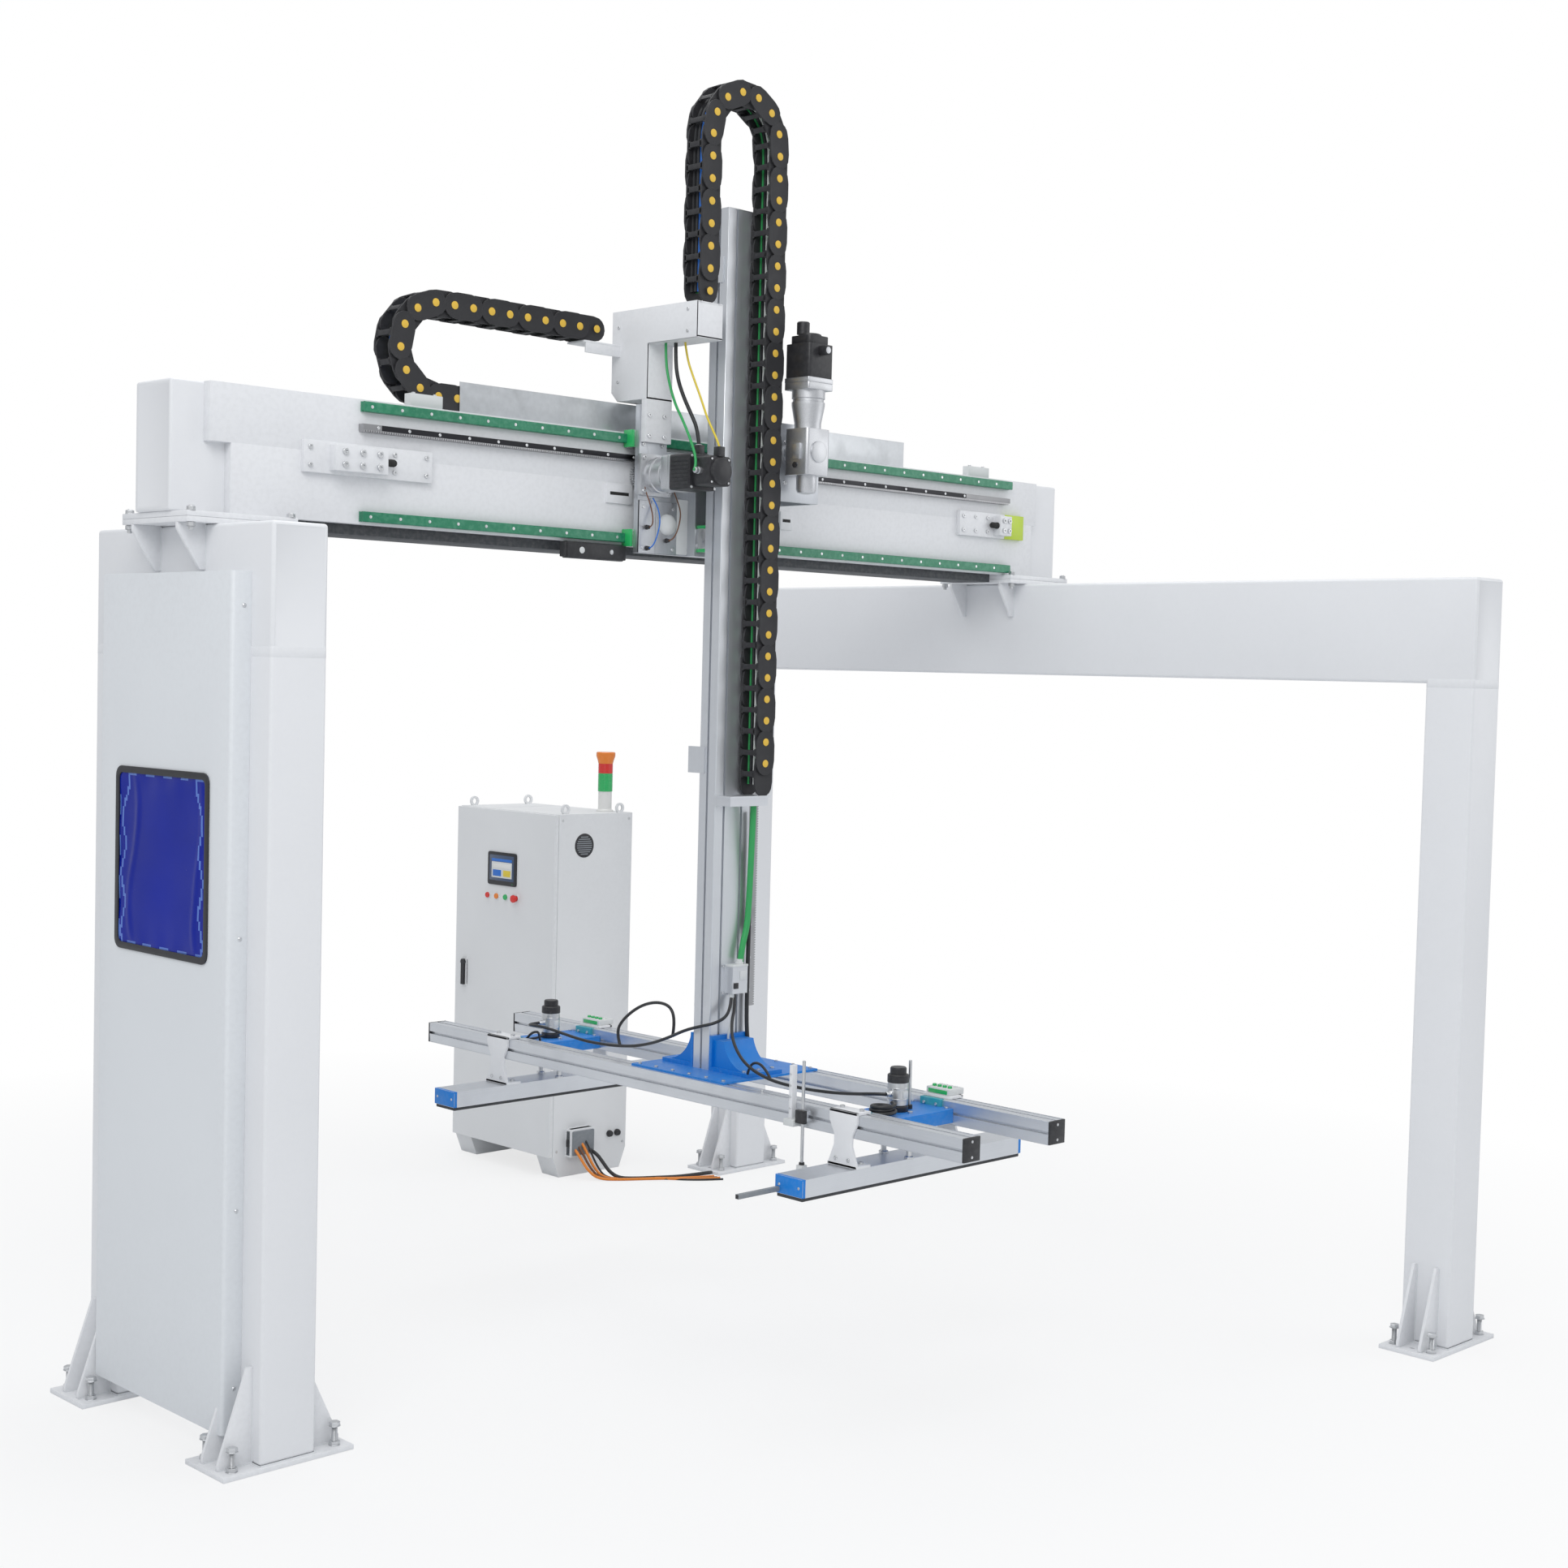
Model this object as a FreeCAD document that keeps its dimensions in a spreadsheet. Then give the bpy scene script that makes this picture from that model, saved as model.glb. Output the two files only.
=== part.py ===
"""Gantry loader: two portals, a rail beam, a carriage, a vertical column and a suction gripper.

All lengths are millimetres. The sheet holds the driving dimensions. Places in X and Y are
measured from the outer corner of the left portal's near leg, and heights from the floor.
The origin of the model is the bottom centre of its outer box: left_x and left_y move the
corner there. X runs along the beam, Y across it (the near side is -Y) and Z up.
"""

import FreeCAD
import Part
import math
import os
import re
import Sketcher
from FreeCAD import Placement, Rotation, Vector

SIZES = {
    # corner of the left portal in the model's frame
    "left_x": -2110.0,
    "left_y": -749.0,
    # portals
    "leg_width": 200.0,
    "leg_wall": 8.0,
    "leg_corner": 12.0,
    "portal_height": 2940.0,
    "crossbeam_height": 400.0,
    "left_span": 1100.0,
    "portal_gap": 4020.0,
    "right_near": -1830.0,
    "right_span": 4120.0,
    # feet
    "foot_reach": 135.0,
    "foot_long": 470.0,
    "foot_lip": 15.0,
    "foot_plate": 16.0,
    "rib_thick": 12.0,
    "rib_inset": 48.0,
    "rib_run": 118.0,
    "rib_tall": 304.0,
    "rib_short": 224.0,
    "rib_toe": 20.0,
    "foot_bolt_inset": 50.0,
    "foot_bolt_edge": 22.0,
    "anchor_hole": 18.0,
    "bolt_radius": 10.0,
    "bolt_head": 18.0,
    "bolt_head_high": 14.0,
    "foot_bolt_high": 76.0,
    # side cover and window
    "cover_near": 115.0,
    "cover_wide": 820.0,
    "cover_bottom": 97.0,
    "cover_high": 2688.0,
    "cover_deep": 68.0,
    "cover_sheet": 3.0,
    "cover_corner": 3.0,
    "rib_slot_high": 104.0,
    "rib_clear": 4.0,
    "window_near": 240.0,
    "window_wide": 570.0,
    "window_bottom": 1565.0,
    "window_high": 585.0,
    "window_frame": 24.0,
    "window_lap": 8.0,
    "window_proud": 6.0,
    # beam seats
    "seat_plate": 18.0,
    "seat_reach": 100.0,
    "seat_long": 400.0,
    "seat_near": 335.0,
    "seat_wide": 410.0,
    "seat_rib_inset": 58.0,
    "seat_rib_high": 145.0,
    "seat_rib_thick": 14.0,
    "seat_bolt_inset": 20.0,
    "seat_bolt_edge": 12.0,
    "seat_bolt_head": 14.0,
    # main beam
    "beam_start": -111.0,
    "beam_long": 4441.0,
    "beam_near": 425.0,
    "beam_deep": 220.0,
    "beam_high": 415.0,
    "beam_wall": 10.0,
    "face_plate": 40.0,
    "face_upper_start": 4.0,
    "face_upper_end": 4143.0,
    "face_lower_start": 81.0,
    "face_lower_end": 4113.0,
    "face_step": 227.0,
    "keel_start": 330.0,
    "keel_long": 3560.0,
    "keel_deep": 34.0,
    "keel_inset": 6.0,
    # X rails and rack
    "rail_wide": 34.0,
    "rail_deep": 25.0,
    "rail_foot": 8.0,
    "rail_waist": 5.0,
    "x_rail_start": 565.0,
    "x_rail_long": 3380.0,
    "x_rail_upper": 3366.0,
    "x_rail_lower": 3001.0,
    "gear_module": 3.0,
    "gear_teeth": 34.0,
    "gear_root": 1.25,
    "gear_running_gap": 0.25,
    "x_drive_x": 1795.0,
    "x_drive_z": 3233.0,
    "rack_high": 20.0,
    "rack_wide": 28.0,
    "x_rack_start": 558.0,
    "x_rack_long": 3370.0,
    # end stops on the beam's face
    "stop_pad_start": 338.0,
    "stop_pad_long": 507.0,
    "stop_pad_bottom": 3132.0,
    "stop_pad_high": 105.0,
    "stop_pad_deep": 20.0,
    "stop_block_start": 434.0,
    "stop_block_long": 205.0,
    "stop_block_deep": 40.0,
    "stop_block_inset": 10.0,
    "buffer_radius": 28.0,
    "buffer_long": 42.0,
    "right_pad_start": 3605.0,
    "right_pad_long": 428.0,
    "right_block_start": 3830.0,
    "right_block_long": 75.0,
    "switch_pad_start": 1633.0,
    "switch_pad_long": 124.0,
    "switch_pad_bottom": 3126.0,
    "switch_pad_high": 72.0,
    "switch_pad_deep": 8.0,
    "switch_two_start": 2533.0,
    "switch_two_long": 66.0,
    "switch_two_bottom": 3085.0,
    "switch_slot": 12.0,
    # cable tray
    "tray_sheet": 3.0,
    "tray_near": 426.0,
    "tray_wide": 133.0,
    "tray_start": 1000.0,
    "tray_long": 2300.0,
    "tray_guard": 109.0,
    "tray_rear": 60.0,
    "tray_block_start": 767.0,
    "tray_block_end": 3681.0,
    "tray_block_long": 134.0,
    "tray_block_high": 43.0,
    # energy chains
    "chain_pitch": 80.0,
    "chain_high": 92.0,
    "chain_wide": 100.0,
    "chain_side": 8.0,
    "chain_eye_gap": 0.2,
    "chain_shoulder": 14.0,
    "chain_bar": 20.0,
    "chain_bar_thick": 6.0,
    "x_chain_near": 430.0,
    "x_chain_radius": 160.0,
    "x_chain_turn": 913.0,
    "x_chain_floor_gap": 0.5,
    "z_chain_near": 11.6,
    "z_chain_radius": 168.0,
    "z_chain_left": 1790.0,
    "z_chain_turn": 4447.0,
    # carriage
    "plate_start": 1725.0,
    "plate_long": 660.0,
    "plate_near": 306.0,
    "plate_thick": 24.0,
    "plate_bottom": 2945.0,
    "plate_top": 3326.0,
    "tab_long": 135.0,
    "tab_top": 3490.0,
    "shaft_hole": 34.0,
    "seam_top": 3140.0,
    "seam_split": 1806.0,
    "seam_end": 1911.0,
    "seam_thick": 8.0,
    "seam_gap": 1.0,
    "spacer_near": 258.0,
    "block_long": 100.0,
    "block_half": 33.0,
    "block_gap": 0.5,
    "block_foot_gap": 4.0,
    "block_start": 1712.0,
    "block_far": 2298.0,
    "z_block_low": 2960.0,
    "z_block_high": 3210.0,
    # carriage bracket
    "bracket_start": 1730.0,
    "bracket_wide": 128.0,
    "bracket_near": 15.0,
    "bracket_far": 478.0,
    "bracket_post": 280.0,
    "bracket_arm": 3710.0,
    "bracket_top": 3840.0,
    "bracket_heel": 3508.0,
    "bracket_foot": 3352.0,
    "bracket_corner": 34.0,
    "bracket_sheet": 8.0,
    "shelf_start": 1557.0,
    "shelf_thick": 8.0,
    "shelf_rib": 36.0,
    # drives
    "flange_side": 154.0,
    "flange_thick": 20.0,
    "gear_body_radius": 62.0,
    "gear_ring_radius": 66.0,
    "gear_ring": 12.0,
    "adapter_near": 156.0,
    "adapter_thick": 34.0,
    "motor_side": 130.0,
    "motor_near": 33.0,
    "motor_cap_side": 106.0,
    "motor_cap_near": -76.0,
    "motor_edge": 10.0,
    "socket_side": 30.0,
    "socket_high": 34.0,
    "shaft_radius": 16.0,
    "pinion_wide": 18.0,
    "rack_edge": 1.0,
    "z_drive_x": 2250.0,
    "z_drive_y": -42.0,
    "z_pinion_z": 3339.0,
    "z_gear_bottom": 3253.0,
    "z_gear_high": 172.0,
    "z_gear_side": 120.0,
    "z_low_cap": 3185.0,
    "z_neck_top": 3447.0,
    "z_cone_top": 3512.0,
    "z_flange_low": 3568.0,
    "z_motor_low": 3594.0,
    "z_motor_high": 143.0,
    "z_motor_cap": 42.0,
    "drive_plate_near": 40.0,
    "drive_plate_thick": 20.0,
    "drive_plate_start": 2187.0,
    "drive_plate_end": 2399.0,
    "drive_plate_low": 3160.0,
    "drive_plate_high": 290.0,
    "drive_side_thick": 14.0,
    "drive_window_inset": 50.0,
    "drive_window_high": 130.0,
    "lube_long": 292.0,
    "lube_near": 350.0,
    "lube_deep": 33.0,
    "lube_bottom": 2912.0,
    "lube_high": 62.0,
    "lube_corner": 14.0,
    # column
    "column_x": 1967.0,
    "column_y": 112.0,
    "column_wide": 180.0,
    "column_deep": 90.0,
    "column_foot": 1026.0,
    "column_top": 4221.0,
    "groove": 10.0,
    "groove_deep": 13.0,
    "groove_pitch": 90.0,
    "core": 56.0,
    "column_corner": 4.0,
    "z_rail_inset": 23.0,
    "z_rail_foot": 1250.0,
    "z_rail_long": 2950.0,
    "z_rack_near": 120.0,
    "end_lug_near": 130.0,
    "end_lug_wide": 34.0,
    "end_lug_bottom": 3948.0,
    "end_lug_high": 95.0,
    "switch_lug_near": 169.0,
    "switch_lug_wide": 89.0,
    "switch_lug_bottom": 2135.0,
    "switch_lug_high": 99.0,
    "lug_thick": 7.0,
    "chain_seat_start": 1950.0,
    "chain_seat_long": 208.0,
    "chain_seat_thick": 8.0,
    "chain_seat_rib": 38.0,
    "device_x": 2032.0,
    "device_wide": 88.0,
    "device_bottom": 1305.0,
    "device_high": 115.0,
    "device_deep": 38.0,
    "device_plate": 6.0,
    # foot bracket
    "spreader_thick": 8.0,
    "spreader_start": 1835.0,
    "spreader_long": 487.0,
    "spreader_near": -110.0,
    "spreader_wide": 510.0,
    "casting_plate": 14.0,
    "casting_high": 130.0,
    "casting_near": 207.0,
    "casting_far": 171.0,
    "casting_flange": 14.0,
    "casting_web": 16.0,
    "casting_web_inset": 12.0,
    # gripper rails
    "rail_side": 80.0,
    "gripper_rail_x": 1815.0,
    "gripper_rail_gap": 447.0,
    "gripper_near": -1270.0,
    "gripper_long": 2940.0,
    "gripper_bottom": 938.0,
    "cap_thick": 4.0,
    "rail_core": 46.0,
    # suction bars
    "bar_start": 1548.0,
    "bar_long": 1140.0,
    "bar_wide": 130.0,
    "bar_bottom": 774.0,
    "bar_high": 62.0,
    "bar_end": 14.0,
    "cap_corner": 5.0,
    "foam_high": 13.0,
    "foam_inset": 4.0,
    "left_bar_y": 1190.0,
    "right_bar_y": -741.0,
    "hanger_thick": 12.0,
    "hanger_top": 130.0,
    "hanger_waist": 82.0,
    "hanger_base": 140.0,
    "hanger_flange": 10.0,
    "hanger_flange_long": 70.0,
    "hanger_gap": 0.4,
    "cross_thick": 10.0,
    "cross_wide": 200.0,
    "cross_top": 995.0,
    "cross_lip": 40.0,
    "cross_post": 60.0,
    "generator_x": 2078.0,
    "generator_radius": 38.0,
    "generator_high": 130.0,
    "generator_cap": 24.0,
    "generator_port": 9.0,
    # sensor rod
    "rod_x": 1801.0,
    "rod_y": -550.0,
    "rod_radius": 6.0,
    "rod_bottom": 808.0,
    "rod_long": 365.0,
    "rod_fit": 0.05,
    "clamp_side": 28.0,
    "clamp_high": 36.0,
    "clamp_bottom": 960.0,
    # cabinet
    "cabinet_x": 3200.0,
    "cabinet_y": 2543.0,
    "cabinet_deep": 470.0,
    "cabinet_wide": 800.0,
    "cabinet_foot": 100.0,
    "cabinet_high": 1700.0,
    "cabinet_wall": 20.0,
    "plinth_taper": 40.0,
    "plinth_block": 130.0,
    "door_thick": 22.0,
    "door_gap": 3.0,
    "door_seal": 0.5,
    "eye_radius": 20.0,
    "eye_wire": 6.0,
    "eye_inset_x": 60.0,
    "eye_inset_y": 30.0,
    "eye_sink": 4.0,
    "plug_x": 3279.0,
    "plug_long": 150.0,
    "plug_bottom": 100.0,
    "plug_high": 138.0,
    "plug_deep": 43.0,
    "panel_y": 2843.0,
    "panel_wide": 231.0,
    "panel_bottom": 1419.0,
    "panel_high": 166.0,
    "panel_proud": 8.0,
    "panel_corner": 12.0,
    "panel_recess": 1.5,
    "button_z": 1362.0,
    "button_first": 2927.0,
    "button_pitch": 73.0,
    "button_radius": 14.0,
    "button_gap": 0.4,
    "button_proud": 12.0,
    "button_stem": 20.0,
    "bezel_radius": 19.0,
    "bezel_proud": 5.0,
    "emergency_y": 2841.0,
    "emergency_radius": 20.0,
    "emergency_head": 14.0,
    "emergency_lift": 12.0,
    "handle_y": 3260.0,
    "handle_bottom": 879.0,
    "handle_high": 146.0,
    "handle_wide": 46.0,
    "handle_plate": 6.0,
    "handle_thick": 12.0,
    "handle_gap": 0.4,
    "handle_lever": 22.0,
    "handle_hub": 15.0,
    "tower_x": 3575.0,
    "tower_y": 2647.0,
    "tower_radius": 34.0,
    "tower_lamp": 37.0,
    "tower_cap": 48.0,
    "tower_tube": 103.0,
    "tower_red": 243.0,
    "tower_high": 301.0,
    "tower_lip": 20.0,
    # cords
    "floor_cord_radius": 9.0,
    "motor_cord_radius": 7.0,
    "arm_cord_radius": 12.0,
    "hose_radius": 6.0,
}

DOC = FreeCAD.newDocument("GantryLoader")
SHEET = DOC.addObject("Spreadsheet::Sheet", "Sizes")
for row, (alias, value) in enumerate(SIZES.items(), start=1):
    SHEET.set(f"A{row}", alias)
    SHEET.set(f"B{row}", str(value))
    SHEET.setAlias(f"B{row}", alias)
DOC.recompute()

NODES = []


def size(alias):
    """Read one driving dimension from the sheet as a number."""
    return float(SHEET.get(alias))


def bound(formula):
    """Point each size name in a formula at its cell."""
    text = str(formula)
    return re.sub(
        r"[a-z][a-z_]+",
        lambda word: "Sizes." + word.group() if word.group() in SIZES else word.group(),
        text,
    )


def place(item, x, y, z, shifted=True):
    """Bind an object's base point, measured from the left portal's corner."""
    item.setExpression(".Placement.Base.x", bound(f"left_x + {x}" if shifted else x))
    item.setExpression(".Placement.Base.y", bound(f"left_y + {y}" if shifted else y))
    item.setExpression(".Placement.Base.z", bound(z))
    return item


def fresh(kind, label):
    """Add an object of one kind with its label."""
    item = DOC.addObject(kind, label)
    item.Label = label
    return item


def box(label, x, y, z, along_x, along_y, along_z):
    """A block from its lowest corner and its three sides."""
    item = fresh("Part::Box", label)
    item.setExpression("Length", bound(along_x))
    item.setExpression("Width", bound(along_y))
    item.setExpression("Height", bound(along_z))
    return place(item, x, y, z)


TURNS = {
    "X": Rotation(Vector(0, 1, 0), 90),
    "Y": Rotation(Vector(1, 0, 0), -90),
    "Z": Rotation(),
}


def rod(label, axis, x, y, z, radius, length):
    """A cylinder that starts at a point and runs along an axis."""
    item = fresh("Part::Cylinder", label)
    item.setExpression("Radius", bound(radius))
    item.setExpression("Height", bound(length))
    item.Placement = Placement(Vector(), TURNS[axis])
    return place(item, x, y, z)


def cone(label, x, y, z, low, high, length):
    """A cone frustum that stands on a point."""
    item = fresh("Part::Cone", label)
    item.setExpression("Radius1", bound(low))
    item.setExpression("Radius2", bound(high))
    item.setExpression("Height", bound(length))
    return place(item, x, y, z)


def hexagon(label, x, y, z, radius, length):
    """A hexagonal head or nut that stands on a point."""
    item = fresh("Part::Prism", label)
    item.Polygon = 6
    item.setExpression("Circumradius", bound(radius))
    item.setExpression("Height", bound(length))
    return place(item, x, y, z)


def join(label, items):
    """Fuse several shapes into one."""
    item = fresh("Part::MultiFuse", label)
    item.Shapes = items
    item.Refine = True
    return item


def cut(label, base, *tools):
    """Take one or more shapes out of a base shape."""
    item = fresh("Part::Cut", label)
    item.Base = base
    item.Tool = tools[0] if len(tools) == 1 else join(label + "_tool", list(tools))
    item.Refine = True
    return item


def gather(label, items):
    """Keep several touching solids together in one node."""
    item = fresh("Part::Compound", label)
    item.Links = items
    return item


def node(item):
    """Mark an object as a finished sub-part."""
    NODES.append(item)
    return item


PLANES = {"XY": "XY_Plane", "XZ": "XZ_Plane", "YZ": "YZ_Plane"}


def body(label, x, y, z):
    """A PartDesign body at its own base point."""
    return place(fresh("PartDesign::Body", label), x, y, z)


def sketch(owner, plane, loops, offset="0"):
    """A sketch of closed polygons and circles, each point bound to the sheet.

    A polygon is a list of (across, up) formulas. A circle is (across, up, radius).
    """
    item = owner.newObject("Sketcher::SketchObject", f"{owner.Name}_{plane}_sketch")
    wanted = PLANES[plane]
    origin = next(part for part in owner.Origin.OriginFeatures if part.Role == wanted)
    item.AttachmentSupport = [(origin, "")]
    item.MapMode = "FlatFace"
    item.setExpression(".AttachmentOffset.Base.z", bound(f"-({offset})" if plane == "XZ" else offset))
    for loop in loops:
        if isinstance(loop, tuple):
            draw_circle(item, *loop)
        else:
            draw_polygon(item, loop)
    return item


def bind_point(item, geometry, point, across, up):
    """Tie a sketch point to two formulas."""
    for kind, formula in (("DistanceX", across), ("DistanceY", up)):
        rule = item.addConstraint(Sketcher.Constraint(kind, -1, 1, geometry, point, 1.0))
        item.setExpression(f"Constraints[{rule}]", bound(formula))


def draw_polygon(item, points):
    """Draw one closed polygon: a rough ring of lines whose corners the sheet then moves."""
    step = 2 * math.pi / len(points)
    corners = [Vector(math.cos(step * index), math.sin(step * index), 0) for index in range(len(points))]
    first = item.GeometryCount
    for start, end in zip(corners, corners[1:] + corners[:1]):
        item.addGeometry(Part.LineSegment(start, end), False)
    for index in range(len(corners)):
        following = first + (index + 1) % len(corners)
        item.addConstraint(Sketcher.Constraint("Coincident", first + index, 2, following, 1))
    for index, (across, up) in enumerate(points):
        bind_point(item, first + index, 1, across, up)


def draw_circle(item, across, up, radius):
    """Draw one circle."""
    index = item.addGeometry(Part.Circle(Vector(), Vector(0, 0, 1), 1.0), False)
    rule = item.addConstraint(Sketcher.Constraint("Radius", index, 1.0))
    item.setExpression(f"Constraints[{rule}]", bound(radius))
    bind_point(item, index, 3, across, up)


def pad(owner, plane, loops, length, offset="0"):
    """Raise a sketch into a solid, towards +Z, +Y or +X."""
    item = owner.newObject("PartDesign::Pad", f"{owner.Name}_pad")
    item.Profile = sketch(owner, plane, loops, offset)
    item.setExpression("Length", bound(length))
    item.Reversed = plane == "XZ"
    owner.Tip = item
    return item


def pocket(owner, plane, loops, length=None, offset="0"):
    """Sink a sketch into the solid towards -Z, -Y or -X, or right through it."""
    item = owner.newObject("PartDesign::Pocket", f"{owner.Name}_pocket")
    item.Profile = sketch(owner, plane, loops, offset)
    if length is None:
        item.Type = "ThroughAll"
        item.Midplane = True
    else:
        item.setExpression("Length", bound(length))
        item.Reversed = plane == "XZ"
    owner.Tip = item
    return item


def round_edges(owner, radius, axis, keep=lambda middle: True, kind="Fillet"):
    """Round or bevel the straight edges that run along one axis of a body."""
    DOC.recompute()
    tip = owner.Tip
    way = {"X": Vector(1, 0, 0), "Y": Vector(0, 1, 0), "Z": Vector(0, 0, 1)}[axis]
    names = []
    for index, edge in enumerate(tip.Shape.Edges, start=1):
        straight = isinstance(edge.Curve, Part.Line)
        if straight and abs(abs(edge.tangentAt(edge.FirstParameter).dot(way)) - 1) < 1e-6:
            if keep(edge.CenterOfMass):
                names.append(f"Edge{index}")
    item = owner.newObject(f"PartDesign::{kind}", f"{owner.Name}_{kind.lower()}")
    item.Base = (tip, names)
    item.setExpression("Radius" if kind == "Fillet" else "Size", bound(radius))
    owner.Tip = item
    return item


def on_corner(middle, wide, high):
    """Tell whether an edge's middle lies on an outer corner of a wide by high section."""
    return min(abs(middle.x), abs(middle.x - wide)) < 1e-3 and min(abs(middle.y), abs(middle.y - high)) < 1e-3


def rectangle(across, up, wide, high):
    """Corner points of a rectangle from its lowest corner."""
    right = f"{across} + {wide}"
    top = f"{up} + {high}"
    return [(across, up), (right, up), (right, top), (across, top)]


# Portals


def square_tube(label, x, y):
    """One upright leg: a square tube with rounded corners."""
    leg = body(label, x, y, "foot_plate")
    inside = "leg_width - 2 * leg_wall"
    loops = [rectangle("0", "0", "leg_width", "leg_width"), rectangle("leg_wall", "leg_wall", inside, inside)]
    pad(leg, "XY", loops, "portal_height - crossbeam_height - foot_plate")
    round_edges(
        leg,
        "leg_corner",
        "Z",
        lambda middle: on_corner(middle, size("leg_width"), size("leg_width")),
    )
    return node(leg)


def crossbeam(label, x, y, span):
    """The closed box beam that joins two legs at their tops."""
    low = "portal_height - crossbeam_height"
    outside = box(label + "_outside", x, y, low, "leg_width", span, "crossbeam_height")
    inside = box(
        label + "_inside",
        f"{x} + leg_wall",
        f"{y} + leg_wall",
        f"{low} + leg_wall",
        "leg_width - 2 * leg_wall",
        f"{span} - 2 * leg_wall",
        "crossbeam_height - 2 * leg_wall",
    )
    return node(cut(label, outside, inside))


PORTALS = {
    "left": ("0", "0", "left_span"),
    "right": ("portal_gap", "right_near", "right_span"),
}
LEGS = []
for side, (portal_x, portal_y, span) in PORTALS.items():
    far = f"{portal_y} + {span} - leg_width"
    LEGS.append((f"{side}_near_leg", portal_x, portal_y))
    LEGS.append((f"{side}_far_leg", portal_x, far))
    crossbeam(f"{side}_crossbeam", portal_x, portal_y, span)
for leg_name, leg_x, leg_y in LEGS:
    square_tube(leg_name, leg_x, leg_y)


# Feet: each a base plate with two pairs of tapered ribs


def foot(label, x, y):
    """The solids of one foot."""
    plate = body(label + "_plate", f"{x} - foot_reach", f"{y} - foot_lip", "0")
    middle = "leg_width / 2 + foot_lip"
    holes = [
        ("foot_bolt_inset", middle, "anchor_hole / 2"),
        ("foot_long - foot_bolt_inset", middle, "anchor_hole / 2"),
    ]
    pad(plate, "XY", [rectangle("0", "0", "foot_long", "leg_width + 2 * foot_lip")] + holes, "foot_plate")
    solids = [plate]
    outer = [
        ("0", "0"),
        ("0", "rib_toe"),
        ("rib_run - rib_toe", "rib_tall"),
        ("rib_run", "rib_tall"),
        ("rib_run", "0"),
    ]
    inner = [
        ("0", "0"),
        ("0", "rib_short"),
        ("rib_toe", "rib_short"),
        ("rib_run", "rib_toe"),
        ("rib_run", "0"),
    ]
    for index, along in enumerate(("rib_inset", "leg_width - rib_inset - rib_thick")):
        for name, start, outline in (("out", f"{x} - rib_run", outer), ("in", f"{x} + leg_width", inner)):
            rib = body(f"{label}_rib_{name}_{index}", start, f"{y} + {along}", "foot_plate")
            pad(rib, "XZ", [outline], "rib_thick")
            solids.append(rib)
    return join(label, solids)


node(gather("portal_feet", [foot(name.replace("leg", "foot"), x, y) for name, x, y in LEGS]))


# Bolts: levelling bolts and anchor studs on the feet, clamping bolts on the beam seats


def stud(label, x, y, low, radius, nut, high, head):
    """A nut on a plate with a stud above it and, where asked, a head on top."""
    parts = [
        hexagon(label + "_nut", x, y, low, nut, "bolt_head_high"),
        rod(label + "_shank", "Z", x, y, f"{low} + bolt_head_high", radius, f"{high} - bolt_head_high"),
    ]
    if head:
        parts.append(
            hexagon(label + "_head", x, y, f"{low} + {high} - bolt_head_high", nut, "bolt_head_high")
        )
    return join(label, parts)


bolts = []
for name, x, y in LEGS:
    for row, across in enumerate(
        ("foot_bolt_inset - foot_reach", "foot_long - foot_reach - foot_bolt_inset")
    ):
        for column_index, along in enumerate(("foot_bolt_edge", "leg_width - foot_bolt_edge")):
            bolts.append(
                stud(
                    f"{name}_bolt_{row}_{column_index}",
                    f"{x} + {across}",
                    f"{y} + {along}",
                    "foot_plate",
                    "bolt_radius",
                    "bolt_head",
                    "foot_bolt_high",
                    True,
                )
            )
SEAT_STARTS = {"left": "-seat_reach", "right": "portal_gap - seat_reach"}
for side, seat_x in SEAT_STARTS.items():
    for row, across in enumerate(("seat_bolt_inset", "seat_long - seat_bolt_inset")):
        for column_index, along in enumerate(("seat_bolt_edge", "seat_wide - seat_bolt_edge")):
            name = f"{side}_seat_bolt_{row}_{column_index}"
            at_x = f"{seat_x} + {across}"
            at_y = f"seat_near + {along}"
            top = "portal_height + 2 * seat_plate"
            bolts.append(hexagon(name + "_head", at_x, at_y, top, "seat_bolt_head", "bolt_head_high"))
            low = "portal_height - bolt_head_high"
            bolts.append(hexagon(name + "_nut", at_x, at_y, low, "seat_bolt_head", "bolt_head_high"))
node(gather("frame_bolts", bolts))


# Side cover with its window


cover = body("side_cover", "-cover_deep", "cover_near", "cover_bottom")
pad(cover, "YZ", [rectangle("0", "0", "cover_wide", "cover_high")], "cover_deep")
round_edges(cover, "cover_corner", "X")
# The cover is open at the bottom, where it stands over the feet
inside = rectangle("cover_sheet", "-cover_sheet", "cover_wide - 2 * cover_sheet", "cover_high")
pocket(cover, "YZ", [inside], "cover_deep - cover_sheet", "cover_deep")
# A slot in the front sheet clears the near foot's second rib
slot_across = "leg_width - rib_inset - rib_thick - rib_clear - cover_near"
rib_slot = rectangle(slot_across, "-cover_sheet", "rib_thick + 2 * rib_clear", "rib_slot_high")
pocket(cover, "YZ", [rib_slot], "2 * cover_sheet", "cover_sheet")
window_across = "window_near - cover_near"
window_up = "window_bottom - cover_bottom"
pocket(cover, "YZ", [rectangle(window_across, window_up, "window_wide", "window_high")])
node(cover)

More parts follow.
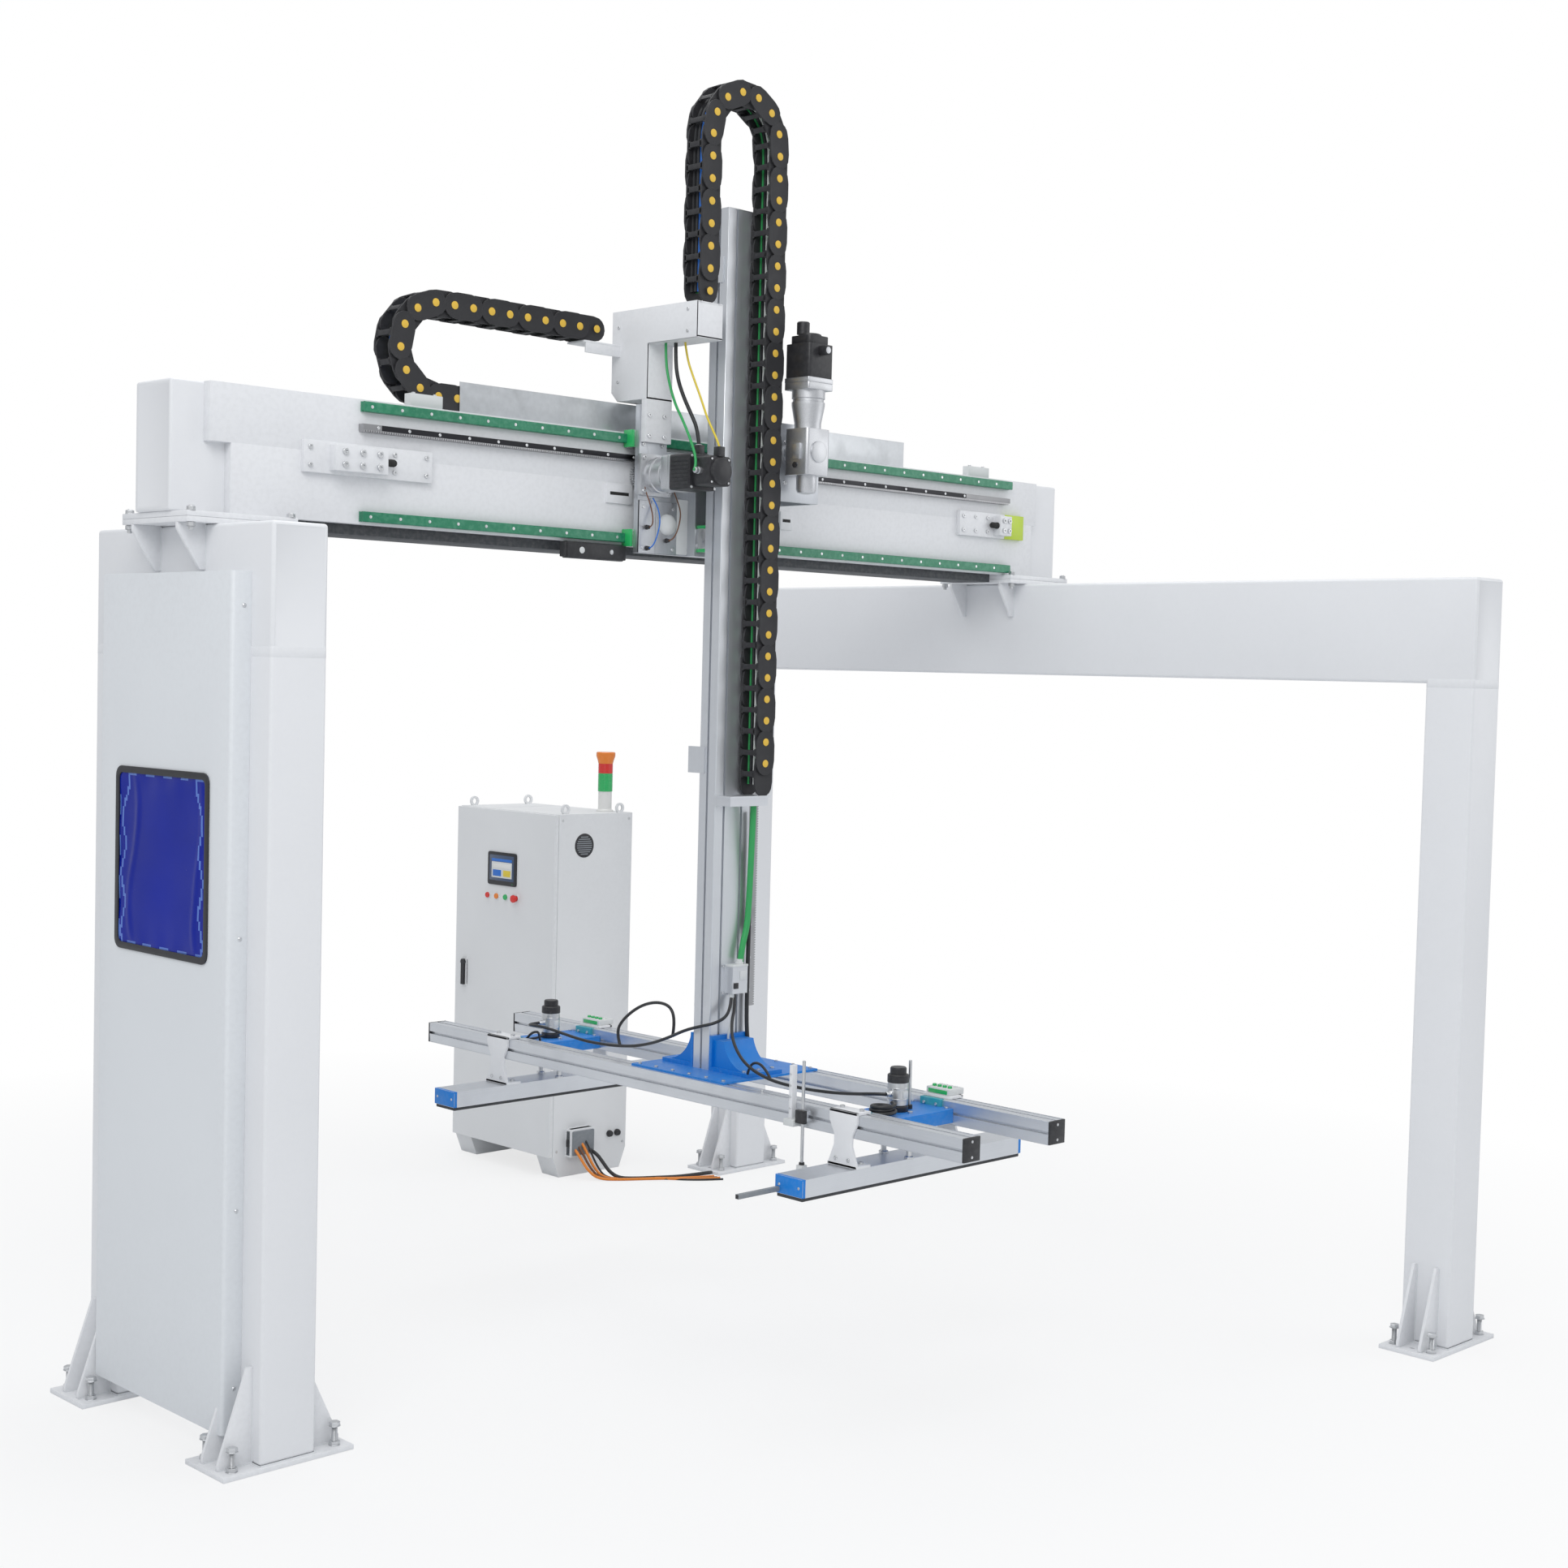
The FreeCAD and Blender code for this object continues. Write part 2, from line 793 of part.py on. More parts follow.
pane = box(
    "window_pane",
    "-cover_deep",
    "window_near",
    "window_bottom",
    "cover_sheet",
    "window_wide",
    "window_high",
)
ring = body(
    "window_ring",
    "-cover_deep - window_proud",
    "window_near - window_lap",
    "window_bottom - window_lap",
)
ring_inside = rectangle(
    "window_frame",
    "window_frame",
    "window_wide + 2 * window_lap - 2 * window_frame",
    "window_high + 2 * window_lap - 2 * window_frame",
)
ring_outside = rectangle("0", "0", "window_wide + 2 * window_lap", "window_high + 2 * window_lap")
pad(ring, "YZ", [ring_outside, ring_inside], "window_proud")
node(gather("window_panel", [pane, ring]))


# Beam seats: two stacked plates on each crossbeam, with ribs under the overhang


seats = []
for side, seat_x in SEAT_STARTS.items():
    plate = box(
        side + "_seat_plates",
        seat_x,
        "seat_near",
        "portal_height",
        "seat_long",
        "seat_wide",
        "2 * seat_plate",
    )
    solids = [plate]
    for index, along in enumerate(("seat_rib_inset", "seat_wide - seat_rib_inset - seat_rib_thick")):
        start_z = "portal_height - seat_rib_high"
        rib = body(f"{side}_seat_rib_{index}", seat_x, f"seat_near + {along}", start_z)
        outline = [
            ("seat_reach - rib_toe", "0"),
            ("seat_reach", "0"),
            ("seat_reach", "seat_rib_high"),
            ("0", "seat_rib_high"),
            ("0", "seat_rib_high - rib_toe"),
        ]
        pad(rib, "XZ", [outline], "seat_rib_thick")
        solids.append(rib)
    seats.append(join(side + "_seat", solids))
node(gather("beam_seats", seats))


# Main beam: a box tube, a stepped face plate on its near side and a keel channel below


BEAM_LOW = "portal_height + 2 * seat_plate"
BEAM_TOP = f"{BEAM_LOW} + beam_high"
FACE = "beam_near - face_plate"
tube = cut(
    "beam_tube",
    box("beam_outside", "beam_start", "beam_near", BEAM_LOW, "beam_long", "beam_deep", "beam_high"),
    box(
        "beam_inside",
        "beam_start + beam_wall",
        "beam_near + beam_wall",
        f"{BEAM_LOW} + beam_wall",
        "beam_long - 2 * beam_wall",
        "beam_deep - 2 * beam_wall",
        "beam_high - 2 * beam_wall",
    ),
)
face = body("beam_face", "0", FACE, BEAM_LOW)
face_outline = [
    ("face_lower_start", "0"),
    ("face_lower_end", "0"),
    ("face_lower_end", "face_step"),
    ("face_upper_end", "face_step"),
    ("face_upper_end", "beam_high"),
    ("face_upper_start", "beam_high"),
    ("face_upper_start", "face_step"),
    ("face_lower_start", "face_step"),
]
pad(face, "XZ", [face_outline], "face_plate")
keel = box(
    "beam_keel",
    "keel_start",
    "beam_near + keel_inset",
    f"{BEAM_LOW} - keel_deep",
    "keel_long",
    "beam_deep - 2 * keel_inset",
    "keel_deep",
)
node(join("main_beam", [tube, face, keel]))


# X rails and rack on the face plate


def rail_outline():
    """Half-open waist profile of a profile rail: across from its seat, up along its width."""
    return [
        ("0", "0"),
        ("rail_foot", "0"),
        ("rail_foot + rail_waist", "rail_waist"),
        ("rail_deep - rail_waist", "rail_waist"),
        ("rail_deep", "0"),
        ("rail_deep", "rail_wide"),
        ("rail_deep - rail_waist", "rail_wide - rail_waist"),
        ("rail_foot + rail_waist", "rail_wide - rail_waist"),
        ("rail_foot", "rail_wide"),
        ("0", "rail_wide"),
    ]


def mirrored(outline):
    """The same outline on the other side of the upright axis."""
    return [(f"-({across})", up) for across, up in outline]


x_rails = []
for name, centre in (("upper", "x_rail_upper"), ("lower", "x_rail_lower")):
    rail = body(f"x_rail_{name}", "x_rail_start", FACE, f"{centre} - rail_wide / 2")
    pad(rail, "YZ", [mirrored(rail_outline())], "x_rail_long")
    x_rails.append(rail)
node(gather("x_rails", x_rails))

PITCH_RADIUS = "gear_module * gear_teeth / 2"
RACK_ROOT = f"{PITCH_RADIUS} + gear_module * gear_root + gear_running_gap"
rack = box(
    "x_rack",
    "x_rack_start",
    f"{FACE} - rack_wide",
    f"x_drive_z + {RACK_ROOT}",
    "x_rack_long",
    "rack_wide",
    "rack_high",
)
node(rack)


# End stops and switch pads on the beam's face


def face_block(label, start, deep, low, long, high, behind="0"):
    """A block on the beam's face, or in front of a pad on it."""
    return box(label, start, f"{FACE} - {behind} - {deep}", low, long, deep, high)


stop_low = "stop_pad_bottom"
block_low = "stop_pad_bottom + stop_block_inset"
block_high = "stop_pad_high - 2 * stop_block_inset"
buffer_y = f"{FACE} - stop_pad_deep - stop_block_deep / 2"
buffer_z = "stop_pad_bottom + stop_pad_high / 2"
stops = [
    face_block(
        "left_stop_pad",
        "stop_pad_start",
        "stop_pad_deep",
        stop_low,
        "stop_pad_long",
        "stop_pad_high",
    ),
    face_block(
        "left_stop_block",
        "stop_block_start",
        "stop_block_deep",
        block_low,
        "stop_block_long",
        block_high,
        "stop_pad_deep",
    ),
    rod(
        "left_buffer",
        "X",
        "stop_block_start + stop_block_long",
        buffer_y,
        buffer_z,
        "buffer_radius / 2",
        "buffer_long",
    ),
    face_block(
        "right_stop_pad",
        "right_pad_start",
        "stop_pad_deep",
        stop_low,
        "right_pad_long",
        "stop_pad_high",
    ),
    face_block(
        "right_stop_block",
        "right_block_start",
        "stop_block_deep",
        block_low,
        "right_block_long",
        block_high,
        "stop_pad_deep",
    ),
    rod(
        "right_buffer",
        "X",
        "right_block_start - buffer_long",
        buffer_y,
        buffer_z,
        "buffer_radius / 2",
        "buffer_long",
    ),
]
SWITCH_PADS = (
    ("one", "switch_pad_start", "switch_pad_long", "switch_pad_bottom"),
    ("two", "switch_two_start", "switch_two_long", "switch_two_bottom"),
)
for name, start, long, low in SWITCH_PADS:
    switch = body(f"switch_pad_{name}", start, f"{FACE} - switch_pad_deep", low)
    slot = rectangle(
        f"({long} - switch_slot) / 2",
        "switch_slot",
        "switch_slot",
        "switch_pad_high - 2 * switch_slot",
    )
    pad(switch, "XZ", [rectangle("0", "0", long, "switch_pad_high"), slot], "switch_pad_deep")
    stops.append(switch)
node(gather("end_stops", stops))


# Cable tray on the beam's top


tray = body("tray_channel", "tray_start", "tray_near", BEAM_TOP)
tray_outline = [
    ("0", "0"),
    ("tray_wide", "0"),
    ("tray_wide", "tray_rear"),
    ("tray_wide - tray_sheet", "tray_rear"),
    ("tray_wide - tray_sheet", "tray_sheet"),
    ("tray_sheet", "tray_sheet"),
    ("tray_sheet", "tray_guard"),
    ("0", "tray_guard"),
]
pad(tray, "YZ", [tray_outline], "tray_long")
tray_solids = [tray]
for name, start in (("start", "tray_block_start"), ("end", "tray_block_end")):
    tray_solids.append(
        box(
            f"tray_block_{name}",
            start,
            f"{FACE} + tray_sheet",
            BEAM_TOP,
            "tray_block_long",
            "face_plate - tray_sheet",
            "tray_block_high",
        )
    )
node(gather("cable_tray", tray_solids))


# Energy chains: links of two side plates and two bars, with pins at one pitch


def chain_path(first_run, radius):
    """A flat U as a function of length: along +U, round a half turn, and back."""
    half_turn = math.pi * radius

    def point(length):
        """The place across (u) and over (w) at one length, in the chain's own plane."""
        if length <= first_run:
            return (length, 0.0)
        if length <= first_run + half_turn:
            angle = (length - first_run) / radius
            return (first_run + radius * math.sin(angle), radius - radius * math.cos(angle))
        return (2 * first_run + half_turn - length, 2 * radius)

    return point


def chain_pins(first_run, radius, pitch, last):
    """Pin places one pitch apart along the path, as straight-line distances."""
    point = chain_path(first_run, radius)
    pins = [(0.0, 0.0)]
    length = 0.0
    for _ in range(last):
        low = length + pitch * 0.9
        high = length + pitch * 1.2
        while high - low > 1e-7:
            middle = (low + high) / 2
            if math.dist(point(middle), pins[-1]) < pitch:
                low = middle
            else:
                high = middle
        length = low
        pins.append(point(length))
    return pins


def chain_link(start, end, wide, even):
    """One link from pin to pin in the chain's plane, from 0 to its width across it."""
    along = Vector(end[0] - start[0], end[1] - start[1], 0)
    pitch = along.Length
    angle = math.degrees(math.atan2(along.y, along.x))
    half = size("chain_high") / 2
    side = size("chain_side")
    eye = pitch / 2 - size("chain_eye_gap")
    shoulder = size("chain_shoulder")
    turns = [math.radians(degrees) for degrees in (247.5, 202.5, 157.5, 112.5)]
    round_end = [(eye * math.cos(turn), eye * math.sin(turn)) for turn in turns]
    ends = [(shoulder, -half)] + round_end + [(shoulder, half)]
    outline = ends + [(pitch - across, up) for across, up in reversed(ends)]
    plate = Part.Face(Part.makePolygon([Vector(across, up, 0) for across, up in outline + outline[:1]]))
    inset = side if even else 0.0
    solids = []
    for level in (inset, wide - inset - side):
        solids.append(plate.translated(Vector(0, 0, level)).extrude(Vector(0, 0, side)))
    bar = size("chain_bar")
    thick = size("chain_bar_thick")
    for low in (-half, half - thick):
        solids.append(
            Part.makeBox(
                bar,
                thick,
                wide - 2 * inset - 2 * side,
                Vector((pitch - bar) / 2, low, inset + side),
            )
        )
    link = Part.makeCompound(solids)
    link.Placement = Placement(Vector(start[0], start[1], 0), Rotation(Vector(0, 0, 1), angle))
    return link


def chain_piece(label, pins, first, last, wide, frame):
    """The links between two pins as one node, in the frame that carries the chain's plane."""
    item = fresh("Part::Feature", label)
    links = []
    for index in range(first, last):
        links.extend(chain_link(pins[index], pins[index + 1], wide, index % 2 == 0).Solids)
    item.Shape = Part.makeCompound(links)
    item.Placement = frame
    return item


PITCH = size("chain_pitch")
X_CHAIN_UPPER = size("portal_height") + 2 * size("seat_plate") + size("beam_high")
X_CHAIN_LOW = X_CHAIN_UPPER + size("tray_sheet") + size("x_chain_floor_gap") + size("chain_high") / 2
X_CHAIN_RADIUS = size("x_chain_radius")
# The carriage end of the X chain lies a whole number of pitches from the turn, less the pin that
# the turn takes over, so that the fixed run's pins stand on the turn's own grid.
# The straight runs of the beam's chain, counted in pitches
X_RUN_PITCHES = 8.78
X_RUN = X_RUN_PITCHES * PITCH
Z_CHAIN_RADIUS = size("z_chain_radius")
Z_CHAIN_FOOT = size("bracket_top") + PITCH / 2
Z_RUN = size("z_chain_turn") - Z_CHAIN_FOOT

x_pins = chain_pins(X_RUN, X_CHAIN_RADIUS, PITCH, 31)
z_pins = chain_pins(Z_RUN, Z_CHAIN_RADIUS, PITCH, 43)
x_frame = Placement(
    Vector(
        size("left_x") + size("x_chain_turn") + X_RUN,
        size("left_y") + size("x_chain_near") + size("chain_wide"),
        X_CHAIN_LOW + 2 * X_CHAIN_RADIUS,
    ),
    Rotation(Vector(-1, 0, 0), Vector(0, 0, -1), Vector(0, -1, 0), "XYZ"),
)
z_frame = Placement(
    Vector(
        size("left_x") + size("z_chain_left"),
        size("left_y") + size("z_chain_near"),
        Z_CHAIN_FOOT,
    ),
    Rotation(Vector(0, 0, 1), Vector(1, 0, 0), Vector(0, 1, 0), "XYZ"),
)
X_PIECES = (
    ("x_chain_carriage_run", 0, 3),
    ("x_chain_middle_run", 3, 6),
    ("x_chain_loop", 6, 21),
    ("x_chain_fixed_run", 21, 31),
)
Z_PIECES = (
    ("z_chain_carriage_run", 0, 2),
    ("z_chain_middle_run", 2, 5),
    ("z_chain_loop", 5, 22),
    ("z_chain_arm_run", 22, 43),
)
for pieces, pins, frame, wide in (
    (X_PIECES, x_pins, x_frame, size("chain_wide")),
    (Z_PIECES, z_pins, z_frame, size("chain_wide")),
):
    for name, first, last in pieces:
        node(chain_piece(name, pins, first, last, wide, frame))


# Carriage plate, with an upright tab behind the bracket and the seam plates on its face


PLATE_BACK = "plate_near + plate_thick"
plate = body("carriage_slab", "plate_start", "plate_near", "plate_bottom")
plate_outline = [
    ("0", "0"),
    ("plate_long", "0"),
    ("plate_long", "plate_top - plate_bottom"),
    ("tab_long", "plate_top - plate_bottom"),
    ("tab_long", "tab_top - plate_bottom"),
    ("0", "tab_top - plate_bottom"),
]
shaft_circle = ("x_drive_x - plate_start", "x_drive_z - plate_bottom", "shaft_hole / 2")
pad(plate, "XZ", [plate_outline, shaft_circle], "plate_thick")
SEAM_LOW = "plate_bottom"
seam_plates = [
    box(
        "seam_plate_left",
        "plate_start",
        "plate_near - seam_thick",
        SEAM_LOW,
        "seam_split - plate_start - seam_gap",
        "seam_thick",
        "seam_top - plate_bottom",
    ),
    box(
        "seam_plate_right",
        "seam_split",
        "plate_near - seam_thick",
        SEAM_LOW,
        "seam_end - seam_split",
        "seam_thick",
        "seam_top - plate_bottom",
    ),
]
spacer = box(
    "column_spacer",
    "column_x",
    "spacer_near",
    "plate_bottom",
    "column_wide",
    "plate_near - spacer_near",
    "plate_top - plate_bottom",
)
node(gather("carriage_plate", [join("carriage_slab_with_spacer", [plate, spacer])] + seam_plates))


# Guide blocks: four that grip the X rails and four that grip the column's rails


def guide_block(label, x, y, z, along_x, along_y, along_z, rail):
    """A block less the channel that a rail passes through."""
    return cut(label, box(label + "_whole", x, y, z, along_x, along_y, along_z), rail)


blocks = []
for name, centre in (("upper", "x_rail_upper"), ("lower", "x_rail_lower")):
    for index, start in enumerate(("block_start", "block_far")):
        label = f"x_block_{name}_{index}"
        channel = box(
            label + "_channel",
            start,
            f"{FACE} - rail_deep - block_gap",
            f"{centre} - rail_wide / 2 - block_gap",
            "block_long",
            "rail_deep + block_gap",
            "rail_wide + 2 * block_gap",
        )
        blocks.append(
            guide_block(
                label,
                start,
                PLATE_BACK,
                f"{centre} - block_half",
                "block_long",
                f"{FACE} - block_foot_gap - ({PLATE_BACK})",
                "2 * block_half",
                channel,
            )
        )
COLUMN_BACK = "column_y + column_deep"
for side, centre in (
    ("left", "column_x + z_rail_inset + rail_wide / 2"),
    ("right", "column_x + column_wide - z_rail_inset - rail_wide / 2"),
):
    for index, low in enumerate(("z_block_low", "z_block_high")):
        label = f"z_block_{side}_{index}"
        channel = box(
            label + "_channel",
            f"{centre} - rail_wide / 2 - block_gap",
            COLUMN_BACK,
            low,
            "rail_wide + 2 * block_gap",
            "rail_deep + block_gap",
            "block_long",
        )
        blocks.append(
            guide_block(
                label,
                f"{centre} - block_half",
                f"{COLUMN_BACK} + block_foot_gap",
                low,
                "2 * block_half",
                f"spacer_near - ({COLUMN_BACK}) - block_foot_gap",
                "block_long",
                channel,
            )
        )
node(gather("guide_blocks", blocks))


# Carriage bracket: a channel-shaped post with an arm to the front and a shelf for the X chain


bracket = body("bracket_frame", "bracket_start", "bracket_near", "bracket_foot")
post = "bracket_post - bracket_near"
heel = "bracket_heel - bracket_foot"
under_arm = "bracket_arm - bracket_foot"
full = "bracket_top - bracket_foot"
bracket_outline = [
    ("0", under_arm),
    (post, under_arm),
    (post, "0"),
    ("plate_near - bracket_near", "0"),
    ("plate_near - bracket_near", heel),
    ("bracket_far - bracket_near - bracket_corner", heel),
    ("bracket_far - bracket_near", f"{heel} + bracket_corner"),
    ("bracket_far - bracket_near", full),
    ("0", full),
]
pad(bracket, "YZ", [bracket_outline], "bracket_wide")
hollows = [
    rectangle(
        "bracket_sheet",
        f"{under_arm} + bracket_sheet",
        f"{post} - 2 * bracket_sheet",
        "bracket_top - bracket_arm - 2 * bracket_sheet",
    ),
    rectangle(
        f"{post} + bracket_sheet",
        f"{heel} + bracket_sheet + bracket_corner",
        "bracket_far - bracket_post - 2 * bracket_sheet",
        f"{full} - ({heel}) - 2 * bracket_sheet - bracket_corner",
    ),
]
pocket(bracket, "YZ", hollows, "bracket_wide - bracket_sheet", "bracket_wide")
SHELF_TOP = f"{BEAM_TOP} + tray_sheet + x_chain_floor_gap + 2 * x_chain_radius"
shelf = box(
    "bracket_shelf",
    "shelf_start",
    "x_chain_near",
    f"{SHELF_TOP} - shelf_thick",
    "bracket_start - shelf_start",
    "chain_wide",
    "shelf_thick",
)
shelf_rib = box(
    "bracket_shelf_rib",
    "shelf_start + bracket_sheet",
    "x_chain_near",
    f"{SHELF_TOP} - shelf_thick - shelf_rib",
    "bracket_start - shelf_start - bracket_sheet",
    "bracket_sheet",
    "shelf_rib",
)
node(join("carriage_bracket", [bracket, shelf, shelf_rib]))


# X drive: flange, planetary gearbox and servo along Y, with the pinion behind the plate


def revolved(label, x, y, z, axis, outline):
    """A turned piece: an outline of (radius, distance) points turned about an axis."""
    piece = body(label, x, y, z)
    plane, line = {"X": ("XY", "H_Axis"), "Y": ("XY", "V_Axis"), "Z": ("XZ", "V_Axis")}[axis]
    points = [(over, out) for out, over in outline] if axis == "X" else outline
    item = piece.newObject("PartDesign::Revolution", f"{label}_turn")
    item.Profile = sketch(piece, plane, [points])
    item.ReferenceAxis = (item.Profile[0], [line])
    item.Angle = 360
    piece.Tip = item
    return piece


x_flange = box(
    "x_flange",
    "x_drive_x - flange_side / 2",
    "plate_near - flange_thick",
    "x_drive_z - flange_side / 2",
    "flange_side",
    "flange_thick",
    "flange_side",
)
ADAPTER_END = "adapter_near + adapter_thick"
gear_length = f"plate_near - flange_thick - ({ADAPTER_END})"
gear_outline = [
    ("0", "0"),
    ("gear_body_radius", "0"),
    ("gear_body_radius", "gear_ring"),
    ("gear_ring_radius", "gear_ring"),
    ("gear_ring_radius", "2 * gear_ring"),
    ("gear_body_radius", "2 * gear_ring"),
    ("gear_body_radius", f"{gear_length} - 2 * gear_ring"),
    ("gear_ring_radius", f"{gear_length} - 2 * gear_ring"),
    ("gear_ring_radius", f"{gear_length} - gear_ring"),
    ("gear_body_radius", f"{gear_length} - gear_ring"),
    ("gear_body_radius", gear_length),
    ("0", gear_length),
]
x_gear_body = revolved("x_gear_body", "x_drive_x", ADAPTER_END, "x_drive_z", "Y", gear_outline)
x_adapter = body("x_adapter", "x_drive_x - motor_side / 2", "adapter_near", "x_drive_z - motor_side / 2")
pad(x_adapter, "XZ", [rectangle("0", "0", "motor_side", "motor_side")], "adapter_thick")
round_edges(x_adapter, "motor_edge", "Y", kind="Chamfer")
node(join("x_gearbox", [x_flange, x_gear_body, x_adapter]))

x_motor = body("x_motor_body", "x_drive_x - motor_side / 2", "motor_near", "x_drive_z - motor_side / 2")
pad(x_motor, "XZ", [rectangle("0", "0", "motor_side", "motor_side")], "adapter_near - motor_near")
round_edges(x_motor, "motor_edge", "Y", kind="Chamfer")
x_cap = body(
    "x_motor_cap",
    "x_drive_x - motor_cap_side / 2",
    "motor_cap_near",
    "x_drive_z - motor_cap_side / 2",
)
pad(x_cap, "XZ", [rectangle("0", "0", "motor_cap_side", "motor_cap_side")], "motor_near - motor_cap_near")
round_edges(x_cap, "motor_edge", "Y")
MOTOR_TOP = "x_drive_z + motor_side / 2"
x_socket = box(
    "x_motor_socket",
    "x_drive_x - socket_side / 2",
    "motor_near + motor_edge",
    MOTOR_TOP,
    "socket_side",
    "socket_side",
    "socket_high",
)
CAP_TOP = "x_drive_z + motor_cap_side / 2"
x_plug = box(
    "x_encoder_socket",
    "x_drive_x - socket_side / 2",
    "motor_cap_near + motor_edge",
    CAP_TOP,
    "socket_side",
    "socket_side",
    "socket_high",
)
node(join("x_motor", [x_motor, x_cap, x_socket, x_plug]))


def pinion(label, x, y, z, shaft_from):
    """A toothed wheel on a shaft along Y: tooth gaps are pocketed in a polar pattern."""
    wheel = body(label + "_wheel", x, y, z)
    tip_radius = "gear_module * (gear_teeth / 2 + 1)"
    pad(wheel, "XZ", [("0", "0", tip_radius)], "pinion_wide")
    gap = wheel.newObject("PartDesign::Pocket", label + "_gap")
    root = "gear_module * (gear_teeth / 2 - gear_root)"
    over = "gear_module * (gear_teeth / 2 + 1.2)"
    narrow = "gear_module * 0.45"
    broad = "gear_module * 1.25"
    outline = [(f"-({narrow})", root), (narrow, root), (broad, over), (f"-({broad})", over)]
    gap.Profile = sketch(wheel, "XZ", [outline])
    gap.Type = "ThroughAll"
    gap.Midplane = True
    wheel.Tip = gap
    DOC.recompute()
    turn = wheel.newObject("PartDesign::PolarPattern", label + "_teeth")
    turn.Originals = [gap]
    turn.Axis = (gap.Profile[0], ["N_Axis"])
    turn.Angle = 360
    turn.setExpression("Occurrences", bound("gear_teeth"))
    wheel.Tip = turn
    spindle = rod(label + "_spindle", "Y", x, shaft_from, z, "shaft_radius", f"{y} - ({shaft_from})")
    return node(join(label, [wheel, spindle]))


pinion("x_pinion", "x_drive_x", f"{FACE} - rack_wide + rack_edge", "x_drive_z", "plate_near")


# Z drive: a bracket plate beside the column, a right-angle gearbox and an upright servo


side_low = "drive_plate_low"
DRIVE_BACK = "drive_plate_near + drive_plate_thick"
drive_plate = body("drive_plate", "drive_plate_start", "drive_plate_near", side_low)
hole = ("z_drive_x - drive_plate_start", "z_pinion_z - drive_plate_low", "shaft_hole / 2")
pad(
    drive_plate,
    "XZ",
    [rectangle("0", "0", "drive_plate_end - drive_plate_start", "drive_plate_high"), hole],
    "drive_plate_thick",
)
drive_side = body("drive_side", "drive_plate_end - drive_side_thick", DRIVE_BACK, side_low)
side_length = f"plate_near + plate_thick - ({DRIVE_BACK})"
side_window = rectangle(
    "drive_window_inset",
    "drive_window_inset",
    f"{side_length} - 2 * drive_window_inset - plate_thick",
    "drive_window_high",
)
pad(drive_side, "YZ", [rectangle("0", "0", side_length, "drive_plate_high"), side_window], "drive_side_thick")
half = "z_gear_side / 2"
gear_case = body("z_gear_case", f"z_drive_x - {half}", f"z_drive_y - {half}", "z_gear_bottom")
pad(gear_case, "XY", [rectangle("0", "0", "z_gear_side", "z_gear_side")], "z_gear_high")
round_edges(gear_case, "motor_edge", "Z")
gear_nose = rod(
    "z_gear_nose",
    "Y",
    "z_drive_x",
    f"z_drive_y + {half}",
    "z_pinion_z",
    "z_gear_side / 2 - motor_edge",
    f"drive_plate_near - z_drive_y - {half}",
)
low_cap = rod(
    "z_low_cap",
    "Z",
    "z_drive_x",
    "z_drive_y",
    "z_low_cap",
    "gear_body_radius - 2 * gear_ring",
    "z_gear_bottom - z_low_cap",
)
neck_base = "z_gear_bottom + z_gear_high"
neck = rod(
    "z_neck",
    "Z",
    "z_drive_x",
    "z_drive_y",
    neck_base,
    "z_gear_side / 2 - motor_edge",
    f"z_neck_top - ({neck_base})",
)
taper = cone(
    "z_taper",
    "z_drive_x",
    "z_drive_y",
    "z_neck_top",
    "z_gear_side / 2 - motor_edge",
    "gear_body_radius",
    "z_cone_top - z_neck_top",
)
barrel = rod(
    "z_barrel",
    "Z",
    "z_drive_x",
    "z_drive_y",
    "z_cone_top",
    "gear_body_radius",
    "z_flange_low - z_cone_top",
)
z_half = "motor_side / 2"
z_flange = box(
    "z_flange",
    f"z_drive_x - {z_half}",
    f"z_drive_y - {z_half}",
    "z_flange_low",
    "motor_side",
    "motor_side",
    "z_motor_low - z_flange_low",
)
node(
    join("z_gearbox", [drive_plate, drive_side, gear_case, gear_nose, low_cap, neck, taper, barrel, z_flange])
)

z_motor = body("z_motor_body", f"z_drive_x - {z_half}", f"z_drive_y - {z_half}", "z_motor_low")
pad(z_motor, "XY", [rectangle("0", "0", "motor_side", "motor_side")], "z_motor_high")
round_edges(z_motor, "motor_edge", "Z", kind="Chamfer")
z_cap_half = "motor_cap_side / 2"
z_cap = body(
    "z_motor_cap_body",
    f"z_drive_x - {z_cap_half}",
    f"z_drive_y - {z_cap_half}",
    "z_motor_low + z_motor_high",
)
pad(z_cap, "XY", [rectangle("0", "0", "motor_cap_side", "motor_cap_side")], "z_motor_cap")
round_edges(z_cap, "motor_edge", "Z")
z_socket = box(
    "z_motor_socket",
    "z_drive_x - socket_side / 2",
    f"z_drive_y - {z_half} - socket_high",
    "z_motor_low + z_motor_high - socket_side - motor_edge",
    "socket_side",
    "socket_high",
    "socket_side",
)
node(join("z_motor", [z_motor, z_cap, z_socket]))

pinion("z_pinion", "z_drive_x", "z_rack_near + rack_edge", "z_pinion_z", "drive_plate_near")


# Lubricator under the beam, seated on the end of a lower guide block


lube = body("lubricator", "block_start - lube_long", "lube_near", "lube_bottom")
pad(lube, "YZ", [rectangle("0", "0", "lube_deep", "lube_high")], "lube_long")
round_edges(lube, "lube_corner / 2", "X")
node(lube)


# Column: a grooved aluminium profile with lugs, the chain seat and the sensor device


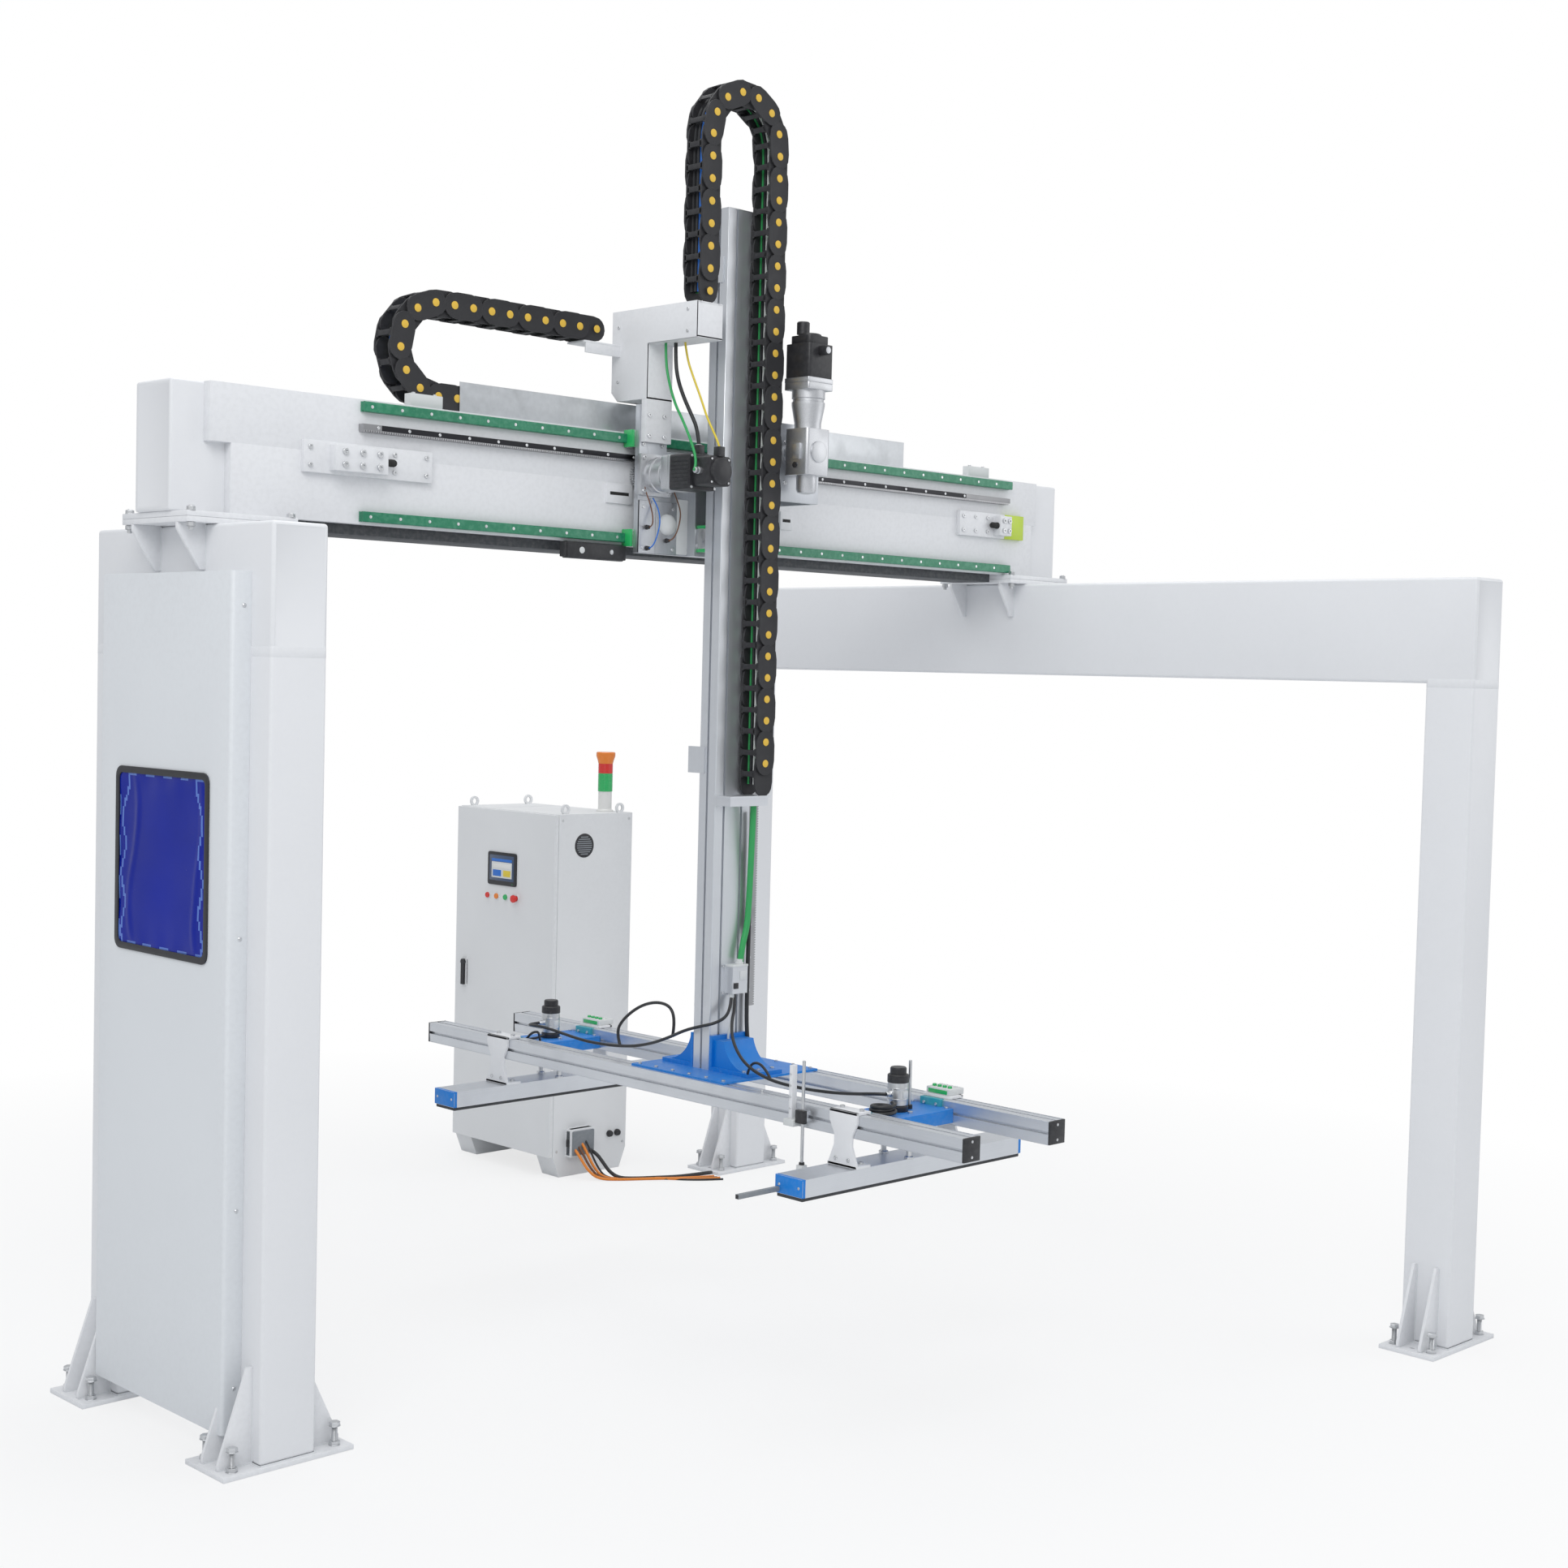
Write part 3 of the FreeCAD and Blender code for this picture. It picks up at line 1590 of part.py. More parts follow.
column = body("column_profile", "column_x", "column_y", "column_foot")
loops = [rectangle("0", "0", "column_wide", "column_deep")]
for across in ("groove_pitch / 2", "column_wide - groove_pitch / 2"):
    loops.append(rectangle(f"{across} - core / 2", "column_deep / 2 - core / 2", "core", "core"))
pad(column, "XY", loops, "column_top - column_foot")
grooves = []
for across in ("groove_pitch / 2", "column_wide - groove_pitch / 2"):
    grooves.append(rectangle(f"{across} - groove / 2", "-1", "groove", "groove_deep + 1"))
    grooves.append(
        rectangle(f"{across} - groove / 2", "column_deep - groove_deep", "groove", "groove_deep + 1")
    )
grooves.append(rectangle("-1", "column_deep / 2 - groove / 2", "groove_deep + 1", "groove"))
grooves.append(
    rectangle("column_wide - groove_deep", "column_deep / 2 - groove / 2", "groove_deep + 1", "groove")
)
pocket(column, "XY", grooves)
round_edges(
    column,
    "column_corner",
    "Z",
    lambda middle: on_corner(middle, size("column_wide"), size("column_deep")),
)


def lug(label, near, low, wide, high):
    """A small plate on the column's left side."""
    return box(label, "column_x - lug_thick", near, low, "lug_thick", wide, high)


CHAIN_SEAT_TOP = Z_CHAIN_FOOT + z_pins[-1][0] - PITCH / 2
ARM_CORD_TOP = CHAIN_SEAT_TOP - size("chain_seat_rib")
CHAIN_SEAT = f"{CHAIN_SEAT_TOP:.3f}"
seat = box(
    "chain_seat",
    "chain_seat_start",
    "z_chain_near",
    f"{CHAIN_SEAT} - chain_seat_thick",
    "chain_seat_long",
    "column_y - z_chain_near",
    "chain_seat_thick",
)
seat_rib = box(
    "chain_seat_rib",
    "chain_seat_start + chain_seat_thick",
    "z_chain_near + chain_seat_thick",
    f"{CHAIN_SEAT} - chain_seat_rib",
    "chain_seat_long - 2 * chain_seat_thick",
    "column_y - z_chain_near - chain_seat_thick",
    "chain_seat_rib - chain_seat_thick",
)
device = box(
    "device_block",
    "device_x + device_plate",
    "column_y - device_plate - device_deep",
    "device_bottom + device_plate",
    "device_wide - 2 * device_plate",
    "device_deep",
    "device_high - 2 * device_plate",
)
device_plate = box(
    "device_plate",
    "device_x",
    "column_y - device_plate",
    "device_bottom",
    "device_wide",
    "device_plate",
    "device_high",
)
node(
    gather(
        "column",
        [
            column,
            lug("end_lug", "end_lug_near", "end_lug_bottom", "end_lug_wide", "end_lug_high"),
            lug("switch_lug", "switch_lug_near", "switch_lug_bottom", "switch_lug_wide", "switch_lug_high"),
            join("chain_seat_bracket", [seat, seat_rib]),
            join("device", [device, device_plate]),
        ],
    )
)


# Column rails on its back and the Z rack on its right side


z_rails = []
for name, across in (("left", "z_rail_inset"), ("right", "column_wide - z_rail_inset - rail_wide")):
    rail = body(f"z_rail_{name}", f"column_x + {across}", COLUMN_BACK, "z_rail_foot")
    pad(rail, "XY", [[(up, over) for over, up in rail_outline()]], "z_rail_long")
    z_rails.append(rail)
z_rack = box(
    "z_rack",
    "column_x + column_wide",
    "z_rack_near",
    "z_rail_foot",
    f"z_drive_x - ({RACK_ROOT}) - column_x - column_wide",
    "rack_wide",
    "z_rail_long",
)
node(gather("z_rails_and_rack", z_rails + [z_rack]))


# Foot bracket: two castings with a hollow curve on the column's faces, over a spreader plate


def casting(label, near, reach, plate_near, hollow_y):
    """One casting: a base flange, a plate on the column and a web with a hollow curved edge."""
    flange = box(label + "_flange", "column_x", near, "column_foot", "column_wide", reach, "casting_flange")
    upright = box(
        label + "_upright",
        "column_x",
        plate_near,
        "column_foot",
        "column_wide",
        "casting_plate",
        "casting_high",
    )
    web = box(
        label + "_web",
        "column_x + casting_web_inset",
        near,
        "column_foot + casting_flange",
        "column_wide - 2 * casting_web_inset",
        reach,
        "casting_high - casting_flange - casting_web",
    )
    hollow = rod(
        label + "_hollow",
        "X",
        "column_x",
        hollow_y,
        "column_foot + casting_high + casting_web",
        "casting_high + casting_web - casting_flange",
        "column_wide",
    )
    return join(label, [flange, upright, cut(label + "_rib", web, hollow)])


spreader = box(
    "spreader",
    "spreader_start",
    "spreader_near",
    "gripper_bottom + rail_side",
    "spreader_long",
    "spreader_wide",
    "spreader_thick",
)
near_start = "column_y - casting_near"
near_casting = casting(
    "near_casting",
    near_start,
    "casting_near",
    "column_y - casting_plate",
    "column_y - casting_near + casting_web",
)
far_casting = casting(
    "far_casting",
    COLUMN_BACK,
    "casting_far",
    COLUMN_BACK,
    f"{COLUMN_BACK} + casting_far - casting_web",
)
node(gather("foot_bracket", [spreader, near_casting, far_casting]))


# Gripper rails with end caps and the sensor rod's clamp


def rail_profile(label, x):
    """One square grooved profile along Y with a cap on each end."""
    profile = body(label, x, "gripper_near", "gripper_bottom")
    middle = "rail_side / 2 - groove / 2"
    core = rectangle(
        "rail_side / 2 - rail_core / 2",
        "rail_side / 2 - rail_core / 2",
        "rail_core",
        "rail_core",
    )
    pad(profile, "XZ", [rectangle("0", "0", "rail_side", "rail_side"), core], "gripper_long")
    slots = [
        rectangle(middle, "-1", "groove", "groove_deep + 1"),
        rectangle(middle, "rail_side - groove_deep", "groove", "groove_deep + 1"),
        rectangle("-1", middle, "groove_deep + 1", "groove"),
        rectangle("rail_side - groove_deep", middle, "groove_deep + 1", "groove"),
    ]
    pocket(profile, "XZ", slots)
    near_cap = box(
        label + "_near_cap",
        x,
        "gripper_near - cap_thick",
        "gripper_bottom",
        "rail_side",
        "cap_thick",
        "rail_side",
    )
    far_cap = box(
        label + "_far_cap",
        x,
        "gripper_near + gripper_long",
        "gripper_bottom",
        "rail_side",
        "cap_thick",
        "rail_side",
    )
    return [profile, near_cap, far_cap]


REAR_RAIL = "gripper_rail_x + gripper_rail_gap"
clamp = cut(
    "rod_clamp",
    box(
        "rod_clamp_block",
        "gripper_rail_x - clamp_side",
        "rod_y - clamp_side / 2",
        "clamp_bottom",
        "clamp_side",
        "clamp_side",
        "clamp_high",
    ),
    rod("rod_clamp_bore", "Z", "rod_x", "rod_y", "clamp_bottom", "rod_radius + rod_fit", "clamp_high"),
)
node(
    gather(
        "gripper_rails",
        rail_profile("front_rail", "gripper_rail_x") + rail_profile("rear_rail", REAR_RAIL) + [clamp],
    )
)

rod_head = box(
    "rod_head",
    "rod_x - clamp_side / 2",
    "rod_y - clamp_side / 2",
    "rod_bottom - clamp_high",
    "clamp_side",
    "clamp_side",
    "clamp_high",
)
node(
    join(
        "sensor_rod",
        [rod("sensor_rod_bar", "Z", "rod_x", "rod_y", "rod_bottom", "rod_radius", "rod_long"), rod_head],
    )
)


# Suction bars: each with its foam pad, carrier and vacuum generator


# Shares of a hanger's height where its waist starts and ends, and where its shoulder starts
WAIST_LOW, WAIST_HIGH, SHOULDER = 0.4, 0.6, 0.85


def hanger(label, x, bar_y):
    """An hourglass plate beside a rail, from the bar below to the rail's top."""
    plate = body(label, x, bar_y, "bar_bottom + bar_high")
    high = "gripper_bottom + rail_side - bar_bottom - bar_high"
    outline = [
        ("-hanger_base / 2", "0"),
        ("hanger_base / 2", "0"),
        ("hanger_base / 2", "hanger_flange"),
        ("hanger_waist / 2", f"({high}) * {WAIST_LOW}"),
        ("hanger_waist / 2", f"({high}) * {WAIST_HIGH}"),
        ("hanger_top / 2", f"({high}) * {SHOULDER}"),
        ("hanger_top / 2", f"{high} + hanger_flange + hanger_gap"),
        ("-hanger_top / 2", f"{high} + hanger_flange + hanger_gap"),
        ("-hanger_top / 2", f"({high}) * {SHOULDER}"),
        ("-hanger_waist / 2", f"({high}) * {WAIST_HIGH}"),
        ("-hanger_waist / 2", f"({high}) * {WAIST_LOW}"),
        ("-hanger_base / 2", "hanger_flange"),
    ]
    pad(plate, "YZ", [outline], "hanger_thick")
    return plate


def bar_set(side, bar_y):
    """The four nodes of one suction bar, centred at bar_y."""
    near = f"{bar_y} - bar_wide / 2"
    bar = body(f"{side}_bar_profile", "bar_start + bar_end", near, "bar_bottom")
    slot = "bar_wide / 4 - groove / 2"
    loops = [
        rectangle("0", "0", "bar_wide", "bar_high"),
        rectangle("bar_end", "bar_end", "bar_wide - 2 * bar_end", "bar_high - 2 * bar_end"),
    ]
    pad(bar, "YZ", loops, "bar_long - 2 * bar_end")
    ends = []
    for name, start in (("left", "bar_start"), ("right", "bar_start + bar_long - bar_end")):
        end_cap = body(f"{side}_bar_cap_{name}", start, near, "bar_bottom")
        pad(end_cap, "YZ", [rectangle("0", "0", "bar_wide", "bar_high")], "bar_end")
        round_edges(end_cap, "cap_corner", "X")
        ends.append(end_cap)
    node(gather(f"{side}_suction_bar", [bar] + ends))
    foam = box(
        f"{side}_foam_pad",
        "bar_start + foam_inset",
        f"{near} + foam_inset",
        "bar_bottom - foam_high",
        "bar_long - 2 * foam_inset",
        "bar_wide - 2 * foam_inset",
        "foam_high",
    )
    node(foam)
    bar_top = "bar_bottom + bar_high"
    rail_top = "gripper_bottom + rail_side"
    solids = []
    front_x = "gripper_rail_x - hanger_thick - hanger_gap"
    rear_x = f"{REAR_RAIL} + rail_side + hanger_gap"
    lips = ((front_x, front_x), (rear_x, f"{rear_x} + hanger_thick - hanger_flange_long"))
    for index, (start, lip) in enumerate(lips):
        label = f"{side}_hanger_{index}"
        parts = [hanger(label + "_plate", start, bar_y)]
        foot_x = start if index == 0 else f"{start} + hanger_thick - hanger_flange_long"
        parts.append(
            box(
                label + "_foot",
                foot_x,
                f"{bar_y} - hanger_base / 2",
                bar_top,
                "hanger_flange_long",
                "hanger_base",
                "hanger_flange",
            )
        )
        parts.append(
            box(
                label + "_lip",
                lip,
                f"{bar_y} - hanger_top / 2",
                f"{rail_top} + hanger_gap",
                "hanger_flange_long",
                "hanger_top",
                "hanger_flange",
            )
        )
        solids.append(join(label, parts))
    bridge_x = "gripper_rail_x + rail_side + hanger_gap"
    bridge_long = f"{REAR_RAIL} - hanger_gap - ({bridge_x})"
    bridge_near = f"{bar_y} - cross_wide / 2"
    bridge = [
        box(
            f"{side}_bridge_plate",
            bridge_x,
            bridge_near,
            "cross_top - cross_thick",
            bridge_long,
            "cross_wide",
            "cross_thick",
        )
    ]
    for name, start in (("left", bridge_x), ("right", f"{REAR_RAIL} - hanger_gap - cross_thick")):
        bridge.append(
            box(
                f"{side}_bridge_lip_{name}",
                start,
                bridge_near,
                "cross_top - cross_thick - cross_lip",
                "cross_thick",
                "cross_wide",
                "cross_lip",
            )
        )
    post_high = f"cross_top - cross_thick - ({bar_top})"
    for index, along in enumerate(("-cross_post", "cross_post")):
        bridge.append(
            rod(
                f"{side}_bridge_post_{index}",
                "Z",
                "generator_x",
                f"{bar_y} + {along}",
                bar_top,
                "cross_thick",
                post_high,
            )
        )
    solids.append(join(f"{side}_bridge", bridge))
    node(gather(f"{side}_bar_carrier", solids))
    generator = [
        rod(
            f"{side}_generator_body",
            "Z",
            "generator_x",
            bar_y,
            "cross_top",
            "generator_radius",
            "generator_high",
        ),
        rod(
            f"{side}_generator_cap",
            "Z",
            "generator_x",
            bar_y,
            "cross_top + generator_high",
            "generator_radius - generator_port",
            "generator_cap",
        ),
        rod(
            f"{side}_generator_port",
            "X",
            "generator_x - generator_radius - generator_cap",
            bar_y,
            "cross_top + generator_high / 2",
            "generator_port",
            "generator_radius + generator_cap",
        ),
    ]
    node(join(f"{side}_vacuum_generator", generator))


bar_set("left", "left_bar_y")
bar_set("right", "right_bar_y")


# Cabinet: a sheet case open at the door, on two tapered plinth blocks


CABINET_TOP = "cabinet_foot + cabinet_high"
case = cut(
    "cabinet_case",
    box(
        "cabinet_outside",
        "cabinet_x",
        "cabinet_y",
        "cabinet_foot",
        "cabinet_deep",
        "cabinet_wide",
        "cabinet_high",
    ),
    box(
        "cabinet_inside",
        "cabinet_x",
        "cabinet_y + cabinet_wall",
        "cabinet_foot + cabinet_wall",
        "cabinet_deep - cabinet_wall",
        "cabinet_wide - 2 * cabinet_wall",
        "cabinet_high - 2 * cabinet_wall",
    ),
)
cabinet = [case]
for name, start in (("near", "cabinet_y"), ("far", "cabinet_y + cabinet_wide - plinth_block")):
    block = body(f"plinth_{name}", "cabinet_x", start, "0")
    outline = [
        ("plinth_taper", "0"),
        ("cabinet_deep - plinth_taper", "0"),
        ("cabinet_deep", "cabinet_foot"),
        ("0", "cabinet_foot"),
    ]
    pad(block, "XZ", [outline], "plinth_block")
    cabinet.append(block)
for index, across in enumerate(("eye_inset_x", "cabinet_deep - eye_inset_x")):
    for side_index, along in enumerate(("eye_inset_y", "cabinet_wide - eye_inset_y")):
        eye_name = f"lifting_eye_{index}_{side_index}"
        eye_x = f"cabinet_x + {across}"
        eye_y = f"cabinet_y + {along} - eye_wire"
        eye_z = f"{CABINET_TOP} + eye_radius + eye_wire - eye_sink"
        outer = rod(eye_name + "_outer", "Y", eye_x, eye_y, eye_z, "eye_radius + eye_wire", "2 * eye_wire")
        hole = rod(eye_name + "_hole", "Y", eye_x, eye_y, eye_z, "eye_radius - eye_wire", "2 * eye_wire")
        cabinet.append(cut(eye_name, outer, hole))
cabinet.append(
    box("floor_plug", "plug_x", "cabinet_y - plug_deep", "plug_bottom", "plug_long", "plug_deep", "plug_high")
)
node(join("cabinet_body", cabinet))


# Door with its panel, buttons and handle


# Shares of the emergency button's radius and height that its bevelled rim leaves
DOME_TOP, DOME_RIM = 0.7, 0.6


DOOR_FRONT = "cabinet_x - door_thick"
door = body("door_leaf", DOOR_FRONT, "cabinet_y + door_gap", "cabinet_foot + door_gap")
pad(
    door,
    "YZ",
    [rectangle("0", "0", "cabinet_wide - 2 * door_gap", "cabinet_high - 2 * door_gap")],
    "door_thick - door_seal",
)
holes = []
BUTTONS = (
    ("start_button", "button_first"),
    ("reset_button", "button_first + button_pitch"),
    ("stop_button", "button_first + 2 * button_pitch"),
)
for name, along in BUTTONS:
    across = f"{along} - cabinet_y - door_gap"
    holes.append((across, "button_z - cabinet_foot - door_gap", "button_radius + button_gap"))
holes.append(
    ("emergency_y - cabinet_y - door_gap", "button_z - cabinet_foot - door_gap", "button_radius + button_gap")
)
pocket(door, "YZ", holes)
bezels = []
for name, along in BUTTONS + (("emergency_button", "emergency_y"),):
    bezel = body(name + "_bezel", f"{DOOR_FRONT} - bezel_proud", along, "button_z")
    pad(bezel, "YZ", [("0", "0", "bezel_radius"), ("0", "0", "button_radius + button_gap")], "bezel_proud")
    bezels.append(bezel)
escutcheon = box(
    "handle_plate",
    f"{DOOR_FRONT} - handle_plate",
    "handle_y - handle_wide / 2",
    "handle_bottom",
    "handle_plate",
    "handle_wide",
    "handle_high",
)
node(join("cabinet_door", [door] + bezels + [escutcheon]))

panel = body("hmi_panel", f"{DOOR_FRONT} - panel_proud", "panel_y", "panel_bottom")
pad(panel, "YZ", [rectangle("0", "0", "panel_wide", "panel_high")], "panel_proud")
round_edges(panel, "panel_corner", "X")
screen_inset = "panel_corner"
screen = rectangle(
    screen_inset,
    screen_inset,
    "panel_wide - 2 * panel_corner",
    "panel_high - 2 * panel_corner",
)
pocket(panel, "YZ", [screen], "panel_recess", "panel_recess")
node(panel)

for name, along in BUTTONS:
    cap = rod(
        name,
        "X",
        f"{DOOR_FRONT} - button_proud",
        along,
        "button_z",
        "button_radius",
        "button_proud + button_stem",
    )
    node(cap)
head = revolved(
    "emergency_head",
    f"{DOOR_FRONT} - bezel_proud - emergency_lift",
    "emergency_y",
    "button_z",
    "X",
    [
        ("0", "-emergency_head"),
        (f"emergency_radius * {DOME_TOP}", "-emergency_head"),
        ("emergency_radius", f"-emergency_head * {DOME_RIM}"),
        ("emergency_radius", "0"),
        ("0", "0"),
    ],
)
stem = rod(
    "emergency_stem",
    "X",
    f"{DOOR_FRONT} - bezel_proud - emergency_lift",
    "emergency_y",
    "button_z",
    "button_radius",
    "bezel_proud + emergency_lift + button_stem",
)
node(join("emergency_button", [head, stem]))

HANDLE_FRONT = f"{DOOR_FRONT} - handle_plate - handle_gap"
HUB_Z = "handle_bottom + handle_high - handle_wide / 2"
hub = rod(
    "handle_hub",
    "X",
    f"{HANDLE_FRONT} - handle_thick",
    "handle_y",
    HUB_Z,
    "handle_hub",
    "handle_thick",
)
lever = box(
    "handle_lever",
    f"{HANDLE_FRONT} - handle_thick",
    "handle_y - handle_lever / 2",
    "handle_bottom + handle_plate",
    "handle_thick",
    "handle_lever",
    "handle_high - handle_wide / 2 - handle_plate",
)
node(join("door_handle", [hub, lever]))


# Signal tower on the cabinet's roof


tower_outline = [
    ("0", "0"),
    ("tower_radius", "0"),
    ("tower_radius", "tower_tube"),
    ("tower_lamp", "tower_tube"),
    ("tower_lamp", "tower_red"),
    ("tower_cap", "tower_high - tower_lip"),
    ("tower_cap", "tower_high"),
    ("0", "tower_high"),
]
node(revolved("signal_tower", "tower_x", "tower_y", CABINET_TOP, "Z", tower_outline))


# Cords: straight runs joined by tangent arcs through points chosen by hand


CORDS = {
    "floor_cable": (
        "floor_cord_radius",
        [
            (3395, 2498.6, 128),
            (3396, 2447, 120),
            (3402, 2402, 82),
            (3415, 2362, 36),
            (3440, 2318, 9.5),
            (3500, 2262, 9.5),
            (3590, 2215, 9.5),
            (3690, 2160, 9.5),
            (3800, 2140, 9.5),
            (3883, 2125, 9.5),
        ],
    ),
    "motor_cable": (
        "motor_cord_radius",
        [
            (1790, 190, 3709.7),
            (1789, 188, 3640),
            (1784, 168, 3575),
            (1779, 130, 3510),
            (1782, 90, 3445),
            (1792, 64, 3390),
            (1795, 58, 3332.9),
        ],
    ),
    "arm_cable": (
        "arm_cord_radius",
        [
            (2120, 64, ARM_CORD_TOP - 0.7),
            (2122, 68, 1940),
            (2131, 82, 1800),
            (2133, 89, 1660),
            (2124, 87, 1560),
            (2100, 87, 1485),
            (2090, 86, 1415.8),
        ],
    ),
    "gripper_hose": (
        "hose_radius",
        [
            (2052, 87, 1309.4),
            (2042, 80, 1262),
            (2002, 64, 1226),
            (1950, 72, 1208),
            (1920, 118, 1194),
            (1914, 190, 1172),
            (1924, 290, 1130),
            (1940, 410, 1088),
            (1950, 540, 1058),
            (1956, 680, 1044),
            (1952, 820, 1042),
            (1944, 950, 1056),
            (1936, 1050, 1068),
            (1936, 1125, 1066),
            (1950, 1172, 1061),
            (1986, 1189, 1060),
            (2015.7, 1190, 1060),
        ],
    ),
}


def cord_wire(points):
    """Straight runs joined by arcs, each as large as its two runs allow, and the arcs' radii."""
    edges = []
    radii = []
    start = points[0]
    for before, corner, after in zip(points, points[1:], points[2:]):
        come = (corner - before).normalize()
        go = (after - corner).normalize()
        turn = come.getAngle(go)
        back = 0.45 * min((corner - before).Length, (after - corner).Length)
        radii.append(back / math.tan(turn / 2))
        enter = corner - come * back
        leave = corner + go * back
        inward = (go - come).normalize()
        centre = corner + inward * (radii[-1] / math.cos(turn / 2))
        edges.append(Part.LineSegment(start, enter).toShape())
        edges.append(Part.Arc(enter, centre - inward * radii[-1], leave).toShape())
        start = leave
    edges.append(Part.LineSegment(start, points[-1]).toShape())
    return Part.Wire(edges), radii


def cord(label, radius_name, places):
    """One cord's tube along its route."""
    radius = size(radius_name)
    points = [Vector(x + size("left_x"), y + size("left_y"), z) for x, y, z in places]
    wire, radii = cord_wire(points)
    ring = Part.Wire(Part.makeCircle(radius, points[0], points[1] - points[0]))
    item = fresh("Part::Feature", label)
    item.Shape = wire.makePipeShell([ring], True, False)
    wanted = math.pi * radius**2 * wire.Length
    print(f"{label}: length {wire.Length:.0f}, radii {[round(value) for value in radii]}, ", end="")
    print(f"volume {item.Shape.Volume / wanted:.4f} of section by length")
    return node(item)


for name, (radius_name, places) in CORDS.items():
    cord(name, radius_name, places)


# Checks and output


DOC.recompute()
for item in DOC.Objects:
    if {"Invalid", "Error"} & set(item.State):
        raise RuntimeError(f"{item.Label} failed: {item.State}")
for item in NODES:
    if item.Shape.isNull() or not item.Shape.isValid():
        raise RuntimeError(f"{item.Label} has no valid shape")
os.makedirs("parts", exist_ok=True)
for item in NODES:
    item.Shape.exportStep(f"parts/{item.Label}.step")
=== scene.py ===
"""Dressed model of a gantry loader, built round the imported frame.

Places in the classes are millimetres, measured as in the part's source: X along the beam from
the outer corner of the left portal's near leg, Y across it (the near side is -Y) and Z up from
the floor. metres() turns them into the model's frame.
"""

import logging
import math
from collections.abc import Callable, Iterable, Sequence
from dataclasses import dataclass
from enum import Enum

import bpy
from mathutils import Matrix, Vector


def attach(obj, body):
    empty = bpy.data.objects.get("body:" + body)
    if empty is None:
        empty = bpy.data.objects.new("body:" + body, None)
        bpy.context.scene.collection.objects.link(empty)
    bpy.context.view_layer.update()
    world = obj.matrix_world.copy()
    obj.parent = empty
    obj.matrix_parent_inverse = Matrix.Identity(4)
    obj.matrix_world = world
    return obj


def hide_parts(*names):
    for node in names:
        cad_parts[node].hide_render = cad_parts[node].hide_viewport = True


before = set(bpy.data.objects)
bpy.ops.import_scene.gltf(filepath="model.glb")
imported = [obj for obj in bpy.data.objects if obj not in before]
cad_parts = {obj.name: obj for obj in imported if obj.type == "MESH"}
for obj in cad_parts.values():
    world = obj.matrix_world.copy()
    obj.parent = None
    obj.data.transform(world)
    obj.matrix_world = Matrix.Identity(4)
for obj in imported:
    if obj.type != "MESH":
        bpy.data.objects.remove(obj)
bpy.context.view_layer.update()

LOG = logging.getLogger("gantry")
LEFT_X = -2110.0
LEFT_Y = -749.0
MM = 0.001

Place = tuple[float, float, float]
Flat = tuple[float, float]
Colour = tuple[float, float, float]
Item = bpy.types.Object
Socket = bpy.types.NodeSocket


class Axis(Enum):
    """The direction that a turned or cut piece is built along."""

    X = "X"
    Y = "Y"
    Z = "Z"


def metres(x: float, y: float, z: float) -> Vector:
    """A place in millimetres from the left portal's corner, as metres in the model's frame."""
    return Vector(((x + LEFT_X) * MM, (y + LEFT_Y) * MM, z * MM))


def middle_of(low: Place, high: Place) -> Vector:
    """The middle of two corners, in metres."""
    return (metres(*low) + metres(*high)) / 2


# Modelling steps


def clear() -> None:
    """Deselect every object."""
    bpy.ops.object.select_all(action="DESELECT")


def only(item: Item) -> Item:
    """Make one object the selected and active one, and return it.

    Args:
        item: The object.

    Returns:
        The same object.
    """
    clear()
    item.select_set(True)
    bpy.context.view_layer.objects.active = item
    return item


def apply_place(item: Item) -> Item:
    """Put an object's place, turn and scale into its mesh.

    Args:
        item: The object.

    Returns:
        The same object.
    """
    only(item)
    bpy.ops.object.transform_apply(location=True, rotation=True, scale=True)
    return item


def soften(item: Item, width: float, segments: int = 2, angle: float = 30.0) -> Item:
    """Round the sharp edges of a piece.

    Args:
        item: The piece.
        width: The bevel's width in millimetres.
        segments: How many strips the bevel has.
        angle: The least angle between faces, in degrees, that counts as an edge.

    Returns:
        The piece.
    """
    only(item)
    edges = item.modifiers.new("edges", "BEVEL")
    edges.width = width * MM
    edges.segments = segments
    edges.limit_method = "ANGLE"
    edges.angle_limit = math.radians(angle)
    bpy.ops.object.modifier_apply(modifier="edges")
    return item


def block(low: Place, high: Place, edge: float = 1.0, segments: int = 2) -> Item:
    """A block between two corners with rounded edges.

    Args:
        low: The lowest corner in millimetres.
        high: The highest corner in millimetres.
        edge: The rounding in millimetres, 0 for none.
        segments: How many strips the rounding has.

    Returns:
        The new block.
    """
    clear()
    bpy.ops.mesh.primitive_cube_add(size=1.0, location=middle_of(low, high))
    item = bpy.context.object
    item.scale = [(b - a) * MM for a, b in zip(low, high)]
    apply_place(item)
    if edge:
        soften(item, edge, segments)
    return item


def facing(axis: Axis) -> Matrix:
    """The turn that takes local Z onto an axis.

    Args:
        axis: The axis that local Z goes to.

    Returns:
        The turn.
    """
    if axis is Axis.X:
        return Matrix.Rotation(math.radians(90), 4, "Y")
    if axis is Axis.Y:
        return Matrix.Rotation(math.radians(-90), 4, "X")
    return Matrix.Identity(4)


def stand(item: Item, base: Place, axis: Axis) -> Item:
    """Turn a piece built along Z at the origin onto an axis, and set it at its base."""
    item.matrix_world = Matrix.Translation(metres(*base)) @ facing(axis)
    return apply_place(item)


def edit(item: Item) -> None:
    """Open a piece in edit mode with all of it selected."""
    only(item)
    bpy.ops.object.mode_set(mode="EDIT")
    bpy.ops.mesh.select_all(action="SELECT")


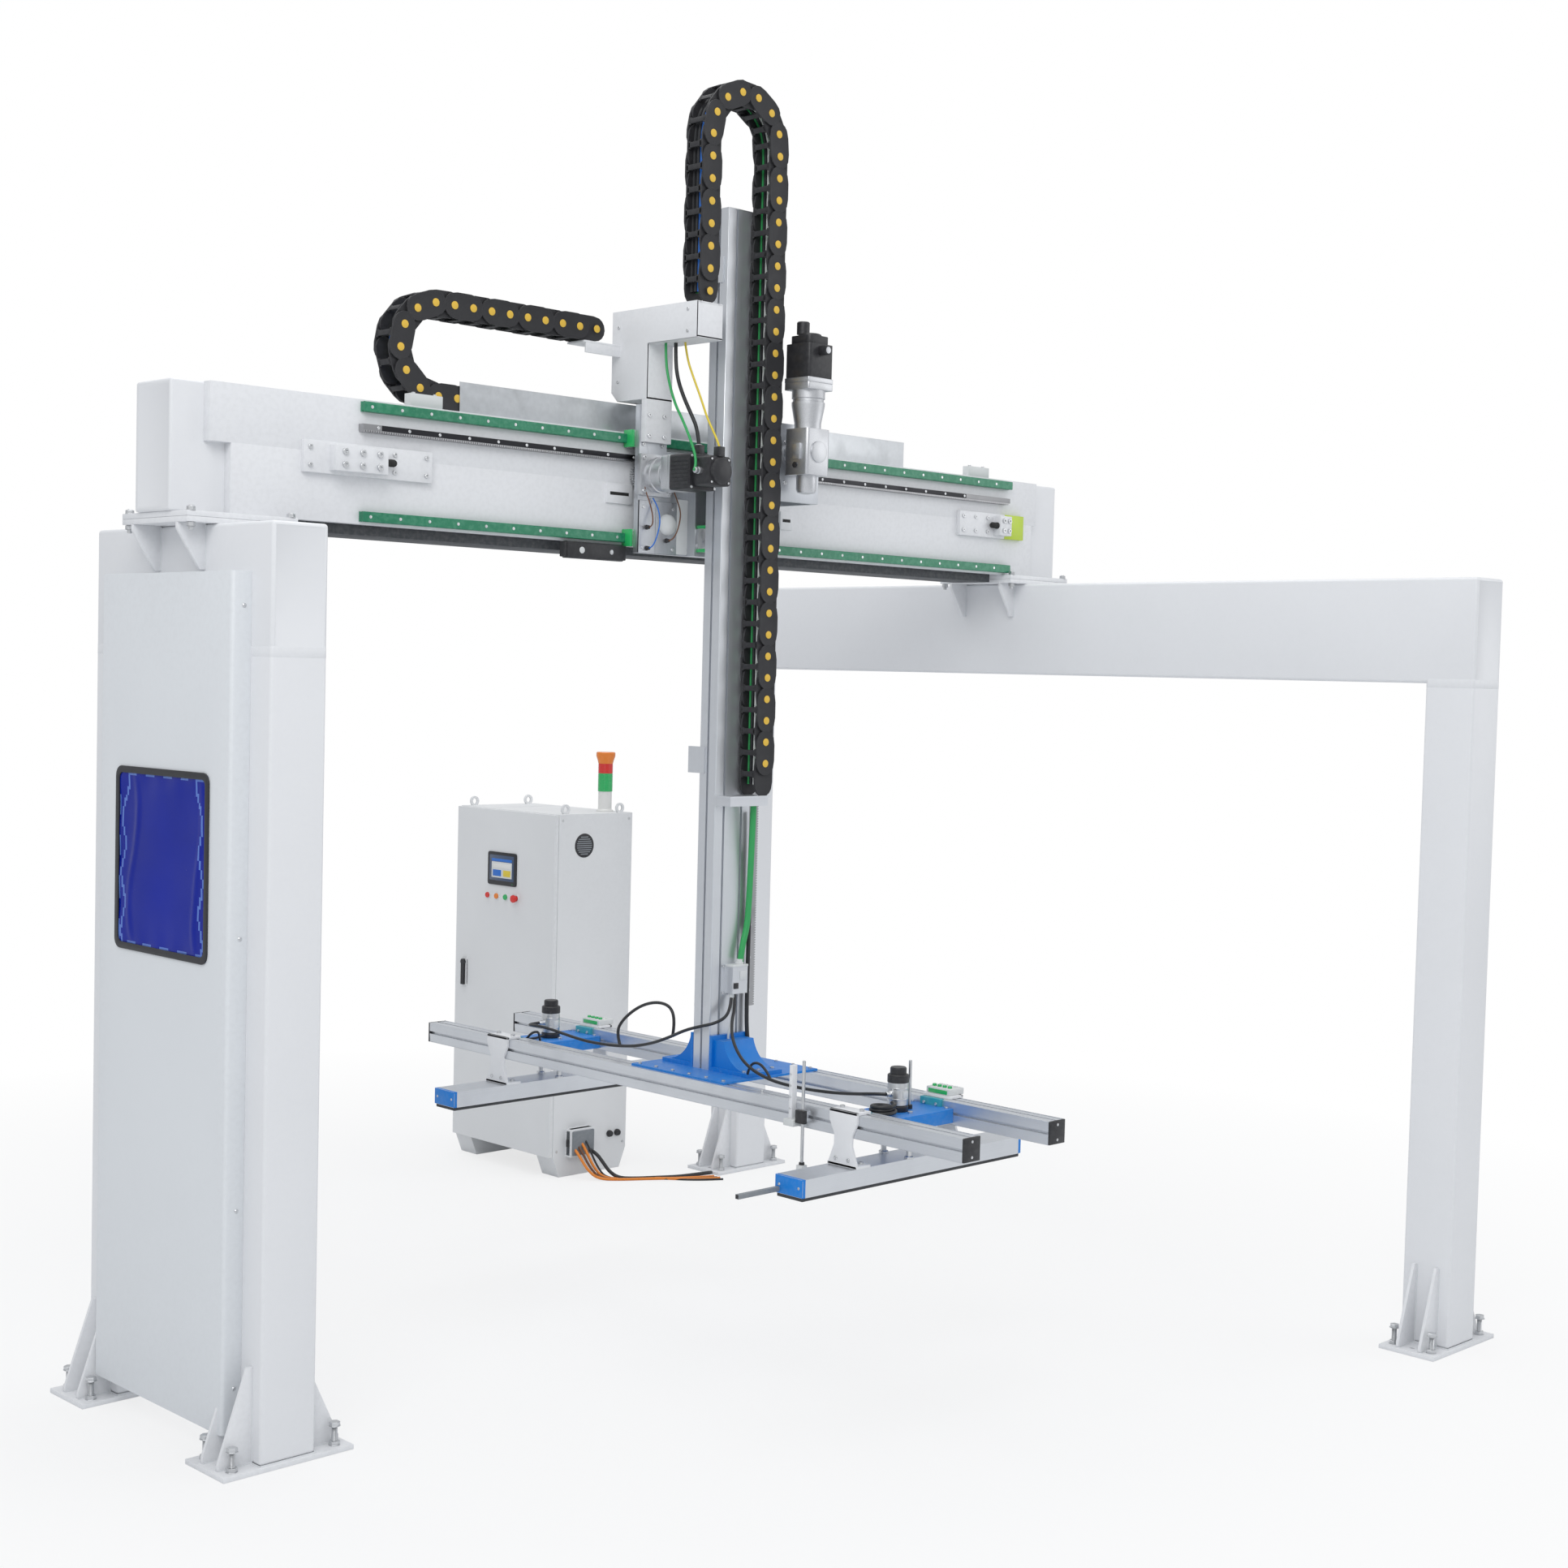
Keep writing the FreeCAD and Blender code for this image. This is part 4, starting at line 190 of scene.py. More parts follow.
def close_edit() -> None:
    """Point every face outwards and leave edit mode."""
    bpy.ops.mesh.select_all(action="SELECT")
    bpy.ops.mesh.normals_make_consistent(inside=False)
    bpy.ops.object.mode_set(mode="OBJECT")


def turned(base: Place, axis: Axis, profile: Sequence[Flat], sides: int = 36) -> Item:
    """A piece turned on a lathe: a disc extruded and resized from ring to ring.

    Args:
        base: Where the axis starts, in millimetres.
        axis: The direction of the axis.
        profile: Radius and distance along the axis of each ring, in millimetres.
        sides: How many sides the rings have.

    Returns:
        The new piece.
    """
    clear()
    radius, level = profile[0]
    start = (0, 0, level * MM)
    bpy.ops.mesh.primitive_circle_add(vertices=sides, radius=radius * MM, fill_type="NGON", location=start)
    item = apply_place(bpy.context.object)
    edit(item)
    for next_radius, next_level in profile[1:]:
        rise = (next_level - level) * MM
        bpy.ops.mesh.extrude_region_move(TRANSFORM_OT_translate={"value": (0, 0, rise)})
        grow = next_radius / radius
        if abs(grow - 1) > 1e-6:
            bpy.ops.transform.resize(value=(grow, grow, 1), center_override=(0, 0, next_level * MM))
        radius, level = next_radius, next_level
    close_edit()
    return stand(item, base, axis)


def hexagon(base: Place, axis: Axis, across: float, high: float) -> Item:
    """A hexagon nut or head with turned-off corners, on a washer.

    Args:
        base: The middle of its underside.
        axis: The direction it stands along.
        across: The width across its flats.
        high: Its height.

    Returns:
        The nut or head.
    """
    outer = across / math.cos(math.radians(30)) / 2
    head = turned(base, axis, [(outer - 1.2, 0), (outer, 1.0), (outer, high - 1.2), (outer - 1.6, high)], 6)
    washer = turned(base, axis, [(across * 0.62, 0), (across * 0.62, 1.6), (across * 0.58, 2.0)], 24)
    return fuse("nut", [head, washer])


def cut_sheet(outline: Sequence[Flat], axis: Axis, level: float, thick: float, edge: float = 0.0) -> Item:
    """A plate cut to an outline: a disc whose corners are moved to the outline's, then extruded.

    Args:
        outline: Corner places in millimetres: (y, z) on X, (x, z) on Y and (x, y) on Z.
        axis: The direction of the plate's thickness.
        level: Where the plate starts on that axis.
        thick: How thick the plate is.
        edge: The rounding of its edges in millimetres.

    Returns:
        The new plate.
    """
    clear()
    bpy.ops.mesh.primitive_circle_add(vertices=len(outline), fill_type="NGON", location=(0, 0, 0))
    item = bpy.context.object
    places = {
        Axis.X: lambda a, b: metres(level, a, b),
        Axis.Y: lambda a, b: metres(a, level, b),
        Axis.Z: lambda a, b: metres(a, b, level),
    }
    shift = {Axis.X: (thick * MM, 0, 0), Axis.Y: (0, thick * MM, 0), Axis.Z: (0, 0, thick * MM)}
    for vertex, corner in zip(item.data.vertices, outline):
        vertex.co = places[axis](*corner)
    edit(item)
    bpy.ops.mesh.extrude_region_move(TRANSFORM_OT_translate={"value": shift[axis]})
    close_edit()
    if edge:
        soften(item, edge)
    return item


def rounded(low: Flat, high: Flat, radius: float, steps: int = 5) -> list[Flat]:
    """The corner places of a rectangle with rounded corners.

    Args:
        low: The rectangle's lowest corner.
        high: The opposite corner.
        radius: The corners' radius.
        steps: How many edges make one corner.

    Returns:
        The outline's corners.
    """
    centres = (
        (high[0] - radius, high[1] - radius, 0),
        (low[0] + radius, high[1] - radius, 90),
        (low[0] + radius, low[1] + radius, 180),
        (high[0] - radius, low[1] + radius, 270),
    )
    outline = []
    for across, up, start in centres:
        for step in range(steps + 1):
            angle = math.radians(start + 90 * step / steps)
            outline.append((across + radius * math.cos(angle), up + radius * math.sin(angle)))
    return outline


def carve(item: Item, *cutters: Item) -> Item:
    """Cut the shapes of other objects out of a piece, and remove them.

    Args:
        item: The piece.
        cutters: The objects that are cut out of it.

    Returns:
        The same piece.
    """
    for cutter in cutters:
        only(item)
        hole = item.modifiers.new("hole", "BOOLEAN")
        hole.operation = "DIFFERENCE"
        hole.solver = "EXACT"
        hole.object = cutter
        bpy.ops.object.modifier_apply(modifier="hole")
        bpy.data.objects.remove(cutter)
    return item


def press(item: Item, chosen: Callable[[Vector], bool], inset: float, deep: float) -> None:
    """Inset the chosen faces and push them in, or out where deep is negative.

    Args:
        item: The piece.
        chosen: Says of a face's normal if the face is pressed.
        inset: The rim's width in millimetres.
        deep: How far the face goes in, in millimetres.
    """
    only(item)
    for group in (item.data.vertices, item.data.edges, item.data.polygons):
        group.foreach_set("select", [False] * len(group))
    for face in item.data.polygons:
        face.select = chosen(face.normal)
    bpy.ops.object.mode_set(mode="EDIT")
    bpy.ops.mesh.select_mode(type="FACE")
    bpy.ops.mesh.inset(thickness=inset * MM, depth=-deep * MM)
    bpy.ops.object.mode_set(mode="OBJECT")


def fuse(name: str, items: Iterable[Item]) -> Item:
    """Join objects into one, under a new name.

    Args:
        name: The joined object's name.
        items: The objects.

    Returns:
        The joined object.
    """
    items = list(items)
    clear()
    for item in items:
        item.select_set(True)
    bpy.context.view_layer.objects.active = items[0]
    if len(items) > 1:
        bpy.ops.object.join()
    items[0].name = name
    return items[0]


def copy_of(item: Item, move: Matrix) -> Item:
    """A copy of a piece with its own mesh, moved by a matrix in metres.

    Args:
        item: The piece.
        move: The matrix.

    Returns:
        The copy.
    """
    twin = item.copy()
    twin.data = item.data.copy()
    bpy.context.collection.objects.link(twin)
    twin.data.transform(move)
    return twin


def shifted(item: Item, x: float = 0.0, y: float = 0.0, z: float = 0.0) -> Item:
    """A copy of a piece, moved by millimetres."""
    return copy_of(item, Matrix.Translation((x * MM, y * MM, z * MM)))


def row(item: Item, count: int, x: float = 0.0, y: float = 0.0, z: float = 0.0) -> Item:
    """Repeat a piece at a step in millimetres with an Array modifier, applied.

    Args:
        item: The piece.
        count: How many there are in all.
        x: The step along X.
        y: The step along Y.
        z: The step along Z.

    Returns:
        The piece with its repeats.
    """
    only(item)
    array = item.modifiers.new("row", "ARRAY")
    array.count = count
    array.use_relative_offset = False
    array.use_constant_offset = True
    array.constant_offset_displace = (x * MM, y * MM, z * MM)
    bpy.ops.object.modifier_apply(modifier="row")
    return item


def smooth(item: Item, angle: float = 35.0) -> Item:
    """Shade a piece smooth up to an angle between faces.

    Args:
        item: The piece.
        angle: The largest angle that is shaded smooth, in degrees.

    Returns:
        The same piece.
    """
    only(item)
    bpy.ops.object.shade_smooth_by_angle(angle=math.radians(angle))
    return item


def local(item: Item, x: float = 0.0, y: float = 0.0, z: float = 0.0) -> Item:
    """Take a piece modelled at (0, 0, 0) mm to the model's origin, and then on by millimetres.

    Args:
        item: The piece.
        x: The way along X.
        y: The way along Y.
        z: The way along Z.

    Returns:
        The same piece.
    """
    item.data.transform(Matrix.Translation(-metres(0, 0, 0)))
    item.data.transform(Matrix.Translation((x * MM, y * MM, z * MM)))
    return item


def camel(name: str) -> str:
    """A node's name as a piece's name."""
    return "".join(word.capitalize() for word in name.split("_"))


# Finishes


class Board:
    """A node tree that is being wired."""

    def __init__(self, tree: bpy.types.NodeTree) -> None:
        """Keep the tree."""
        self.tree = tree

    def add(self, kind: str, **settings: object) -> bpy.types.Node:
        """Add a node of one kind and set its own values.

        Args:
            kind: The node's type name without its ShaderNode prefix.
            **settings: Attributes of the node.

        Returns:
            The node.
        """
        node = self.tree.nodes.new("ShaderNode" + kind)
        for key, value in settings.items():
            setattr(node, key, value)
        return node

    def link(self, source: Socket, target: Socket) -> None:
        """Join an output to an input."""
        self.tree.links.new(source, target)

    def noise(self, scale: object, detail: float, vector: Socket) -> Socket:
        """A noise pattern's value, at a number or a linked scale.

        Args:
            scale: The pattern's scale.
            detail: Its number of octaves.
            vector: The coordinates.

        Returns:
            The pattern's value.
        """
        texture = self.add("TexNoise")
        texture.inputs["Detail"].default_value = detail
        self.link(vector, texture.inputs["Vector"])
        if isinstance(scale, Socket):
            self.link(scale, texture.inputs["Scale"])
        else:
            texture.inputs["Scale"].default_value = scale
        return texture.outputs["Fac"]

    def math(self, operation: str, first: object, second: object = 0.0, clamp: bool = False) -> Socket:
        """One sum of two numbers or sockets.

        Args:
            operation: What the Math node does.
            first: The first number or socket.
            second: The second one.
            clamp: If the result stays between 0 and 1.

        Returns:
            The result.
        """
        node = self.add("Math", operation=operation, use_clamp=clamp)
        for socket, value in zip(node.inputs, (first, second)):
            if isinstance(value, Socket):
                self.link(value, socket)
            else:
                socket.default_value = value
        return node.outputs[0]

    def ramp(self, value: Socket, start: float, slope: float) -> Socket:
        """How far a value is past a start, times a slope, held between 0 and 1."""
        return self.math("MULTIPLY", self.math("SUBTRACT", value, start), slope, clamp=True)

    def blend(self, share: Socket, first: object, second: object) -> Socket:
        """Mix two colours, given as sockets or as tuples, by a share.

        Args:
            share: How much of the second colour shows.
            first: The first colour.
            second: The second colour.

        Returns:
            The mixed colour.
        """
        node = self.add("Mix", data_type="RGBA")
        self.link(share, node.inputs["Factor"])
        for socket, value in zip((node.inputs[6], node.inputs[7]), (first, second)):
            if isinstance(value, Socket):
                self.link(value, socket)
            else:
                socket.default_value = (*value, 1.0)
        return node.outputs[2]


def new_group(name: str, inputs: dict[str, object], outputs: dict[str, str]) -> tuple[Board, object, object]:
    """Start a shader node group.

    Args:
        name: The group's name.
        inputs: Each input's name and default: a number or a colour.
        outputs: Each output's name and socket type.

    Returns:
        The board, the group's input node and its output node.
    """
    tree = bpy.data.node_groups.new(name, "ShaderNodeTree")
    for label, value in inputs.items():
        kind = "NodeSocketFloat" if isinstance(value, float) else "NodeSocketColor"
        socket = tree.interface.new_socket(name=label, in_out="INPUT", socket_type=kind)
        socket.default_value = value if isinstance(value, float) else (*value, 1.0)
    for label, kind in outputs.items():
        tree.interface.new_socket(name=label, in_out="OUTPUT", socket_type=kind)
    return Board(tree), tree.nodes.new("NodeGroupInput"), tree.nodes.new("NodeGroupOutput")


def coated_group() -> bpy.types.NodeTree:
    """Coated surface: colour drift, settled dust, worn edges, uneven gloss and a fine grain.

    Returns:
        The node group.
    """
    if "CoatedSurface" in bpy.data.node_groups:
        return bpy.data.node_groups["CoatedSurface"]
    board, start, end = new_group(
        "CoatedSurface",
        {
            "Colour": (0.8, 0.8, 0.8),
            "Worn Colour": (0.6, 0.6, 0.6),
            "Drift": 0.04,
            "Dust": 0.1,
            "Wear": 0.3,
            "Roughness": 0.45,
            "Grain Scale": 900.0,
            "Grain": 0.1,
        },
        {"Colour": "NodeSocketColor", "Roughness": "NodeSocketFloat", "Normal": "NodeSocketVector"},
    )
    place = board.add("TexCoord").outputs["Object"]
    surface = board.add("NewGeometry")
    large = board.noise(3.0, 4.0, place)
    middle = board.noise(22.0, 3.0, place)
    drift = board.math("MULTIPLY", board.math("SUBTRACT", large, 0.5), start.outputs["Drift"])
    drift = board.math("ADD", board.math("MULTIPLY", drift, 4.0), 1.0)
    scaled = board.add("VectorMath", operation="SCALE")
    board.link(start.outputs["Colour"], scaled.inputs[0])
    board.link(drift, scaled.inputs["Scale"])
    parts = board.add("SeparateXYZ")
    board.link(surface.outputs["Normal"], parts.inputs[0])
    flat = board.ramp(parts.outputs["Z"], 0.6, 2.0)
    settled = board.math("MULTIPLY", board.math("MULTIPLY", flat, middle), start.outputs["Dust"], clamp=True)
    dusty = board.blend(settled, scaled.outputs[0], (0.52, 0.5, 0.46))
    sharp = board.ramp(surface.outputs["Pointiness"], 0.53, 9.0)
    patchy = board.ramp(board.noise(60.0, 5.0, place), 0.42, 4.0)
    worn = board.math("MULTIPLY", board.math("MULTIPLY", sharp, patchy), start.outputs["Wear"], clamp=True)
    board.link(board.blend(worn, dusty, start.outputs["Worn Colour"]), end.inputs["Colour"])
    spread = board.math("MULTIPLY", board.math("SUBTRACT", middle, 0.5), 0.25)
    spread = board.math("ADD", spread, board.math("MULTIPLY", settled, 0.5))
    board.link(board.math("ADD", start.outputs["Roughness"], spread, clamp=True), end.inputs["Roughness"])
    bump = board.add("Bump")
    bump.inputs["Distance"].default_value = 0.0006
    board.link(start.outputs["Grain"], bump.inputs["Strength"])
    board.link(board.noise(start.outputs["Grain Scale"], 2.0, place), bump.inputs["Height"])
    board.link(bump.outputs["Normal"], end.inputs["Normal"])
    return board.tree


def brushed_group() -> bpy.types.NodeTree:
    """Bare metal: fine lines along one direction, faint stains and uneven gloss.

    Returns:
        The node group.
    """
    if "BrushedMetal" in bpy.data.node_groups:
        return bpy.data.node_groups["BrushedMetal"]
    board, start, end = new_group(
        "BrushedMetal",
        {
            "Colour": (0.8, 0.8, 0.8),
            "Along X": 600.0,
            "Along Y": 600.0,
            "Along Z": 600.0,
            "Roughness": 0.35,
            "Lines": 0.15,
            "Stain": 0.1,
        },
        {"Colour": "NodeSocketColor", "Roughness": "NodeSocketFloat", "Normal": "NodeSocketVector"},
    )
    place = board.add("TexCoord").outputs["Object"]
    stretch = board.add("CombineXYZ")
    for label in ("X", "Y", "Z"):
        board.link(start.outputs["Along " + label], stretch.inputs[label])
    scaled = board.add("VectorMath", operation="MULTIPLY")
    board.link(place, scaled.inputs[0])
    board.link(stretch.outputs[0], scaled.inputs[1])
    lines = board.noise(1.0, 3.0, scaled.outputs[0])
    stains = board.noise(9.0, 6.0, place)
    patch = board.ramp(stains, 0.5, 2.5)
    shade = board.math("SUBTRACT", 1.0, board.math("MULTIPLY", patch, start.outputs["Stain"]))
    line_shade = board.math("MULTIPLY", board.math("SUBTRACT", lines, 0.5), start.outputs["Lines"])
    tone = board.add("VectorMath", operation="SCALE")
    board.link(start.outputs["Colour"], tone.inputs[0])
    board.link(board.math("ADD", shade, line_shade), tone.inputs["Scale"])
    board.link(tone.outputs[0], end.inputs["Colour"])
    gloss = board.math("ADD", board.math("MULTIPLY", patch, 0.15), board.math("MULTIPLY", line_shade, 0.8))
    board.link(board.math("ADD", start.outputs["Roughness"], gloss, clamp=True), end.inputs["Roughness"])
    bump = board.add("Bump")
    bump.inputs["Distance"].default_value = 0.0002
    board.link(start.outputs["Lines"], bump.inputs["Strength"])
    board.link(lines, bump.inputs["Height"])
    board.link(bump.outputs["Normal"], end.inputs["Normal"])
    return board.tree


def surface(
    name: str, colour: Colour, group: bpy.types.NodeTree, values: dict[str, object]
) -> bpy.types.Material:
    """Start a material whose shader takes its colour, roughness and normal from a group.

    Args:
        name: The material's name.
        colour: Its colour, which the group takes too.
        group: The node group.
        values: The numbers and colours of the group's other inputs.

    Returns:
        The material.
    """
    made = bpy.data.materials.new(name)
    made.use_nodes = True
    made.diffuse_color = (*colour, 1.0)
    board = Board(made.node_tree)
    shader = made.node_tree.nodes["Principled BSDF"]
    effect = board.add("Group", node_tree=group)
    for label, value in {"Colour": colour, **values}.items():
        effect.inputs[label].default_value = value if isinstance(value, float) else (*value, 1.0)
    for label, target in (("Colour", "Base Color"), ("Roughness", "Roughness"), ("Normal", "Normal")):
        board.link(effect.outputs[label], shader.inputs[target])
    return made


class Sheen(Enum):
    """How glossy a coated surface is, as its mean roughness."""

    GLOSS = 0.22
    SATIN = 0.4
    MATT = 0.62
    DRY = 0.85


@dataclass(frozen=True)
class Coated:
    """Paint, powder coat, moulded plastic or rubber."""

    name: str
    colour: Colour
    sheen: Sheen = Sheen.SATIN
    worn: Colour = (0.45, 0.45, 0.46)
    drift: float = 0.04
    dust: float = 0.12
    wear: float = 0.25
    grain_scale: float = 900.0
    grain: float = 0.12
    coat: float = 0.0
    gloss: float = 0.5

    def material(self) -> bpy.types.Material:
        """The finish's material, made once."""
        if self.name in bpy.data.materials:
            return bpy.data.materials[self.name]
        values = {
            "Worn Colour": self.worn,
            "Drift": self.drift,
            "Dust": self.dust,
            "Wear": self.wear,
            "Roughness": self.sheen.value,
            "Grain Scale": self.grain_scale,
            "Grain": self.grain,
        }
        made = surface(self.name, self.colour, coated_group(), values)
        shader = made.node_tree.nodes["Principled BSDF"]
        shader.inputs["Coat Weight"].default_value = self.coat
        shader.inputs["Specular IOR Level"].default_value = self.gloss
        return made


@dataclass(frozen=True)
class Metal:
    """Bare or anodised metal, with its lines along the axis of a low scale."""

    name: str
    colour: Colour
    along: Place = (600.0, 600.0, 600.0)
    rough: float = 0.35
    lines: float = 0.12
    stain: float = 0.12
    metallic: float = 1.0

    def material(self) -> bpy.types.Material:
        """The finish's material, made once."""
        if self.name in bpy.data.materials:
            return bpy.data.materials[self.name]
        values = dict(zip(("Along X", "Along Y", "Along Z"), self.along))
        values |= {"Roughness": self.rough, "Lines": self.lines, "Stain": self.stain}
        made = surface(self.name, self.colour, brushed_group(), values)
        made.node_tree.nodes["Principled BSDF"].inputs["Metallic"].default_value = self.metallic
        return made


Finish = Coated | Metal

WHITE = Coated("WhitePaint", (0.8, 0.81, 0.83), drift=0.012, dust=0.05, grain_scale=420.0, grain=0.16)
BEAM_WHITE = Coated("BeamPaint", (0.79, 0.8, 0.82), drift=0.012, dust=0.05, grain_scale=420.0, grain=0.14)
WELD = Coated("PaintedWeld", (0.7, 0.72, 0.74), grain_scale=160.0, grain=0.5)
COVER = Coated("CoverSheet", (0.76, 0.785, 0.81), drift=0.01, dust=0.05, grain_scale=700.0, grain=0.1)
CABINET = Coated("CabinetPaint", (0.77, 0.78, 0.79), Sheen.MATT, drift=0.02, grain_scale=520.0, grain=0.22)
PANE = Coated(
    "WindowFilm", (0.0, 0.012, 0.3), Sheen.GLOSS, drift=0.12, wear=0.0, dust=0.0, grain=0.02, gloss=0.22
)
# Paler blue: painted highlight on the film's arched folds, and the paler colour of its loose rim.
FILM_EDGE_AND_HIGHLIGHT = Coated("WindowFilmPale", (0.1, 0.2, 0.62), Sheen.GLOSS, wear=0.0, dust=0.0, grain=0.02, gloss=0.4)
GASKET = Coated("WindowGasket", (0.02, 0.02, 0.024), wear=0.1, grain=0.1)
BLUE = Coated("BluePaint", (0.0, 0.2, 0.66), worn=(0.3, 0.42, 0.6), drift=0.05, grain=0.14)
BLACK = Coated("BlackMetal", (0.022, 0.022, 0.025), worn=(0.2, 0.2, 0.2), grain=0.15)
PLASTIC = Coated(
    "ChainPlastic", (0.024, 0.024, 0.027), Sheen.MATT, worn=(0.12, 0.12, 0.12), grain_scale=700.0, grain=0.2
)
RUBBER = Coated(
    "Rubber", (0.02, 0.02, 0.02), Sheen.DRY, worn=(0.08, 0.08, 0.08), grain_scale=500.0, grain=0.25
)
PIN = Coated("ChainPin", (0.78, 0.5, 0.06), Sheen.MATT, wear=0.1)
GREY = Coated("SeamGrey", (0.24, 0.26, 0.28), Sheen.MATT, grain_scale=700.0)
# Painted shade: near-black for the block that stands for the shade under the beam.
UNDERSIDE_SHADE = Coated("KeelDark", (0.05, 0.055, 0.06), Sheen.MATT)
FILM = Coated(
    "RailFilm", (0.012, 0.2, 0.1), Sheen.GLOSS, worn=(0.2, 0.5, 0.35), drift=0.1, wear=0.2, grain=0.2
)
LIME = Coated("StopYellowGreen", (0.5, 0.66, 0.05))
CONNECTOR = Coated("ConnectorGrey", (0.2, 0.22, 0.24), Sheen.MATT, grain=0.25)
GREEN = Coated("GreenPlastic", (0.02, 0.45, 0.12), Sheen.GLOSS, coat=0.4, wear=0.05)
ORANGE = Coated("OrangePlastic", (0.85, 0.23, 0.02), Sheen.GLOSS, coat=0.4, wear=0.05)
RED = Coated("RedPlastic", (0.7, 0.02, 0.015), Sheen.GLOSS, coat=0.4, wear=0.05)
LAMP_WHITE = Coated("LampTube", (0.78, 0.78, 0.76), wear=0.05)
SCREEN = Coated("Screen", (0.02, 0.05, 0.12), Sheen.GLOSS, wear=0.0, dust=0.0, grain=0.01, coat=0.8)
FOAM = Coated(
    "SuctionFoam", (0.06, 0.062, 0.066), Sheen.DRY, worn=(0.12, 0.12, 0.12), grain_scale=260.0, grain=0.7
)
HOSE = Coated("HoseBlack", (0.02, 0.021, 0.024), worn=(0.1, 0.1, 0.1), grain_scale=600.0, grain=0.1)
TUBE_WHITE = Coated("HoseWhite", (0.72, 0.74, 0.72), Sheen.GLOSS, wear=0.05)
WIRE_GREEN = Coated("WireGreen", (0.03, 0.36, 0.1), wear=0.05)
WIRE_YELLOW = Coated("WireYellow", (0.75, 0.58, 0.05), wear=0.05)
WIRE_ORANGE = Coated("WireOrange", (0.8, 0.25, 0.03), wear=0.05)
WIRE_BLUE = Coated("WireBlue", (0.02, 0.16, 0.6), wear=0.05)
WIRE_BROWN = Coated("WireBrown", (0.16, 0.07, 0.035), wear=0.05)
TEAL = Coated("TealPlate", (0.02, 0.34, 0.42))
SHELL = Coated("DeviceShell", (0.68, 0.7, 0.7), wear=0.1)
ZINC = Metal("ZincBolt", (0.68, 0.69, 0.7), rough=0.32, stain=0.25)
STEEL = Metal("GroundSteel", (0.56, 0.57, 0.58), (8.0, 900.0, 900.0), 0.24, 0.14)
STEEL_UP = Metal("GroundSteelUpright", (0.56, 0.57, 0.58), (900.0, 900.0, 8.0), 0.24, 0.14)
RACK_BLACK = Metal("RackBlack", (0.05, 0.05, 0.055), (8.0, 900.0, 900.0), 0.38, 0.16)
RACK_STEEL = Metal("RackSteel", (0.42, 0.42, 0.43), rough=0.3, stain=0.3)
CAST = Metal("CastAluminium", (0.66, 0.67, 0.69), (260.0, 260.0, 260.0), 0.42, 0.35, 0.2)
PLATE = Metal("MilledPlate", (0.6, 0.62, 0.65), (500.0, 500.0, 40.0), 0.36, 0.12, 0.1, 0.9)
ANODISED_UP = Metal("AnodisedUpright", (0.74, 0.76, 0.79), (900.0, 900.0, 4.0), 0.34, 0.1, 0.06, 0.85)
ANODISED_ACROSS = Metal("AnodisedAcross", (0.74, 0.76, 0.79), (900.0, 4.0, 900.0), 0.34, 0.1, 0.06, 0.85)
ANODISED_ALONG = Metal("AnodisedAlong", (0.74, 0.76, 0.79), (4.0, 900.0, 900.0), 0.34, 0.1, 0.06, 0.85)
GALVANISED = Metal("GalvanisedSheet", (0.66, 0.68, 0.7), (40.0, 40.0, 40.0), 0.4, 0.25, 0.2, 0.9)


def dress(item: Item, finish: Finish) -> Item:
    """Give a piece one finish all over.

    Args:
        item: The piece.
        finish: Its finish.

    Returns:
        The same piece.
    """
    item.data.materials.clear()
    item.data.materials.append(finish.material())
    return item


def dress_node(name: str, finish: Finish) -> None:
    """Give a CAD node its finish and a softer shading.

    Args:
        name: The node's name.
        finish: Its finish.
    """
    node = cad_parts[name]
    node.data.materials.clear()
    node.data.materials.append(finish.material())
    weld = node.modifiers.new("weld", "WELD")
    weld.merge_threshold = 0.01 * MM
    edges = node.modifiers.new("edges", "BEVEL")
    edges.width = 1.2 * MM
    edges.segments = 2
    edges.limit_method = "ANGLE"
    edges.angle_limit = math.radians(50)


@dataclass
class Assembly:
    """Pieces that ride on one body."""

    body: str

    def piece(self, name: str, items: Iterable[Item], slot: str = "", angle: float = 35.0) -> Item:
        """Join items into one piece that rides on the body and stands for the CAD node of its name.

        Args:
            name: The node's name, or a name of that kind for a piece that adds to the nodes.
            items: Its dressed items.
            slot: Not used.
            angle: The angle up to which it is shaded smooth, in degrees.

        Returns:
            The piece, under the name with capitals.
        """
        made = smooth(fuse(camel(name), items), angle)
        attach(made, self.body)
        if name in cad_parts:
            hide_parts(name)
        LOG.info("%s: %d faces on %s", made.name, len(made.data.polygons), self.body)
        return made


# Camera and light


